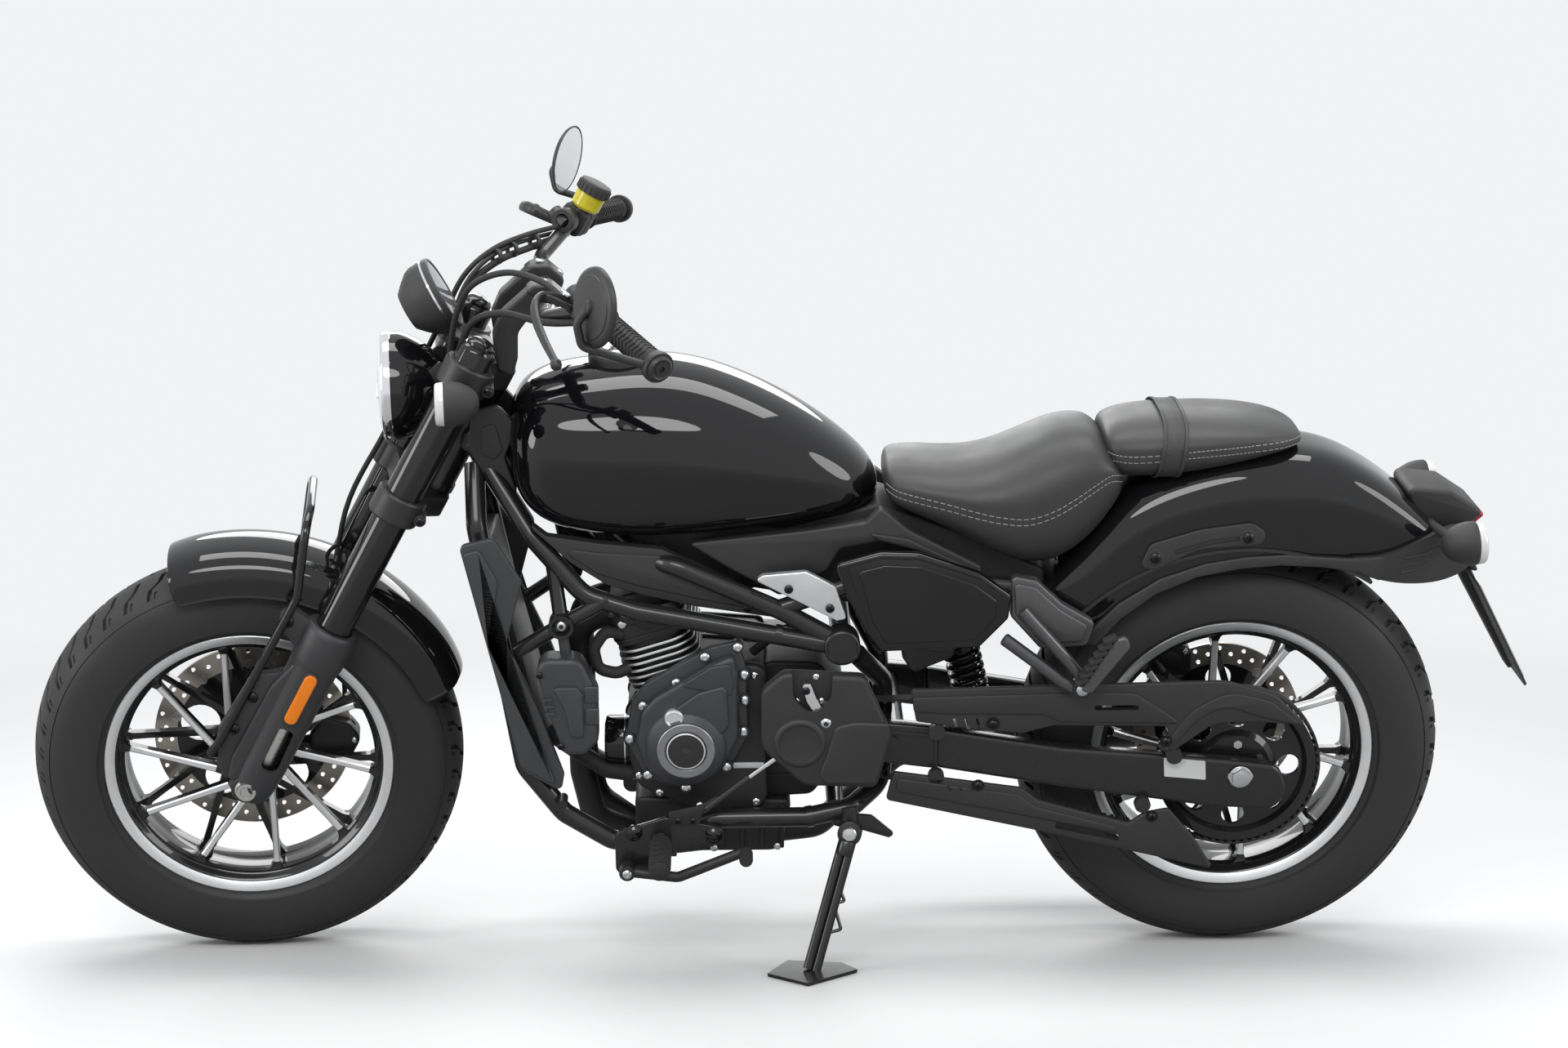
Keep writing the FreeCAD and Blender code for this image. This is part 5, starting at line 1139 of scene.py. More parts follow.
lamps = []
for side in (1, -1):
    lamps += signal((-1062, side * 150, 690), (-1, 0, 0.05), (-1014, side * 44, 690))
settle(joined("rear_turn_signals", lamps), LEAN, "chassis", (), 40)
stem = plate("plate_stem", [(-1000, 676, 6), (-1060, 672, 8), (-1092, 612, 6), (-1176, 448, 3),
                            (-1166, 442, 3), (-1076, 600, 6), (-1040, 650, 8)], -17, 17, 2.5, 2)
board = skin("plate_board", [[Vector((x + dx, y, z + dz)) for dx, dz in ((0, 0), (-3, 1.6))] + [
    Vector((x + dx, -y, z + dz)) for dx, dz in ((-3, 1.6), (0, 0))] for x, z, y in (
        (-1082, 610, 70), (-1088, 600, 88), (-1170, 446, 88), (-1176, 436, 70))])
sheet_rows = skin("number_plate", [[Vector((x + dx, y, z + dz)) for dx, dz in ((-3.2, 1.7), (-4.6, 2.4))] + [
    Vector((x + dx, -y, z + dz)) for dx, dz in ((-4.6, 2.4), (-3.2, 1.7))]
                                   for x, z, y in ((-1090, 597, 80), (-1167, 452, 80))])
plate_lamp = plate("plate_lamp", [(-1082, 622, 3), (-1098, 616, 4), (-1106, 602, 4), (-1094, 604, 3)], -26,
                   26, 2, 2)
paint(sheet_rows, blank_sheet)
settle(joined("plate_bracket_moulded", [paint(stem, grained_plastic), paint(board, grained_plastic),
                                        sheet_rows, paint(plate_lamp, grained_plastic)]), LEAN, "chassis",
       ("plate_bracket",), 35)


# ---------------------------------------------------------------- engine
# Liquid-cooled twin in black: cast crankcase and sump, two finned cylinders with machined fin edges,
# and grey covers held by bright bolts. It is bolted between the frame's tubes.
engine_coat = finish("black_engine_coat", (0.016, 0.016, 0.017), 0.5, grain=0.5, grain_scale=1100)
gloss_enamel = finish("gloss_black_enamel", (0.006, 0.006, 0.007), 0.16, coat=1.0, cloud=0.05)
bolt_steel = finish("bright_bolt_steel", (0.62, 0.63, 0.64), 0.24, metal=1.0, grain=0.1)
case_rows = [(150, 300, 20), (172, 380, 20), (120, 470, 20), (60, 500, 10), (-40, 492, 20), (-40, 268, 20),
             (60, 262, 20)]
case = plate("crankcase", case_rows, -110, 110, 5, 3)
rear_case = plate("gear_case", [
    (-30, 486, 20), (-118, 484, 30), (-156, 438, 30), (-156, 332, 30), (-108, 270, 20), (-30, 266, 10)
], -110, 74, 5, 3)
sump = plate("sump", [(158, 274, 10), (158, 216, 20), (60, 184, 20), (-60, 184, 20), (-78, 268, 10)], -78,
             88, 5, 3)
ribs = [plate("case_rib", [
    (60 - 30 * step, 262, 2), (54 - 30 * step, 262, 2), (54 - 30 * step, 190, 3), (60 - 30 * step, 190, 3)
], -74, 92, 1.2) for step in range(5)]
ribs += [plate("case_rib", [(-34, 300 + 26 * step, 2), (-34, 304 + 26 * step, 2), (-150, 306 + 24 * step, 2),
                            (-150, 302 + 24 * step, 2)], -112, 75.5, 1) for step in range(6)]
flanges = [plate("case_joint", [
    (152, 299, 20), (175, 380, 20), (122, 473, 20), (60, 503, 10), (-38, 495, 10), (-38, 265, 10),
    (60, 259, 20)
], at - 3, at + 3, 1.5) for at in (0, 96, -96)]
engine = [paint(joined("crankcase", [case, rear_case, sump] + ribs + flanges), engine_coat)]
for y, spots in ((110, ((150, 320), (60, 270), (-24, 276), (120, 292), (-22, 478), (60, 492))),
                 (88, ((146, 226), (100, 204), (-56, 192), (40, 190)))):
    for x, z in spots:
        engine += [screw((x, side * y if y > 100 else y, z), (0, side if y > 100 else 1, 0), 5.5, bolt_steel)
                   for side in ((1, -1) if y > 100 else (1,))]
oil_filter = lathe("oil_filter", [(0, 36), (4, 39), (8, 39), (9, 37.5), (12, 37.5), (13, 39), (46, 39),
                                  (50, 37), (52, 30), (53, 0.1), (0, 0.1)], 40)
oil_filter.matrix_world = (Matrix.Translation((150, 52, 352)) @ Matrix.Rotation(math.radians(-90), 4, "Z"))
engine.append(paint(oil_filter, gloss_enamel))
filter_rings = [lathe("filter_ring", [(at, 39.2), (at + 0.4, 40.4), (at + 2.6, 40.4), (at + 3, 39.2)], 40)
                for at in (3, 20)]
for hoop in filter_rings:
    hoop.matrix_world = oil_filter.matrix_world.copy()
    engine.append(paint(hoop, bolt_steel))
name_plate = plate("case_label", [(10, 331, 2), (10, 340, 2), (-36, 340, 2), (-36, 331, 2)], 109, 112.6, 0.6)
engine.append(paint(name_plate, satin_alloy))
shaft = cylinder("sprocket_shaft", (-95, 68, 384), (-95, 108, 384), 15)
drive_pulley = ease(cylinder("front_pulley", (-95, 82.5, 384), (-95, 105.5, 384), 41.2, 60), 1)
engine += [paint(shaft, bolt_steel), paint(drive_pulley, wheel_black)]
settle(joined("crankcase_cast", engine), LEAN, "chassis", ("crankcase",), 32)

NOD = (Matrix.Translation((80, 0, 380)) @ Matrix.Rotation(math.radians(17), 4, "Y")
       @ Matrix.Translation((-80, 0, -380)))
fins = []
for index in range(7):
    grow = (0, 2, 3, 3.5, 3, 2, 0)[index]
    fin = plate("fin", [(24 - grow, -106, 34), (136 + grow, -106, 34), (136 + grow, 106, 34),
                        (24 - grow, 106, 34)],
                466 + 10.6 * index, 470 + 10.6 * index, 0.7)
    paint(fin, engine_coat, machined)
    fins.append(recolour(fin, 1, lambda middle, normal: abs(normal.y) < 0.4))
barrel = paint(plate("barrel", [(32, -98, 30), (128, -98, 30), (128, 98, 30), (32, 98, 30)], 458, 545, 0),
               engine_coat)
head = paint(plate("head", [(24, -103, 26), (136, -103, 26), (136, 103, 26), (24, 103, 26)], 540, 588, 3),
             engine_coat)
seams = [paint(plate("gasket", [(22, -104.5, 26), (138, -104.5, 26), (138, 104.5, 26), (22, 104.5, 26)], at,
                     at + 3, 0.6), engine_coat)
         for at in (548, 568)]
cam = paint(plate("cam_cover", [(34, -94, 24), (126, -94, 24), (126, 94, 24), (34, 94, 24)], 586, 614, 7, 4),
            engine_coat)
for shape in fins + [barrel, head, cam] + seams:
    shape.matrix_world = NOD @ ALONG
parts = fins + [barrel, head, cam] + seams
for side in (1, -1):
    cap = lathe("cam_plug", [(0, 17), (2.5, 17), (4, 14), (4.4, 0.1), (0, 0.1)], 32)
    cap.matrix_world = (NOD @ Matrix.Translation((80, side * 102.4, 574))
                        @ Matrix.Rotation(0 if side > 0 else math.pi, 4, "Z"))
    parts.append(paint(cap, engine_coat))
    for x, z in ((44, 576), (116, 576)):
        head_bolt = screw((0, 0, 0), (0, 1, 0), 6.5, bolt_steel, False)
        head_bolt.matrix_world = NOD @ Matrix.Translation((x, side * 102.6, z)) @ Matrix.Rotation(
            0 if side > 0 else math.pi, 4, "Z")
        parts.append(head_bolt)
    crest = plate("blank_crest", [(56, 456, 4), (112, 456, 4), (118, 468, 3), (50, 468, 3)], side * 96,
                  side * 105.5, 1)
    crest.matrix_world = NOD.copy()
    parts.append(paint(crest, satin_alloy))
for y in (45, -45):
    stub = cylinder("exhaust_port", (150, y, 566), (178, y, 560), 25, 32)
    parts.append(paint(ease(stub, 2), engine_coat))
for y in (32, -32):
    parts.append(paint(cylinder("throttle_body", (60, y, 600), (12, y, 612), 24, 32), satin_alloy))
    parts.append(paint(ease(cylinder("intake_sleeve", (14, y, 611), (-30, y, 622), 30, 32), 3),
                       moulded_rubber))
settle(joined("cylinders_cast", parts), LEAN, "chassis", ("cylinders",), 35)
HOSES = [
    ("coolant_hose", 9, [(172, 96, 540), (196, 104, 548), (214, 104, 520), (208, 100, 486), (180, 96, 478),
                         (160, 92, 486)]),
    ("lower_hose", 13, [(288, 60, 372), (250, 74, 350), (200, 78, 316), (160, 78, 310)]),
    ("breather_hose", 7, [(-20, 70, 500), (-60, 86, 540), (-110, 92, 552), (-150, 84, 520)]),
]
for name, radius, points in HOSES:
    settle(paint(bar(name, points, radius, 22, 20), moulded_rubber), LEAN, "chassis", ())

# ---------------------------------------------------------------- engine covers
# Die-cast lids over the alternator and the clutch, painted dark grey, and a moulded one over the belt
# pulley with the gear linkage before it. Bright bolts hold them; the alternator's lid carries a plain
# brushed ring round its central plug.
grey_coat = finish("dark_grey_cover_coat", (0.05, 0.051, 0.054), 0.42, metal=0.3, grain=0.35,
                   grain_scale=1300)
cover_bits = []
base = plate("alternator_flange", [
    (168, 385, 20), (159, 444, 12), (137, 473, 12), (42, 529, 14), (1, 539, 12), (-10, 495, 10),
    (-13, 392, 20), (14, 341, 40), (80, 303, 60), (139, 323, 40)
], 112, 128, 2.5, 3)
body = plate("alternator_lid", [
    (153, 384, 30), (144, 436, 24), (124, 458, 12), (44, 508, 10), (8, 524, 8), (2, 490, 8), (0, 396, 24),
    (22, 352, 40), (80, 316, 60), (132, 336, 40)
], 124, 148, 9, 4)
crown = lathe("alternator_dome", [(128, 66), (146, 62), (155, 54), (158, 46), (159.5, 44), (159.5, 0.1),
                                  (128, 0.1)], 72)
CRANK = Matrix.Translation((79, 0, 380))
crown.matrix_world = CRANK.copy()
shoulder = plate("alternator_rib", [(98, 440, 6), (60, 468, 4), (24, 478, 4), (18, 470, 4), (14, 402, 20),
                                    (90, 400, 10)],
                 140, 154, 6, 4)
inlay = plate("alternator_field", [(88, 478, 3), (40, 508, 6), (14, 512, 6), (8, 480, 4), (12, 462, 4)], 140,
              151, 2.5, 3)
cover_bits += [paint(joined("alternator_lid", [base, body, crown, shoulder, inlay]), grey_coat)]
plug_ring = lathe("polished_ring", [(158, 43), (161, 42.6), (162, 41.5), (162, 31.5), (161, 30.6),
                                    (158, 30.4)], 72)
thin_ring = lathe("plug_edge", [(158, 28.6), (162.6, 28.4), (163, 27.8), (163, 26.6), (162, 26.2),
                                (158, 26)], 72)
centre = lathe("centre_plug", [(158, 26.4), (162, 26), (162.4, 25), (161.4, 6.6), (158, 6.2), (158, 0.1),
                               (156, 0.1)], 72)
ring_grey = finish("brushed_ring", (0.3, 0.3, 0.31), 0.36, metal=0.9, grain=0.2, grain_scale=1800)
for shape, look in ((plug_ring, ring_grey), (thin_ring, machined), (centre, satin_coat)):
    shape.matrix_world = CRANK.copy()
    cover_bits.append(paint(shape, look))
peep = lathe("timing_plug", [(146, 14), (156, 14), (158, 12.6), (158.6, 11), (157.4, 9.6), (157.4, 0.1),
                             (146, 0.1)], 40)
peep.matrix_world = Matrix.Translation((96, 0, 429))
cover_bits.append(paint(peep, satin_alloy))
for x, z in ((2, 531), (50, 516), (92, 476), (142, 440), (162, 388), (-7, 488), (-8, 448), (-6, 398),
             (20, 342), (80, 309), (136, 330)):
    pillar = ease(cylinder("bolt_pillar", (x, 113, z), (x, 132, z), 8.5, 24), 1)
    cover_bits += [paint(pillar, grey_coat), screw((x, 132, z), (0, 1, 0), 6.8, bolt_steel)]
lid = plate("pulley_lid", [(-31, 473, 26), (-64, 502, 20), (-182, 495, 14), (-224, 401, 10), (-201, 319, 14),
                           (-94, 323, 40), (-31, 383, 34)], 138, 164, 7, 4)
pocket = plate("lid_pocket", [(-76, 512, 4), (-136, 512, 4), (-134, 462, 26), (-106, 434, 24),
                              (-78, 462, 26)], 147, 190, 0)
drill(lid, [pocket])
eye = lathe("lid_eye", [(160, 40), (166, 37), (168, 34), (168, 31), (165, 29.4), (164.4, 27), (165, 0.1),
                        (160, 0.1)], 64)
eye.matrix_world = Matrix.Translation((-88, 0, 392))
ledge = plate("lid_step", [(-140, 420, 14), (-170, 426, 10), (-219, 424, 6), (-221, 402, 8), (-199, 326, 12),
                           (-110, 328, 24), (-126, 372, 30)], 158, 168.6, 5, 4)
cover_bits.append(paint(joined("pulley_lid", [lid, eye, ledge]), panel_plastic))
hub = paint(cylinder("shift_shaft", (-97, 118, 474), (-97, 160, 474), 6), bolt_steel)
arm = paint(plate("shift_arm", [
    (-90, 484, 5), (-104, 484, 5), (-112, 462, 3), (-132, 424, 6), (-120, 418, 6), (-98, 456, 3)
], 154, 161, 1.5, 2), chrome)
dip = plate("arm_slot", [(-102, 462, 2), (-106, 462, 2), (-117, 440, 2), (-112, 438, 2)], 159, 170, 0)
drill(arm, [dip])
cover_bits += [hub, arm, screw((-126, 161, 423), (0, 1, 0), 8, bolt_steel),
               screw((-97, 161, 474), (0, 1, 0), 6, dark_screw)]
for x, z in ((-112, 490), (-84, 452), (-120, 452)):
    cover_bits.append(screw((x, 147, z), (0, 1, 0), 5, bolt_steel))
rod = [paint(bar("shift_rod", [(-126, 158, 423), (-12, 158, 335)], 3.2, 0, 16), chrome),
       paint(bar("rod_end", [(-124, 158, 421.5), (-92, 158, 396.8)], 5, 0, 16), satin_coat),
       paint(bar("rod_nut", [(-92, 158, 396.8), (-84, 158, 390.6)], 5.4, 0, 6), bolt_steel),
       paint(bar("rod_lower", [(-14, 158, 336.5), (50, 160, 287)], 4.6, 0, 16), satin_coat)]
clutch = [paint(plate("clutch_flange", [
    (119, 399, 40), (60, 479, 60), (-60, 479, 60), (-139, 420, 50), (-119, 321, 40), (0, 291, 60),
    (99, 321, 40)
], -128, -112, 2.5, 3), grey_coat)]
dome = lathe("clutch_dome", [(-165, 0.1), (-164.6, 52), (-162, 58), (-152, 68), (-138, 80), (-124, 84),
                             (-124, 0.1)], 72)
dome.matrix_world = Matrix.Translation((-10, 0, 386))
dish = lathe("clutch_ring", [(-164.9, 34), (-164.9, 44), (-163, 45), (-163, 33)], 64)
dish.matrix_world = dome.matrix_world.copy()
clutch += [paint(dome, grey_coat), paint(dish, machined)]
for turn in range(10):
    angle = math.radians(36 * turn + 8)
    x, z = -10 + 92 * math.cos(angle), 386 + 74 * math.sin(angle)
    clutch += [paint(ease(cylinder("bolt_pillar", (x, -113, z), (x, -134, z), 8.5, 24), 1), grey_coat),
               screw((x, -134, z), (0, -1, 0), 6.8, bolt_steel)]
settle(joined("engine_covers_cast", cover_bits + rod + clutch), LEAN, "chassis", ("engine_covers",),
       34)

# ---------------------------------------------------------------- cooling
# Finned radiator behind the front wheel between two moulded shrouds, and a ribbed moulded canister on the
# left, all hung on the frame's down tubes.
shroud_plastic = finish("shroud_plastic", (0.042, 0.043, 0.046), 0.46, grain=0.45, grain_scale=1500)
frame_rows = [(391, 671, 6), (363, 671, 6), (285, 352, 6), (307, 346, 6)]
core = paint(plate("radiator_tank", frame_rows, -83, 83, 2), engine_coat)
window = plate("core_window", [(400, 648, 3), (372, 648, 3), (300, 372, 3), (330, 366, 3)], -70, 70, 0)
drill(core, [window])
slats = []
for index in range(44):
    share = (index + 0.5) / 44
    x, z = 377 - 71 * share, 648 - 281 * share
    slats.append(plate("slat", [(x + 5.6, z - 0.2), (x + 5.6, z + 1.2), (x - 5.6, z + 2.6),
                                (x - 5.6, z + 1.2)], -71, 71, 0))
for index in range(13):
    y = -66 + 11 * index
    slats.append(plate("core_tube", [(381, 648), (378, 648), (302, 372), (305, 370)], y - 1, y + 1, 0))
pins = [cylinder("radiator_pin", (362, side * 78, 600), (368, side * 104, 600), 7.5) for side in (1, -1)]
settle(joined("radiator_core", [core, paint(joined("slats", slats), engine_coat),
                                paint(joined("pins", pins), satin_coat)]), LEAN,
       "chassis", ("radiator",), 30)
for side in (1, -1):
    wall = plate("radiator_shroud", [
        (401, 694, 10), (351, 706, 10), (312, 638, 20), (338, 544, 30), (294, 442, 20), (259, 337, 8),
        (264, 309, 8), (322, 345, 20)
    ], side * 134, side * 146, 3, 3)
    field = plate("shroud_field", [
        (396, 684, 8), (372, 690, 8), (346, 640, 20), (362, 545, 30), (316, 436, 20), (274, 334, 6),
        (272, 322, 6), (322, 352, 16)
    ], side * 140, side * 151.4, 5, 4)
    rods = [cylinder("shroud_pin", (374, side * 96, 640), (374, side * 136, 640), 7),
            cylinder("shroud_pin", (322, side * 119, 380), (322, side * 136, 380), 7)]
    settle(paint(joined(sided("shroud", side), [wall, field] + rods), shroud_plastic), LEAN, "chassis",
           ("radiator_shroud",) if side > 0 else (), 38)
can = plate("canister_body", [(299, 523, 20), (231, 523, 20), (207, 470, 14), (207, 393, 12), (226, 373, 12),
                              (257, 373, 14), (281, 440, 14)], 112, 158, 8, 4)
panel = plate("canister_panel", [(272, 482, 5), (236, 482, 5), (228, 470, 4), (228, 404, 6), (246, 404, 5),
                                 (254, 446, 8)],
              150, 164, 2.5, 3)
bits = [can, panel]
for step in range(3):
    bits.append(plate("canister_rib", [
        (287 - 2 * step, 464 - 11 * step, 2), (272 - 2 * step, 464 - 11 * step, 2),
        (272 - 2 * step, 460 - 11 * step, 2), (287 - 2 * step, 460 - 11 * step, 2)
    ], 150, 161.5, 1.2))
for z in (482, 448):
    bits.append(plate("canister_tab", [(226, z, 4), (205, z, 3), (205, z - 26, 3), (226, z - 26, 4)], 150,
                      160.5, 2.5, 3))
bits.append(cylinder("canister_tab_rod", (252, 126, 510), (257, 126, 553), 8))
clips = [screw((290, 158.5, 500), (0, 1, 0), 5, dark_screw), screw((262, 158.5, 388), (0, 1, 0), 5,
                                                                   dark_screw)]
settle(joined("canister_moulded", [paint(joined("can", bits), shroud_plastic)] + clips), LEAN, "chassis",
       ("canister_cover",), 38)


# ---------------------------------------------------------------- frame
# Welded steel tubes in satin black: two tubes down each side from the steering head, a cradle under the
# engine, braces, a capped pivot boss, and sleeved joints. Engine and fork are bolted to it.
tube_coat = finish("frame_tube_coat", (0.014, 0.014, 0.015), 0.28, coat=0.35, grain=0.1, grain_scale=1600)


def grounded(piece):
    """Takes the piece's place, turn and mirroring into its mesh, with its faces outward."""
    choose(piece)
    bpy.ops.object.transform_apply(location=True, rotation=True, scale=True)
    bpy.ops.object.mode_set(mode="EDIT")
    bpy.ops.mesh.select_all(action="SELECT")
    bpy.ops.mesh.normals_make_consistent(inside=False)
    bpy.ops.object.mode_set(mode="OBJECT")
    return piece


def on_side(side, *spots):
    """Spots given for the left, taken to the right when the side is -1."""
    return [(x, side * y, z) for x, y, z in spots]


upper = []
for side in (1, -1):
    upper += [
        bar("top_tube", on_side(side, (388, 26, 815), (300, 92, 690), (225, 116, 608), (150, 124, 586),
                                (-143, 130, 532)), 14, 60, 28),
        bar("spine_tube", on_side(side, (374, 22, 842), (322, 26, 764), (200, 44, 704), (150, 70, 650),
                                  (96, 119, 655), (-65, 124, 583), (-143, 130, 540)), 14, 40, 28),
        bar("mount_tube", on_side(side, (270, 100, 652), (258, 126, 568)), 11, 0, 24),
        bar("brace_tube", on_side(side, (325, 118, 522), (258, 126, 566), (189, 122, 604)), 11, 40, 24),
        bar("seat_rail", on_side(side, (-60, 122, 588), (-200, 118, 636), (-395, 118, 618)), 13, 60, 24),
        bar("joint_sleeve", on_side(side, (-52, 127.2, 550.1), (-62, 127.4, 548.1)), 15.2, 0, 28),
    ]
    cup = lathe("mount_cup", [
        (112, 18.6), (140, 18.8), (142, 17.6), (142, 13.6), (138, 12.6), (133, 11.6), (133, 0.1), (112, 0.1)
    ], 40)
    cup.matrix_world = Matrix.Translation((258, 0, 567)) @ Matrix.Diagonal((1, side, 1, 1))
    boss = lathe("pivot_boss", [(112, 26.6), (146, 26.8), (148.4, 25), (149, 22.5), (147, 21.4), (147.6, 12),
                                (148.6, 0.1), (112, 0.1)], 48)
    boss.matrix_world = Matrix.Translation((-150, 0, 534)) @ Matrix.Diagonal((1, side, 1, 1))
    upper += [cup, boss]
upper += [cylinder("cross_tube", (-150, -118, 534), (-150, 118, 534), 16, 32),
          ease(cylinder("head_gusset", (388, -38, 818), (388, 38, 818), 16, 32), 1)]
neck = lathe("head_tube", [(846.4, 29.6), (858, 29.6), (861, 27.6), (1015, 27.6), (1018, 29.6),
                           (1029.6, 29.6), (1029.6, 18.4), (846.4, 18.4)], 56)
neck.matrix_world = (Matrix.Translation((852.5, 0, 0)) @ Matrix.Rotation(-RAKE, 4, "Y") @ ALONG)
upper.append(neck)
for shape in upper:
    grounded(shape)
frame_bits = [paint(joined("upper_tubes", upper), tube_coat)]
for side in (1, -1):
    frame_bits += [screw((258, side * 133, 567), (0, side, 0), 8, bolt_steel),
                   paint(ease(cylinder("washer", (258, side * 131, 567), (258, side * 134.5, 567), 11, 32),
                              0.6), dark_screw)]
settle(joined("frame_upper_tubes", frame_bits), LEAN, "chassis", ("frame_upper",), 40)
cradle = []
for side in (1, -1):
    spots = [(384, 40, 785), (380, 88, 705), (318, 118, 340), (262, 126, 268), (190, 130, 224),
             (110, 130, 222), (40, 130, 258), (-100, 130, 259), (-165, 122, 270), (-214, 62, 288),
             (-214, 62, 452), (-172, 120, 515)]
    cradle.append(bar("cradle_tube", on_side(side, *spots), 15, 34, 28))
    cradle.append(bar("cradle_sleeve", [(-98, side * 130, 259), (-108, side * 128.9, 260.4)], 16.2, 0, 28))
    cradle.append(bar("damper_peg", [(262, side * 132, 296), (262, side * 158, 294)], 7, 0, 20))
    cradle.append(plate("gusset", [(320, 398, 6), (316, 340, 6), (296, 312, 4), (330, 330, 20),
                                   (334, 396, 4)],
                        side * 110, side * 116, 1))
cradle += [cylinder("low_cross", (-142, -126, 272), (-142, 126, 272), 13, 28),
           cylinder("swing_sleeve", (-225, -107, 380), (-225, 107, 380), 22, 32),
           cylinder("swing_bolt", (-225, -138, 380), (-225, 138, 380), 9.8, 28)]
PIVOT = Vector((-162, 157, 244))
HINGE = Vector((math.sin(math.radians(6)), math.cos(math.radians(15)),
                math.sin(math.radians(15)))).normalized()
cradle += [cylinder("stand_arm", (-162, 130, 276), PIVOT - 23.3 * HINGE, 13, 28),
           ease(cylinder("stand_boss", PIVOT - 23.3 * HINGE, PIVOT - 7.5 * HINGE, 18, 36), 1),
           plate("stand_tab", [(-128, 268, 8), (-196, 262, 8), (-230, 232, 4), (-222, 226, 3),
                               (-178, 240, 6), (-140, 246, 8)],
                 128, 136, 1.5)]
pin = paint(cylinder("stand_pin", PIVOT - 8 * HINGE, PIVOT + 7.4 * HINGE, 5.9, 28), bolt_steel)
pin_head = lathe("stand_bolt", [(7.4, 10.8), (11.5, 10.8), (13.4, 9), (14, 0.1), (7.4, 0.1)], 32)
pin_head.matrix_world = Matrix.Translation(PIVOT) @ facing(HINGE)
settle(joined("frame_cradle_tubes", [paint(joined("cradle", cradle), tube_coat), pin,
                                     paint(pin_head, bolt_steel)]), LEAN,
       "chassis", ("frame_cradle",), 40)

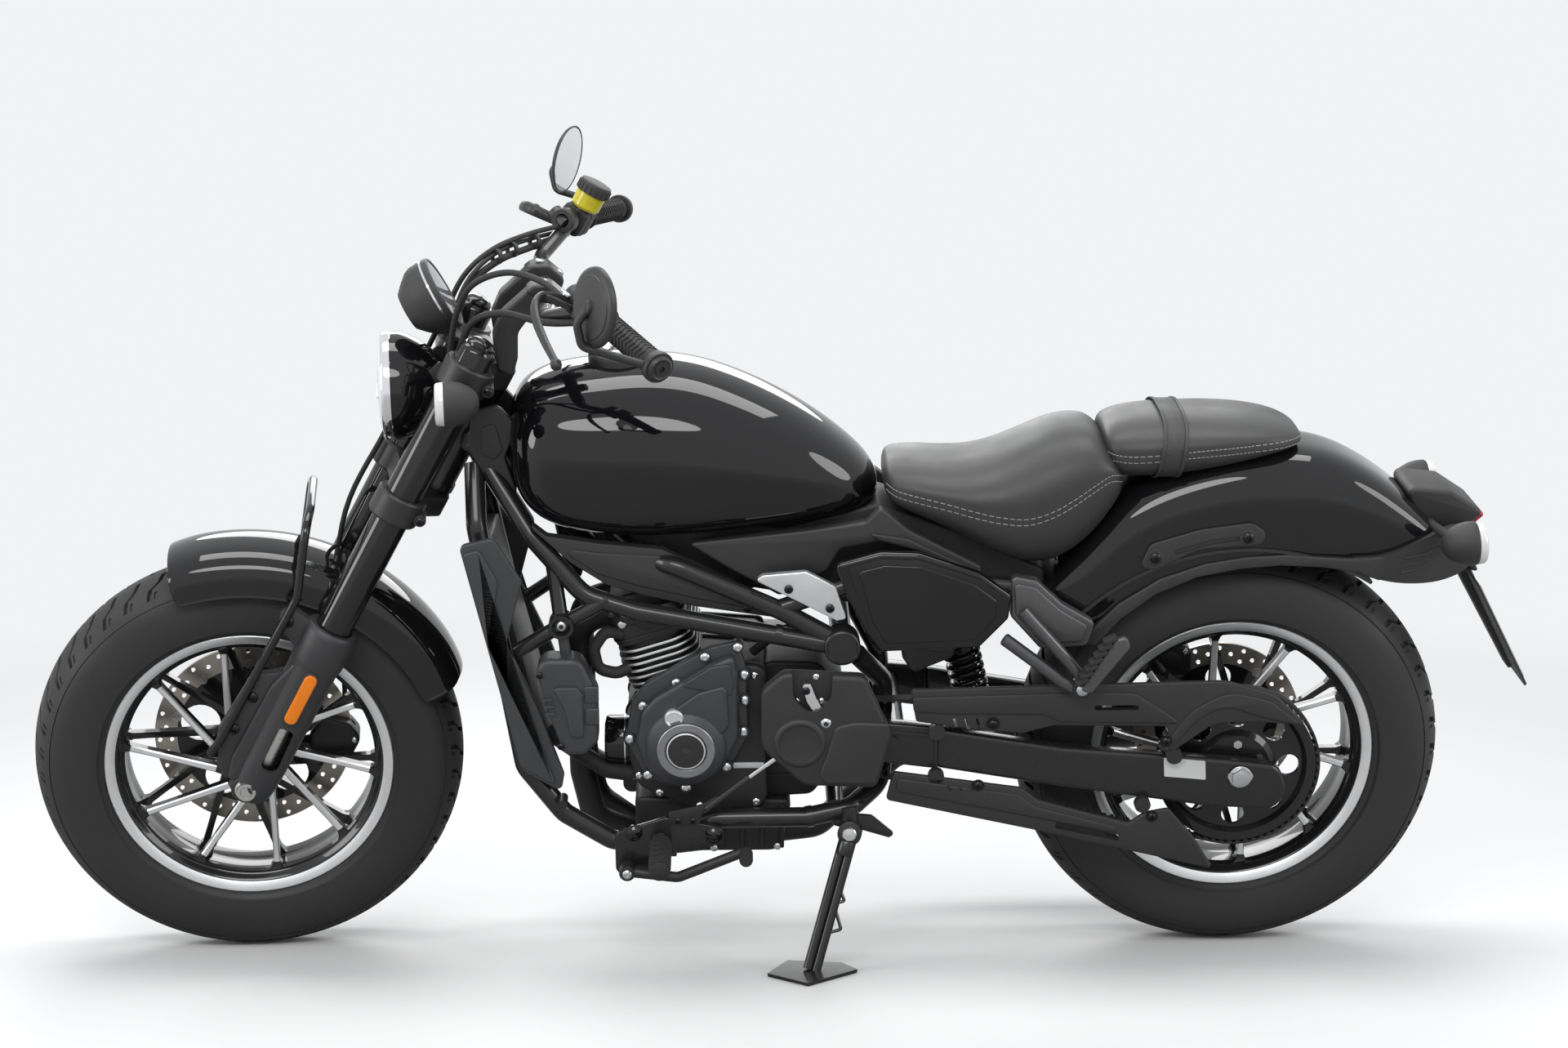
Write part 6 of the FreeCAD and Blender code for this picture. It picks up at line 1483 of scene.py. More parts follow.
# ---------------------------------------------------------------- rear castings and foot pegs
# Smoke-grey alloy casting under the seat that carries the fender, with two steel tubes down to the
# passenger's folding peg. Below, the rider's rubber peg is bolted to a black plate with a heel guard.
smoke_cast = finish("smoke_grey_casting", (0.11, 0.11, 0.112), 0.42, metal=0.6, grain=0.5, grain_scale=900)
smoke_tube = finish("smoke_grey_tube", (0.085, 0.085, 0.088), 0.3, metal=0.6, coat=0.3)
for side in (1, -1):
    block = plate("rear_casting", [
        (-395, 639, 8), (-432, 631, 10), (-470, 595, 10), (-519, 566, 10), (-508, 529, 10), (-440, 525, 10),
        (-395, 576, 10)
    ], side * 112, side * 134, 4, 3)
    web = plate("casting_rib", [(-398, 630, 8), (-430, 622, 10), (-466, 588, 10), (-508, 562, 8),
                                (-500, 538, 8), (-442, 534, 10), (-402, 580, 8)], side * 130, side * 138, 3,
                3)
    settle(paint(joined(sided("casting", side), [block, web]), smoke_cast), LEAN, "chassis",
           ("subframe_casting",) if side > 0 else (), 40)
    stays = [paint(bar("peg_stay", on_side(side, (-411, 147, 590), (-503, 166, 489)), 9.6, 0, 28),
                   smoke_tube),
             paint(bar("peg_stay", on_side(side, (-385, 147, 547), (-470, 162, 486), (-494, 166, 473)), 9.6,
                       20, 28), smoke_tube)]
    mouth = cylinder("stay_mouth", (-384.4, side * 146.9, 547.6), (-388, side * 147.5, 545), 7.6, 28)
    stays.append(paint(mouth, engine_coat))
    stays.append(paint(ease(cylinder("peg_boss", (-498, side * 154, 478), (-498, side * 176, 478), 15, 36),
                            2), tube_coat))
    stays.append(screw((-498, side * 176, 478), (0, side, 0), 9, bolt_steel))
    foot_plate = paint(plate("peg_plate", [
        (186, 247, 14), (110, 271, 10), (26, 254, 14), (24, 229, 14), (93, 216, 10), (150, 179, 14),
        (186, 177, 14)
    ], side * 146, side * 155, 2.5, 3), tube_coat)
    guard = paint(plate("heel_guard", [
        (106, 262, 4), (106, 282, 6), (60, 292, 8), (30, 310, 6), (36, 300, 6), (56, 280, 8), (60, 262, 4)
    ], side * 156, side * 160, 1, 2), satin_coat)
    stays += [foot_plate, guard,
              paint(cylinder("plate_stud", (150, side * 130, 224), (150, side * 148, 224), 10, 24),
                    tube_coat),
              paint(cylinder("plate_stud", (50, side * 130, 250), (50, side * 148, 250), 10, 24), tube_coat)]
    for x, z in ((158, 247), (40, 243)):
        dome = lathe("plate_bolt", [(154, 13), (156.4, 13), (157, 11), (160.6, 8), (162.4, 3.5),
                                    (162.6, 0.1), (154, 0.1)], 36)
        dome.matrix_world = Matrix.Translation((x, 0, z)) @ Matrix.Diagonal((1, side, 1, 1))
        stays.append(paint(grounded(dome), gloss_enamel))
    stays += [screw((x, side * 160, z), (0, side, 0), 4.5, dark_screw) for x, z in ((92, 268), (70, 268))]
    settle(joined(sided("peg_mounts", side), stays), LEAN, "chassis",
           ("peg_brackets",) if side > 0 else (), 38)
    folded = [paint(plate("folded_peg", [(-492, 480, 6), (-510, 477, 6), (-564, 548, 8), (-558, 564, 6),
                                         (-540, 559, 8)],
                          side * 177, side * 190, 3, 3), smoke_cast)]
    for step in range(7):
        x, z = -494 - 6.4 * step, 486 + 10.6 * step
        folded.append(paint(plate("peg_rib", [(x + 6, z + 3, 2), (x + 10, z + 9, 2), (x - 8, z + 18, 2),
                                              (x - 13, z + 12, 2)],
                                  side * 178, side * 196, 1.6, 2), moulded_rubber))
    peg = lathe("peg_rubber", [(160, 12), (162, 15.6), (170, 16.6), (246, 16.6), (250, 15), (251, 11),
                               (251, 0.1), (160, 0.1)], 40)
    peg.matrix_world = Matrix.Translation((118, 0, 232))
    knob = lathe("peg_end", [(250, 12), (256, 14.6), (260, 13), (261.6, 9), (262, 0.1), (250, 0.1)], 32)
    knob.matrix_world = peg.matrix_world.copy()
    ribs = []
    for step in range(9):
        for tilt in (1, -1):
            rib = plate("peg_chevron", [(-1.2, 12, 0.4), (1.2, 12, 0.4), (1.2, 17.6, 0.4),
                                        (-1.2, 17.6, 0.4)], -8.4, 8.4, 0.3)
            rib.matrix_world = (Matrix.Translation((118, 172 + 8.4 * step, 232))
                                @ Matrix.Rotation(math.radians(90 + 28 * tilt), 4, "Z")
                                @ Matrix.Translation((-7.4 * tilt, 0, 0))
                                @ Matrix.Rotation(math.radians(180 if step % 2 else 0), 4, "Y"))
            ribs.append(rib)
    rubber = joined("peg_rubber", [peg, knob] + ribs)
    rubber.matrix_world = Matrix.Diagonal((1, side, 1, 1)) @ rubber.matrix_world
    grounded(rubber)
    knuckle = paint(ease(cylinder("peg_knuckle", (118, side * 156, 232), (118, side * 170, 232), 13, 32), 2),
                    satin_coat)
    settle(joined(sided("pegs", side), [paint(rubber, moulded_rubber), knuckle] + folded), LEAN,
           "chassis", ("foot_pegs",) if side > 0 else (), 40)

# ---------------------------------------------------------------- foot levers
# Gear lever on the left and brake pedal on the right, bent from flat-sided rod in satin black with a
# ribbed rubber toe piece; each turns on a bolt through the peg plate.
toe = [paint(bar("gear_lever", [(168, 172, 192), (93, 172, 182), (-8, 172, 224)], 8, 20, 24), satin_coat),
       paint(bar("gear_toe", [(-8, 166, 224), (-8, 184, 225)], 7, 0, 24), satin_coat),
       paint(bar("gear_rubber", [(-8, 182, 225), (-8, 215, 228)], 9.6, 0, 28), moulded_rubber),
       paint(ease(cylinder("lever_boss", (168, 156, 192), (168, 181, 192), 12, 32), 1.5), satin_coat),
       screw((168, 181, 192), (0, 1, 0), 7, bolt_steel),
       paint(bar("brake_pedal", [(168, -172, 192), (40, -172, 186), (-20, -172, 222)], 8, 20, 24),
             satin_coat),
       paint(bar("brake_toe", [(-20, -160, 222), (-20, -180, 223)], 8, 0, 24), satin_coat),
       paint(bar("brake_rubber", [(-20, -178, 223), (-20, -215, 226)], 10.6, 0, 28), moulded_rubber),
       paint(ease(cylinder("pedal_boss", (168, -156, 192), (168, -181, 192), 12, 32), 1.5), satin_coat),
       screw((168, -181, 192), (0, -1, 0), 7, bolt_steel)]
for step in range(6):
    toe.append(paint(lathe("toe_rib", [(0, 9.2), (0.4, 10.2), (2, 10.2), (2.4, 9.2)], 28), moulded_rubber))
    toe[-1].matrix_world = Matrix.Translation((-8, 184 + 5 * step, 225.4 + 0.45 * step))
settle(joined("foot_levers_bent", toe), LEAN, "chassis", ("foot_levers",), 40)

# ---------------------------------------------------------------- swingarm, axle and shock absorber
# Box-section arm pressed from steel, satin black, with a cast front end and slots for the axle; a single
# shock absorber stands ahead of the wheel.
swing = []
for side in (1, -1):
    swing.append(plate("swing_tube", [
        (-290, 401, 8), (-476, 369, 60), (-720, 347, 40), (-800, 337, 26), (-816, 300, 22), (-800, 265, 26),
        (-700, 271, 40), (-478, 305, 60), (-290, 338, 8)
    ], side * 109, side * 135, 7, 4))
    swing.append(plate("swing_casting", [(-197, 411, 26), (-292, 403, 4), (-292, 336, 4), (-197, 349, 26)],
                       side * 110, side * 134, 6, 4))
    swing.append(plate("swing_seam", [(-286, 404, 4), (-293, 403, 4), (-293, 335, 4), (-286, 336, 4)],
                       side * 108.6, side * 135.4, 4, 3))
    swing.append(plate("swing_rib", [(-204, 402, 6), (-284, 392, 3), (-284, 386, 3), (-206, 394, 6)],
                       side * 128, side * 136, 1.5))
swing.append(plate("swing_cross", [(-341, 382, 8), (-385, 382, 8), (-385, 332, 8), (-341, 332, 8)], -112,
                   112, 3, 3))
body = paint(joined("swingarm", swing), tube_coat)
label = paint(plate("blank_label", [(-628, 352, 2), (-690, 346, 2), (-692, 316, 2), (-630, 322, 2)], 134.4,
                    135.4, 0), blank_sheet)
settle(joined("swingarm_pressed", [body, label]), LEAN, "chassis", ("swingarm",), 38)
spindle = [paint(cylinder("rear_spindle", (AXLE_X, -149, AXLE_Z), (AXLE_X, 146, AXLE_Z), 9.8, 28),
                 bolt_steel)]
for side in (1, -1):
    washer = plate("axle_plate", [(-724, 329, 10), (-762, 329, 10), (-762, 315, 10), (-724, 315, 10)],
                   side * 134.6, side * 138.6, 0.8)
    collar = lathe("axle_collar", [(138, 17), (140.6, 17), (141.2, 16), (141.2, 0.1), (138, 0.1)], 40)
    collar.matrix_world = (Matrix.Translation((AXLE_X, 0, AXLE_Z))
                           @ Matrix.Rotation(0 if side > 0 else math.pi, 4, "Z"))
    nut = ease(cylinder("axle_nut", (AXLE_X, side * 140, AXLE_Z), (AXLE_X, side * 147.6, AXLE_Z), 14.6, 6),
               1)
    spindle += [paint(shape, bolt_steel) for shape in (washer, collar, nut)]
settle(joined("rear_axle_turned", spindle), LEAN, "chassis", ("rear_axle",), 30)
coil = []
turns, steps = 7, 14
for index in range(turns * steps + 1):
    angle = 2 * math.pi * index / steps
    rise = 16 + 98 * index / (turns * steps)
    coil.append(Vector((25 * math.cos(angle), 25 * math.sin(angle), rise)))
TILT = Matrix.Translation((-360, 0, 372)) @ Vector((30, 0, 128)).to_track_quat("Z", "Y").to_matrix().to_4x4()
spring = paint(bar("shock_spring", coil, 4.4, 0, 16), gloss_enamel)
core = paint(cylinder("shock_rod", (0, 0, 0), (0, 0, 131), 12, 28), bolt_steel)
cans = [paint(ease(cylinder("shock_seat", (0, 0, a), (0, 0, b), r, 36), 1.5), satin_coat)
        for a, b, r in ((0, 14, 29), (118, 131, 29), (60, 118, 19))]
for shape in [spring, core] + cans:
    shape.matrix_world = TILT @ shape.matrix_world
settle(joined("shock_absorber_coiled", [spring, core] + cans), LEAN, "chassis", ("shock_absorber",),
       40)

# ---------------------------------------------------------------- drive belt and its guards
# Reinforced rubber belt with moulded teeth from the gearbox pulley to the wheel, between two moulded
# guards with slots; each guard is held on the swingarm by two dark screws.
hub_a, hub_b = Vector((AXLE_X, AXLE_Z)), Vector((-95, 384))
span = hub_b - hub_a
WHEEL_REACH, GEARBOX_REACH = 120.4, 42
slope = math.acos((WHEEL_REACH - GEARBOX_REACH) / span.length)
aim = math.atan2(span.y, span.x)
route = []


def arc(centre, radius, start, end):
    """Points about every three millimetres round a pulley, each with its angle."""
    count = max(2, round(abs(end - start) * radius / 3.0))
    turns = [start + (end - start) * k / count for k in range(count + 1)]
    return [(centre + radius * Vector((math.cos(turn), math.sin(turn))), turn) for turn in turns]


far_turn = aim + 2 * math.pi
loop = (arc(hub_a, WHEEL_REACH, aim + slope, far_turn - slope)
        + arc(hub_b, GEARBOX_REACH, far_turn - slope, far_turn + slope))
for (first, turn), (second, _) in zip(loop, loop[1:] + loop[:1]):
    route.append((first, turn))
    gap = (second - first).length
    if gap > 20:
        count = round(gap / 3.0)
        route += [(first.lerp(second, k / count), turn) for k in range(1, count)]
rings = []
for index, (spot, turn) in enumerate(route):
    outward = Vector((math.cos(turn), math.sin(turn)))
    depth = 0.2 if index % 4 < 2 else 3.4
    inner, outer = spot + outward * depth, spot + outward * 6
    rings.append([Vector((inner.x, BELT_LOW + 0.4, inner.y)), Vector((outer.x, BELT_LOW + 0.4, outer.y)),
                  Vector((outer.x, BELT_HIGH - 0.4, outer.y)), Vector((inner.x, BELT_HIGH - 0.4, inner.y))])
belt = skin("toothed_belt", rings + rings[:1], False)
settle(paint(belt, moulded_rubber), LEAN, "chassis", ("drive_belt",), 25)
upper_guard = plate("upper_guard", [
    (-250, 467, 6), (-520, 473, 40), (-713, 477, 60), (-786, 455, 40), (-836, 406, 3), (-765, 412, 10),
    (-700, 411, 40), (-634, 362, 8), (-613, 372, 8), (-644, 406, 20), (-462, 409, 8), (-415, 397, 8),
    (-342, 404, 20), (-259, 417, 6)
], 137, 146, 2.5, 3)
band = plate("upper_band", [
    (-253, 456, 5), (-520, 462, 30), (-580, 460, 30), (-640, 420, 40), (-646, 412, 10), (-470, 416, 10),
    (-446, 428, 10), (-300, 430, 10), (-255, 434, 5)
], 143, 149, 2.2, 3)
rim = plate("arch_band", [(-622, 372, 6), (-662, 430, 60), (-715, 462, 60), (-780, 446, 40), (-830, 406, 3),
                          (-770, 420, 30), (-712, 440, 60), (-672, 416, 60), (-630, 366, 4)], 143, 149, 2.2,
            3)
for pierced in (upper_guard, band):
    drill(pierced, [plate("slot", [(x, 422, 2), (x - 4, 422, 2), (x - 10, 404, 2), (x - 6, 404, 2)], 130,
                          160, 0)
                    for x in (-312, -329, -346)]
          + [plate("slot", [(-520, 442, 4), (-586, 442, 4), (-586, 434, 4), (-520, 434, 4)], 130, 160, 0)])
lower_guard = plate("lower_guard", [
    (-226, 337, 6), (-417, 309, 8), (-442, 289, 8), (-578, 250, 8), (-601, 267, 8), (-637, 274, 8),
    (-676, 228, 60), (-709, 174, 4), (-641, 191, 60), (-456, 237, 60), (-216, 292, 6)
], 137, 146, 2.5, 3)
low_band = plate("lower_band", [(-230, 328, 6), (-412, 300, 10), (-438, 280, 10), (-560, 246, 14),
                                (-560, 236, 8), (-440, 262, 20), (-232, 306, 8)], 143, 148.6, 2.2, 3)
slots = [plate("slot", [(x, 325, 2), (x - 4, 325, 2), (x - 14, 308, 2), (x - 10, 308, 2)], 130, 160, 0)
         for x in (-300, -316, -332)]
slots.append(plate("slot", [(-470, 256, 4), (-566, 232, 4), (-564, 222, 4), (-468, 244, 4)], 130, 160, 0))
drill(lower_guard, [slots[3]])
drill(low_band, slots[:3])
guards = [paint(joined("guards", [upper_guard, band, rim, lower_guard, low_band]), grained_plastic)]
for x, z in ((-290, 400), (-642, 358), (-290, 328), (-598, 280)):
    guards.append(paint(cylinder("guard_spacer", (x, 134, z), (x, 146, z), 12, 28), satin_coat))
for x, z, y in ((-372, 414, 149), (-628, 384, 149), (-352, 316, 148.6), (-612, 262, 146)):
    guards += [paint(lathe("screw_cup", [(0, 9.4), (0.9, 9), (0.9, 6.4), (0, 6)], 28), dark_screw),
               screw((x, y, z), (0, 1, 0), 6, dark_screw)]
    guards[-2].matrix_world = Matrix.Translation((x, y - 0.4, z))
settle(joined("belt_guards_moulded", guards), LEAN, "chassis", ("belt_guards",), 38)

# ---------------------------------------------------------------- side stand
# Twin-tube steel leg with a spring hook, welded to a pressed foot, turning on a bolt under the frame.
GROUND = Matrix.Translation((MIDDLE_X, MIDDLE_Y, 0))
joint = (GROUND.inverted() @ LEAN @ (PIVOT * 0.001)) * 1000
turn_axis = (LEAN.to_3x3() @ HINGE).normalized()
ankle = Vector((-104, 240, 6))
along_leg = (joint - ankle).normalized()
sideways = Vector((1, 0, 0)).cross(along_leg).cross(along_leg).normalized()
leg = [bar("stand_tube", [ankle + 6.5 * sideways, joint + 6.5 * sideways - 14 * along_leg], 7, 0, 24),
       bar("stand_tube", [ankle - 6.5 * sideways, joint - 6.5 * sideways - 14 * along_leg], 7, 0, 24)]
ear = ease(cylinder("stand_ear", joint - 7 * turn_axis, joint + 7 * turn_axis, 18, 40), 1.2)
bore = cylinder("stand_bore", joint - 20 * turn_axis, joint + 20 * turn_axis, 6.05, 40)
drill(ear, [bore])
leg.append(ear)
collar = cylinder("stand_collar", joint - 12 * along_leg, joint - 34 * along_leg, 13.4, 32)
leg.append(ease(collar, 1.5))
back = -sideways if sideways.x > 0 else sideways
for low, mid, high in ((0.28, 0.33, 0.47), (0.50, 0.53, 0.60)):
    start, tip, end = (ankle.lerp(joint, share) for share in (low, mid, high))
    leg.append(bar("spring_hook", [start + 8 * back, tip + (26 if low < 0.4 else 20) * back, end + 8 * back],
                   2.6, 4, 12))
sole = skin("stand_foot", [[Vector((x, y, z)) for x, y, z in ring] for ring in (
    [(-39, 254, 0.2), (-71, 182, 0.2), (-149, 197, 0.2), (-171, 236, 0.2), (-97, 310, 0.2)],
    [(-38, 255, 5.4), (-70, 180, 5.4), (-150, 196, 5.4), (-172, 236, 5.4), (-96, 312, 5.4)],
    [(-46, 252, 6), (-74, 188, 6), (-146, 201, 6), (-165, 234, 6), (-97, 303, 6)])])
leg.append(sole)
settle(paint(joined("side_stand_welded", leg), tube_coat), GROUND, "side_stand", ("side_stand",),
       35)


# ---------------------------------------------------------------- exhaust
# Two black steel pipes from the front of the cylinders run under the engine into one silencer low on
# the right, held by clamps; the silencer ends in a stepped cap with a round outlet.
pipe_black = finish("heat_proof_black", (0.02, 0.02, 0.021), 0.48, metal=0.3, grain=0.3, grain_scale=1400)
pipes = [bar("header", [(170, 45, 560), (240, 45, 540), (238, 45, 300), (222, 40, 222), (120, 0, 158),
                        (-120, -60, 158), (-250, -180, 225), (-345, -200, 240)], 19, 45, 32),
         bar("header", [(170, -45, 560), (240, -45, 540), (238, -45, 300), (222, -40, 222), (120, -10, 158)],
             19, 45, 32)]
silencer = lathe("silencer", [
    (0, 20), (3, 30), (10, 35), (24, 37), (360, 46.5), (366, 47.6), (396, 47.6), (400, 46), (424, 41),
    (430, 38), (430, 23), (426, 21), (400, 20), (400, 0.1), (0, 0.1)
], 64)
strap = lathe("silencer_strap", [(196, 41.8), (196.6, 43.6), (220, 44.4), (220.6, 42.4)], 64)
guard = lathe("silencer_seam", [(60, 38), (60.6, 39.6), (64, 39.8), (64.6, 38.2)], 64)
BACK = Matrix.Translation((-330, -200, 238)) @ facing((-1, 0, 0.12))
for shape in (silencer, strap, guard):
    shape.matrix_world = BACK.copy()
rings = []
for x, y, z, way in ((172, 45, 559, (1, 0, -0.3)), (172, -45, 559, (1, 0, -0.3)),
                     (-322, -196, 237, (-1, -0.2, 0.15)), (110, -2, 158, (-1, 0, 0))):
    hoop = lathe("pipe_clamp", [(0, 19.4), (0.6, 22.4), (11, 22.4), (11.6, 19.4)], 40)
    hoop.matrix_world = Matrix.Translation((x, y, z)) @ facing(way)
    rings.append(hoop)
hanger = plate("silencer_hanger", [(-520, 330, 8), (-548, 330, 8), (-560, 290, 6), (-535, 282, 6)], -206,
               -199, 1)
settle(joined("exhaust_pipes", [paint(joined("pipes", pipes + [silencer, hanger]), pipe_black),
                                paint(joined("bands", [strap, guard] + rings), satin_coat)]), LEAN,
       "chassis", ("exhaust",), 35)

# ---------------------------------------------------------------- battery box and brake calipers
# Moulded box for the battery between the side covers; cast calipers in satin black straddle the discs
# on the right and are bolted to the fork leg and to the swingarm.
case = plate("battery_case", [(-240, 603, 10), (-330, 591, 10), (-316, 501, 10), (-256, 476, 10),
                              (-240, 501, 10)], -103, 103, 5, 3)
lid = plate("battery_lid", [(-243, 606, 6), (-331, 594, 6), (-329, 578, 4), (-241, 588, 4)], -104, 104, 3, 3)
ribs = [plate("battery_rib", [
    (-250, 580 - 16 * k, 2), (-312, 572 - 16 * k, 2), (-312, 568 - 16 * k, 2), (-250, 576 - 16 * k, 2)
], -104, 104, 1) for k in range(5)]
settle(paint(joined("battery_box_moulded", [case, lid] + ribs), panel_plastic), LEAN, "chassis",
       ("battery_box",), 35)
front_half = plate("caliper", [
    (-91, 352, 14), (-91, 408, 20), (-64, 421, 16), (-22, 414, 12), (-17, 378, 14), (-36, 343, 12)
], -79.5, -37, 5, 4)
drill(front_half, [cylinder("disc_room", (56.02, -62, 333.7), (56.02, -54, 333.7), 155, 96),
                   plate("pad_window", [(-74, 398, 4), (-40, 398, 4), (-40, 378, 4), (-74, 378, 4)], -70,
                         -46, 0)])
lug = plate("caliper_lug", [(-44, 417, 6), (44, 417, 6), (44, 395, 6), (-44, 395, 6)], -81, -71, 2, 3)
pots = [ease(cylinder("caliper_pot", (x, -79, z), (x, -82, z), 15, 40), 1)
        for x, z in ((-68, 388), (-40, 374))]
bits = [paint(joined("front_caliper", [front_half, lug] + pots), satin_coat)]
bits += [screw((x, -81, z), (0, -1, 0), 6.5, bolt_steel) for x, z in ((36, 406), (-14, 406))]
bits += [screw((x, -37, z), (0, 1, 0), 5, bolt_steel) for x, z in ((-82, 400), (-28, 352))]
settle(joined("front_caliper_cast", bits), STEERED, "steering", ("front_caliper",), 35)
rear_half = plate("caliper", [(-698, 404, 12), (-696, 452, 16), (-660, 460, 14), (-624, 448, 12),
                              (-622, 408, 10)], -99.5, -57, 5, 4)
drill(rear_half, [cylinder("disc_room", (AXLE_X, -82, AXLE_Z), (AXLE_X, -74, AXLE_Z), 135, 96)])
arm = plate("caliper_bracket", [(-693, 428, 8), (-630, 428, 8), (-640, 372, 10), (-690, 326, 8)], -123, -110,
            2, 3)
bridge = plate("caliper_foot", [(-692, 430, 4), (-630, 430, 4), (-630, 404, 4), (-692, 404, 4)], -122, -95,
               2, 3)
pot = ease(cylinder("caliper_pot", (-664, -58, 430), (-664, -53.5, 430), 17, 40), 1)
bits = [paint(joined("rear_caliper", [rear_half, arm, bridge, pot]), satin_coat)]
bits += [screw((x, -57, z), (0, 1, 0), 5.5, bolt_steel) for x, z in ((-686, 446), (-634, 440))]
bits += [screw((x, -123, z), (0, -1, 0), 6.5, bolt_steel) for x, z in ((-682, 418), (-642, 416))]
settle(joined("rear_caliper_cast", bits), LEAN, "chassis", ("rear_caliper",), 35)

# ---------------------------------------------------------------- handlebar, risers and grips
# Wide steel bar, thick in the middle, in two cast risers on the upper clamp; rubber grips moulded with
# chevrons, and turned weights in the bar's ends.
bar_coat = finish("handlebar_coat", (0.02, 0.02, 0.021), 0.3, coat=0.3, grain=0.12, grain_scale=1600)
KNEE, BAR_END = Vector((-40, 235, 1246)), Vector((-122, 396, 1256))
OUT = (BAR_END - KNEE).normalized()
middle = bar("bar_middle", [(-12, -122, 1184), (-12, 122, 1184)], 14, 0, 32)
sides = mirrored(bar("bar_side", [(-12, 116, 1184), (-8, 150, 1188), KNEE, BAR_END], 11, 40, 28))
sleeves = mirrored(cylinder("bar_taper", (-12, 118, 1184), (-9.5, 140, 1187), 14, 32, 11.1))
settle(paint(joined("handlebar_bent", [middle, sides, sleeves]), bar_coat), STEERED, "steering",
       ("handlebar",), 40)
riser_bits = []
for side in (1, -1):
    arm = plate("riser", [
        (-19, 1064, 4), (5, 1064, 4), (34, 1104, 20), (37, 1140, 22), (18, 1192, 26), (-6, 1209, 12),
        (-30, 1202, 12), (-38, 1182, 14), (-30, 1162, 10), (0, 1150, 10), (4, 1126, 20), (-13, 1092, 20)
    ], side * 33, side * 67, 7, 4)
    seam = plate("riser_cap", [(-40, 1184, 4), (-36, 1204, 12), (-6, 1211.4, 12), (16, 1200, 12),
                               (23, 1184, 4)],
                 side * 30.6, side * 69.4, 6, 4)
    riser_bits += [paint(joined("riser", [arm, seam]), satin_coat),
                   screw((-28, side * 50, 1205), (-0.2, 0, 1), 6, bolt_steel),
                   screw((6, side * 50, 1206.4), (0.3, 0, 1), 6, bolt_steel)]
settle(joined("bar_risers_cast", riser_bits), STEERED, "steering", ("bar_risers",), 35)
GRIP = Matrix.Translation(KNEE + 38 * OUT) @ facing(OUT)
grip = lathe("grip", [(0, 11.2), (0, 20), (1.4, 21.4), (5, 21.4), (6.4, 18), (12, 16.4), (60, 16),
                      (120, 16.4), (138, 16.6), (141, 15), (141, 11.2)], 48)
chevrons = []
for turn in range(6):
    for step in range(13):
        for tilt in (1, -1):
            ridge = plate("chevron", [(-1.3, 15.4, 0), (1.3, 15.4, 0), (1.0, 17.4, 0), (-1.0, 17.4, 0)],
                          -5.2, 5.2, 0)
            ridge.matrix_world = (Matrix.Rotation(math.radians(60 * turn + 15 * tilt), 4, "Y")
                                  @ Matrix.Translation((0, 16 + 9 * step, 0))
                                  @ Matrix.Rotation(math.radians(62 * tilt), 4, "Z"))
            chevrons.append(ridge)
weight = lathe("bar_weight", [
    (141.4, 11), (141.4, 18), (143, 19), (150, 19), (156, 17), (158.4, 14.4), (157, 12.6), (157, 9),
    (158.6, 8.4), (158.6, 5), (155.6, 4.8), (155.6, 0.1), (141.4, 0.1)
], 48)
ends = joined("grip", [grip] + chevrons)
for shape in (ends, weight):
    shape.matrix_world = GRIP @ shape.matrix_world
settle(mirrored(joined("grips_moulded", [paint(ends, moulded_rubber), paint(weight, satin_coat)])), STEERED,
       "steering", ("grips",), 40)

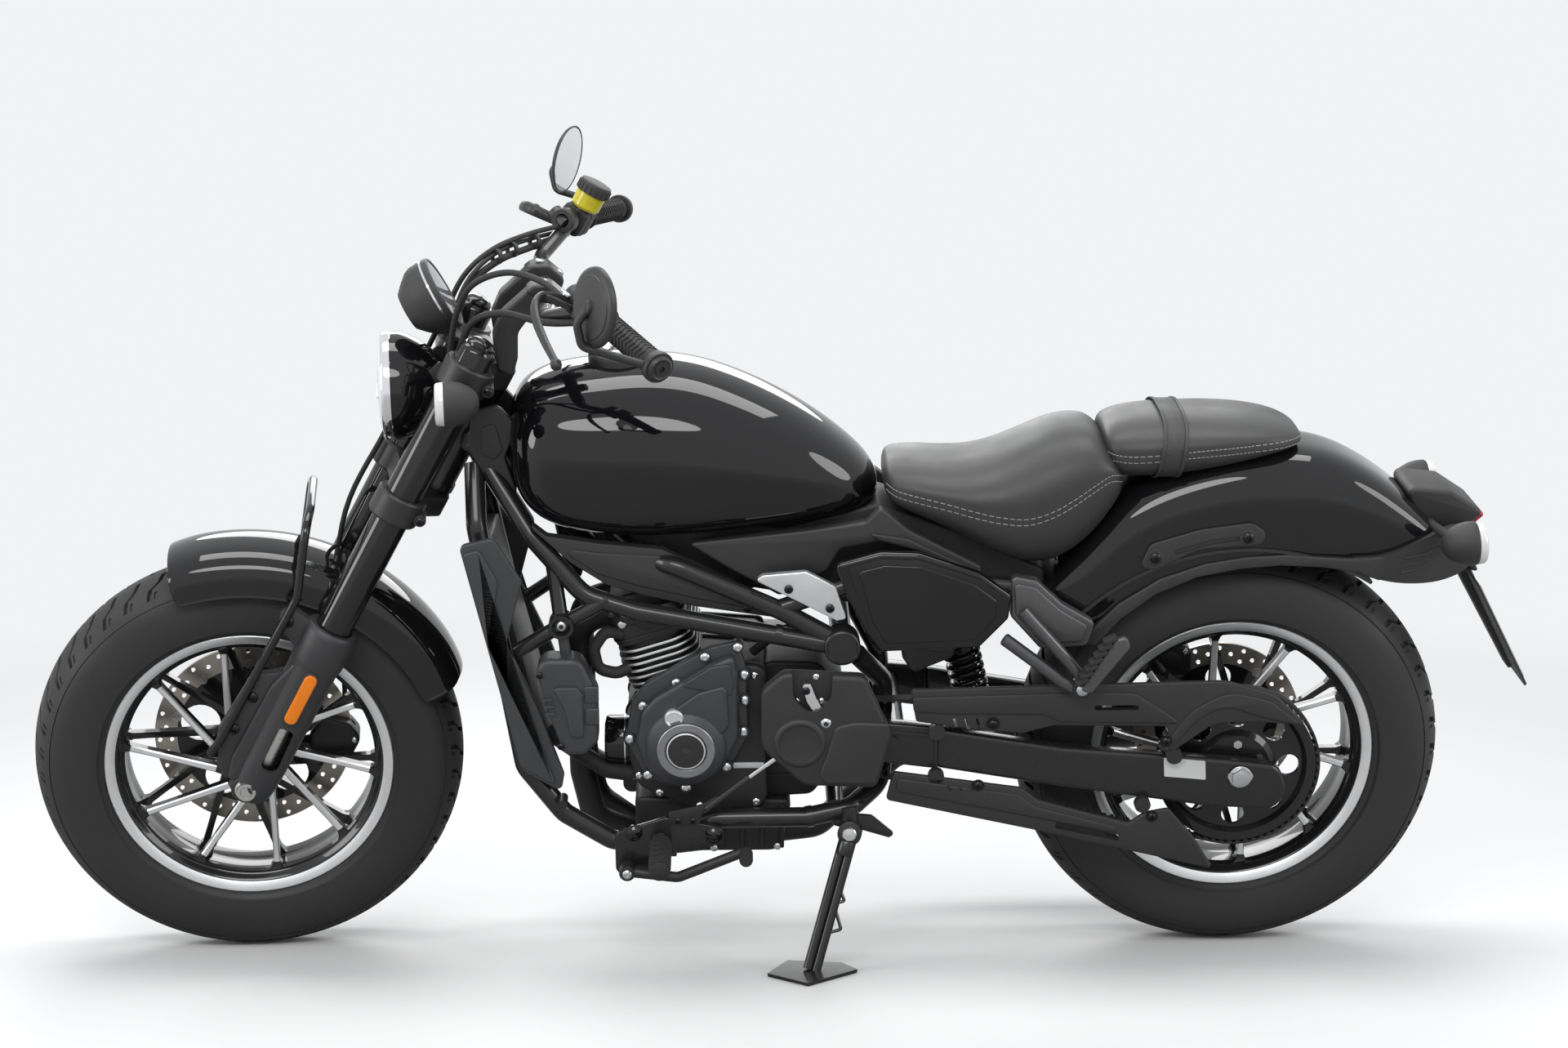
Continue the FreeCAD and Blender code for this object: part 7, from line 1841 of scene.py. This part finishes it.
# ---------------------------------------------------------------- hand controls, levers and fluid pot
# Moulded switch housings clamped on the bar, a cast lever on each side with a ball end, and on the right
# the brake cylinder with a clear pot of yellow fluid under a ribbed cap.
red_plastic = finish("red_switch_plastic", (0.6, 0.02, 0.015), 0.35, coat=0.3)
fluid = finish("yellow_brake_fluid", (0.62, 0.54, 0.015), 0.08, coat=1.0, cloud=0.3, cloud_scale=60)
for side in (1, -1):
    out = Vector((OUT.x, side * OUT.y, OUT.z))
    SEAT = Matrix.Translation((KNEE.x, side * KNEE.y, KNEE.z)) @ facing(out)
    shell = plate("switch_case", [(-22, -24, 10), (20, -24, 10), (22, 20, 10), (-20, 22, 10)], -10, 31, 5, 4)
    collar = plate("switch_seam", [(-22.6, -24.6, 10), (20.6, -24.6, 10), (22.6, 20.6, 10),
                                   (-20.6, 22.6, 10)], 9, 11, 0.6)
    keys = [plate("switch_key", [
        (-24.5, -12 + 13 * k, 2), (-24.5, -4 + 13 * k, 2), (-16, -4 + 13 * k, 2), (-16, -12 + 13 * k, 2)
    ], 2, 20, 2, 3) for k in range(2)]
    rocker = paint(plate("rocker", [(-8, 18, 3), (8, 18, 3), (8, 25.4, 3), (-8, 25.4, 3)], 4, 22, 2, 3),
                   red_plastic if side < 0 else grained_plastic)
    perch = lathe("lever_perch", [(-46, 10.6), (-46, 17), (-44, 18.4), (-24, 18.4), (-22, 17), (-22, 10.6)],
                  36)
    controls = [paint(joined("switches", [shell, collar] + keys), grained_plastic), rocker,
                paint(perch, satin_coat)]
    for shape in controls:
        shape.matrix_world = SEAT @ shape.matrix_world
    arm = paint(bar("perch_arm", on_side(side, (-34, 212, 1230), (-16, 214, 1234)), 10, 0, 24), satin_coat)
    pivot_pin = screw((-6, side * 216, 1244), (0, 0, 1), 7, bolt_steel)
    controls += [arm, pivot_pin]
    if side < 0:
        pot = lathe("fluid_pot", [(1268, 19), (1272, 22.4), (1296, 22.8), (1296, 0.1), (1268, 0.1)], 48)
        cap = lathe("pot_cap", [(1294, 23.6), (1294, 25.4), (1306, 25.8), (1311, 24), (1312, 20),
                                (1312, 0.1), (1294, 0.1)], 48)
        for shape in (pot, cap):
            shape.matrix_world = standing(-46, -232)
        grooves = []
        for turn in range(20):
            angle = math.radians(18 * turn)
            x, y = -46 + 25.4 * math.cos(angle), -232 + 25.4 * math.sin(angle)
            grooves.append(cylinder("cap_rib", (x, y, 1295), (x, y, 1307), 1.6, 8))
        neck = ease(cylinder("pot_neck", (-46, -232, 1250), (-46, -232, 1270), 12, 32), 1)
        body = bar("brake_cylinder", [(-30, -198, 1240), (-8, -222, 1244)], 13, 0, 32)
        controls += [paint(pot, fluid), paint(joined("pot_cap", [cap] + grooves), grained_plastic),
                     paint(joined("master", [neck, body]), satin_coat)]
    settle(joined(sided("controls", side), controls), STEERED, "steering",
           ("bar_controls",) if side > 0 else (), 38)
    twelfth = 0.5236
    rings = []
    for x, y, z, tall, thick in eased([
        (-20, 214, 1236, 8, 5), (20, 226, 1232, 9, 5), (34, 250, 1226, 9, 4.6), (30, 290, 1216, 8, 4.2),
        (14, 340, 1206, 6.6, 4), (-4, 388, 1199, 5.2, 4)
    ], 5):
        rings.append([Vector((x + thick * math.cos(twelfth * k), side * y, z + tall * math.sin(twelfth * k)))
                      for k in range(12)])
    blade = skin("lever_blade", rings)
    cam = plate("lever_cam", [(-24, -9, 8), (22, -7, 8), (30, 6, 6), (-18, 10, 8)], -4.5, 4.5, 1.5, 3)
    cam.matrix_world = (Matrix.Translation((0, side * 222, 1233))
                        @ Matrix.Rotation(math.radians(10 * side), 4, "Z") @ ALONG)
    ball = lathe("lever_ball", [(-8, 0.1), (-6.4, 5), (-2.6, 7.8), (2.6, 7.8), (6.4, 5), (8, 0.1)], 28)
    ball.matrix_world = Matrix.Translation((-5, side * 394, 1198))
    settle(paint(joined(sided("lever", side), [blade, cam, ball]), satin_coat), STEERED, "steering",
           ("hand_levers",) if side > 0 else (), 40)

# ---------------------------------------------------------------- mirrors
# Round mirrors hung forward from the bar's ends on bent rods: a domed black shell with a groove, and
# flat silvered glass behind.
silvered = finish("silvered_glass", (0.86, 0.87, 0.88), 0.05, metal=0.35, coat=1.0, cloud=0.02)
FACE = Matrix.Translation((-6, 401, 1288)) @ facing((-1, -0.52, 0.35))
shell = lathe("mirror_shell", [
    (-1, 0.1), (-0.6, 22), (1.2, 38), (2, 42), (3.4, 43), (4, 47), (7, 52), (10, 53.6), (11.6, 53.6),
    (12, 52.6), (11.2, 51.4), (9.6, 51), (9.6, 0.1)
], 72)
pane = lathe("mirror_pane", [(10, 50.9), (11.3, 50.7), (11.5, 50), (11.5, 0.1), (10, 0.1)], 72)
knuckle = lathe("mirror_knuckle", [(-6, 0.1), (-5, 9), (0, 11), (2, 11), (2, 0.1)], 32)
for shape in (shell, pane, knuckle):
    shape.matrix_world = FACE.copy()
stem = bar("mirror_stem", [(-126, 404, 1255), (-22, 404, 1237), (-2, 403, 1262), (-6, 402, 1284)], 5.6, 14,
           20)
hoop = lathe("stem_clamp", [(142, 15), (142, 21), (144, 22), (151, 22), (153, 21), (153, 15)], 40)
hoop.matrix_world = GRIP.copy()
settle(mirrored(joined("mirrors_round", [paint(joined("mirror", [shell, knuckle, stem, hoop]), satin_coat),
                                         paint(pane, silvered)])),
       STEERED, "steering", ("mirrors",), 40)

# ---------------------------------------------------------------- headlight, instrument and signals
# Round lamp in a gloss black bowl with a chromed ring, hung on two ears; a round instrument with a
# bright band above it; cone-shaped signals on stalks from the clamp.
lamp_glass = finish("lamp_glass", (0.42, 0.44, 0.46), 0.05, metal=0.4, coat=1.0, grain=0.6, grain_scale=160,
                    cloud=0.25)
lamp_white = finish("lamp_light_guide", (0.86, 0.88, 0.9), 0.2, coat=0.6)
dial_glass = finish("dial_glass", (0.16, 0.17, 0.18), 0.06, coat=1.0, cloud=0.2)
AHEAD = Vector((0.8788, 0, -0.4772)).normalized()
BEAM = Matrix.Translation((129, 0, 951)) @ facing(AHEAD)
bowl = lathe("lamp_bowl", [(-9, 74), (-9, 78.6), (-22, 78.8), (-34, 75), (-50, 67), (-66, 55), (-80, 41),
                           (-87, 30), (-88, 0.1), (-60, 0.1)], 72)
trim_ring = lathe("lamp_ring", [(-10, 79), (-9, 79.9), (-2, 79.9), (2, 78.8), (4.4, 76.4), (4.4, 74),
                                (0, 72.4), (-8, 72.4)], 72)
glass = lathe("lamp_lens", [(-4, 73), (1, 72.6), (6, 60), (9.6, 40), (11, 20), (11.4, 0.1), (-4, 0.1)], 72)
halo = lathe("lamp_halo", [(4.6, 64), (7.4, 60), (8.4, 54), (7.8, 52), (4, 54)], 72)
strip = plate("lamp_strip", [(-50, -2.4, 2), (50, -2.4, 2), (50, 2.4, 2), (-50, 2.4, 2)], 6, 12, 0.6)
for shape in (bowl, trim_ring, glass, halo, strip):
    shape.matrix_world = BEAM @ shape.matrix_world
ears, pins = [], []
for side in (1, -1):
    ears.append(plate("lamp_ear", [(50, 1031, 4), (82, 1031, 4), (108, 966, 10), (98, 944, 10),
                                   (80, 950, 8)],
                      side * 38, side * 45, 1.5, 2))
    pins.append(screw((94, side * 45, 957), (0, side, 0), 6, bolt_steel))
settle(joined("headlight_round", [paint(bowl, gloss_enamel), paint(trim_ring, chrome),
                                  paint(glass, lamp_glass), paint(joined("halo", [halo, strip]), lamp_white),
                                  paint(joined("ears", ears), satin_coat)] + pins), STEERED, "steering",
       ("headlight",), 38)
DIAL = Matrix.Translation((115, 0, 1118)) @ facing((-0.55, 0, 0.83))
case = lathe("dial_case", [
    (-1.6, 49), (0, 50), (0, 53), (-1.6, 54.8), (-9, 55), (-9, 54.4), (-12.6, 54.4), (-12.6, 55),
    (-30, 53.6), (-38, 50), (-50, 40), (-61, 29), (-61, 0.1), (-20, 0.1)
], 72)
stripe = lathe("dial_band", [(-9.2, 54), (-9.2, 55.3), (-12.4, 55.3), (-12.4, 54)], 72)
screen = lathe("dial_screen", [(-3, 49.4), (-1.2, 49), (-0.6, 40), (-0.4, 0.1), (-3, 0.1)], 72)
for shape in (case, stripe, screen):
    shape.matrix_world = DIAL.copy()
foot = plate("dial_foot", [(44, 1064, 2), (44, 1070, 2), (96, 1070, 8), (120, 1094, 4), (144, 1080, 4),
                           (112, 1064, 8)], -22, 22, 1.5)
settle(joined("instrument_round", [paint(case, panel_plastic), paint(stripe, chrome),
                                   paint(screen, dial_glass), paint(foot, satin_coat)]), STEERED, "steering",
       ("instrument",), 38)
lamps = []
for side in (1, -1):
    lamps += signal((68, side * 172, 1015.5), tuple(AHEAD), (40, side * 118, 1010))
settle(joined("front_turn_signals", lamps), STEERED, "steering", ("front_signals",), 40)

# ---------------------------------------------------------------- cables and hoses
# Rubber-sheathed clutch and throttle cables, wiring looms and the front brake hose, gathered by ties in
# front of the risers and clipped down the right fork leg.
strands = [
    ([(-22, 212, 1228), (20, 176, 1236), (66, 130, 1216), (96, 92, 1170), (96, 70, 1120), (78, 52, 1060),
      (44, 40, 985)], 4.6),
    ([(-40, 226, 1222), (-4, 176, 1186), (44, 104, 1152), (70, 72, 1112), (62, 52, 1052), (42, 34, 992)],
     5.2),
    ([(-26, -204, 1236), (20, -160, 1212), (66, -104, 1180), (90, -80, 1130), (90, -74, 1060),
      (88, -78, 960), (88, -80, 860), (86, -80, 720), (30, -80, 560), (-30, -78, 470), (-52, -66, 424)],
     4.0),
    ([(-40, -226, 1222), (6, -164, 1196), (54, -98, 1166), (78, -70, 1116), (66, -50, 1050), (44, -34, 990)],
     5.2),
    ([(-44, -240, 1226), (10, -172, 1206), (60, -104, 1176), (84, -64, 1126), (76, -44, 1056),
      (50, -26, 990)], 3.4),
]
runs = [bar("cable", [tuple(spot) for spot in eased(points, 7)], radius, 0, 16)
        for points, radius in strands]
ties = []
for x, y, z, way in ((57, -102, 1172, (1, 1, -0.5)), (38, -126, 1186, (1, 1, -0.4)),
                     (8, -164, 1203, (1, 1, -0.4))):
    tie = lathe("cable_tie", [(-3, 8), (-3, 12), (3, 12), (3, 8)], 20)
    tie.matrix_world = Matrix.Translation((x, y, z)) @ facing(way)
    ties.append(tie)
settle(joined("cables_sheathed", [paint(joined("cables", runs), moulded_rubber),
                                  paint(joined("ties", ties), grained_plastic)]),
       STEERED, "steering", (), 40)
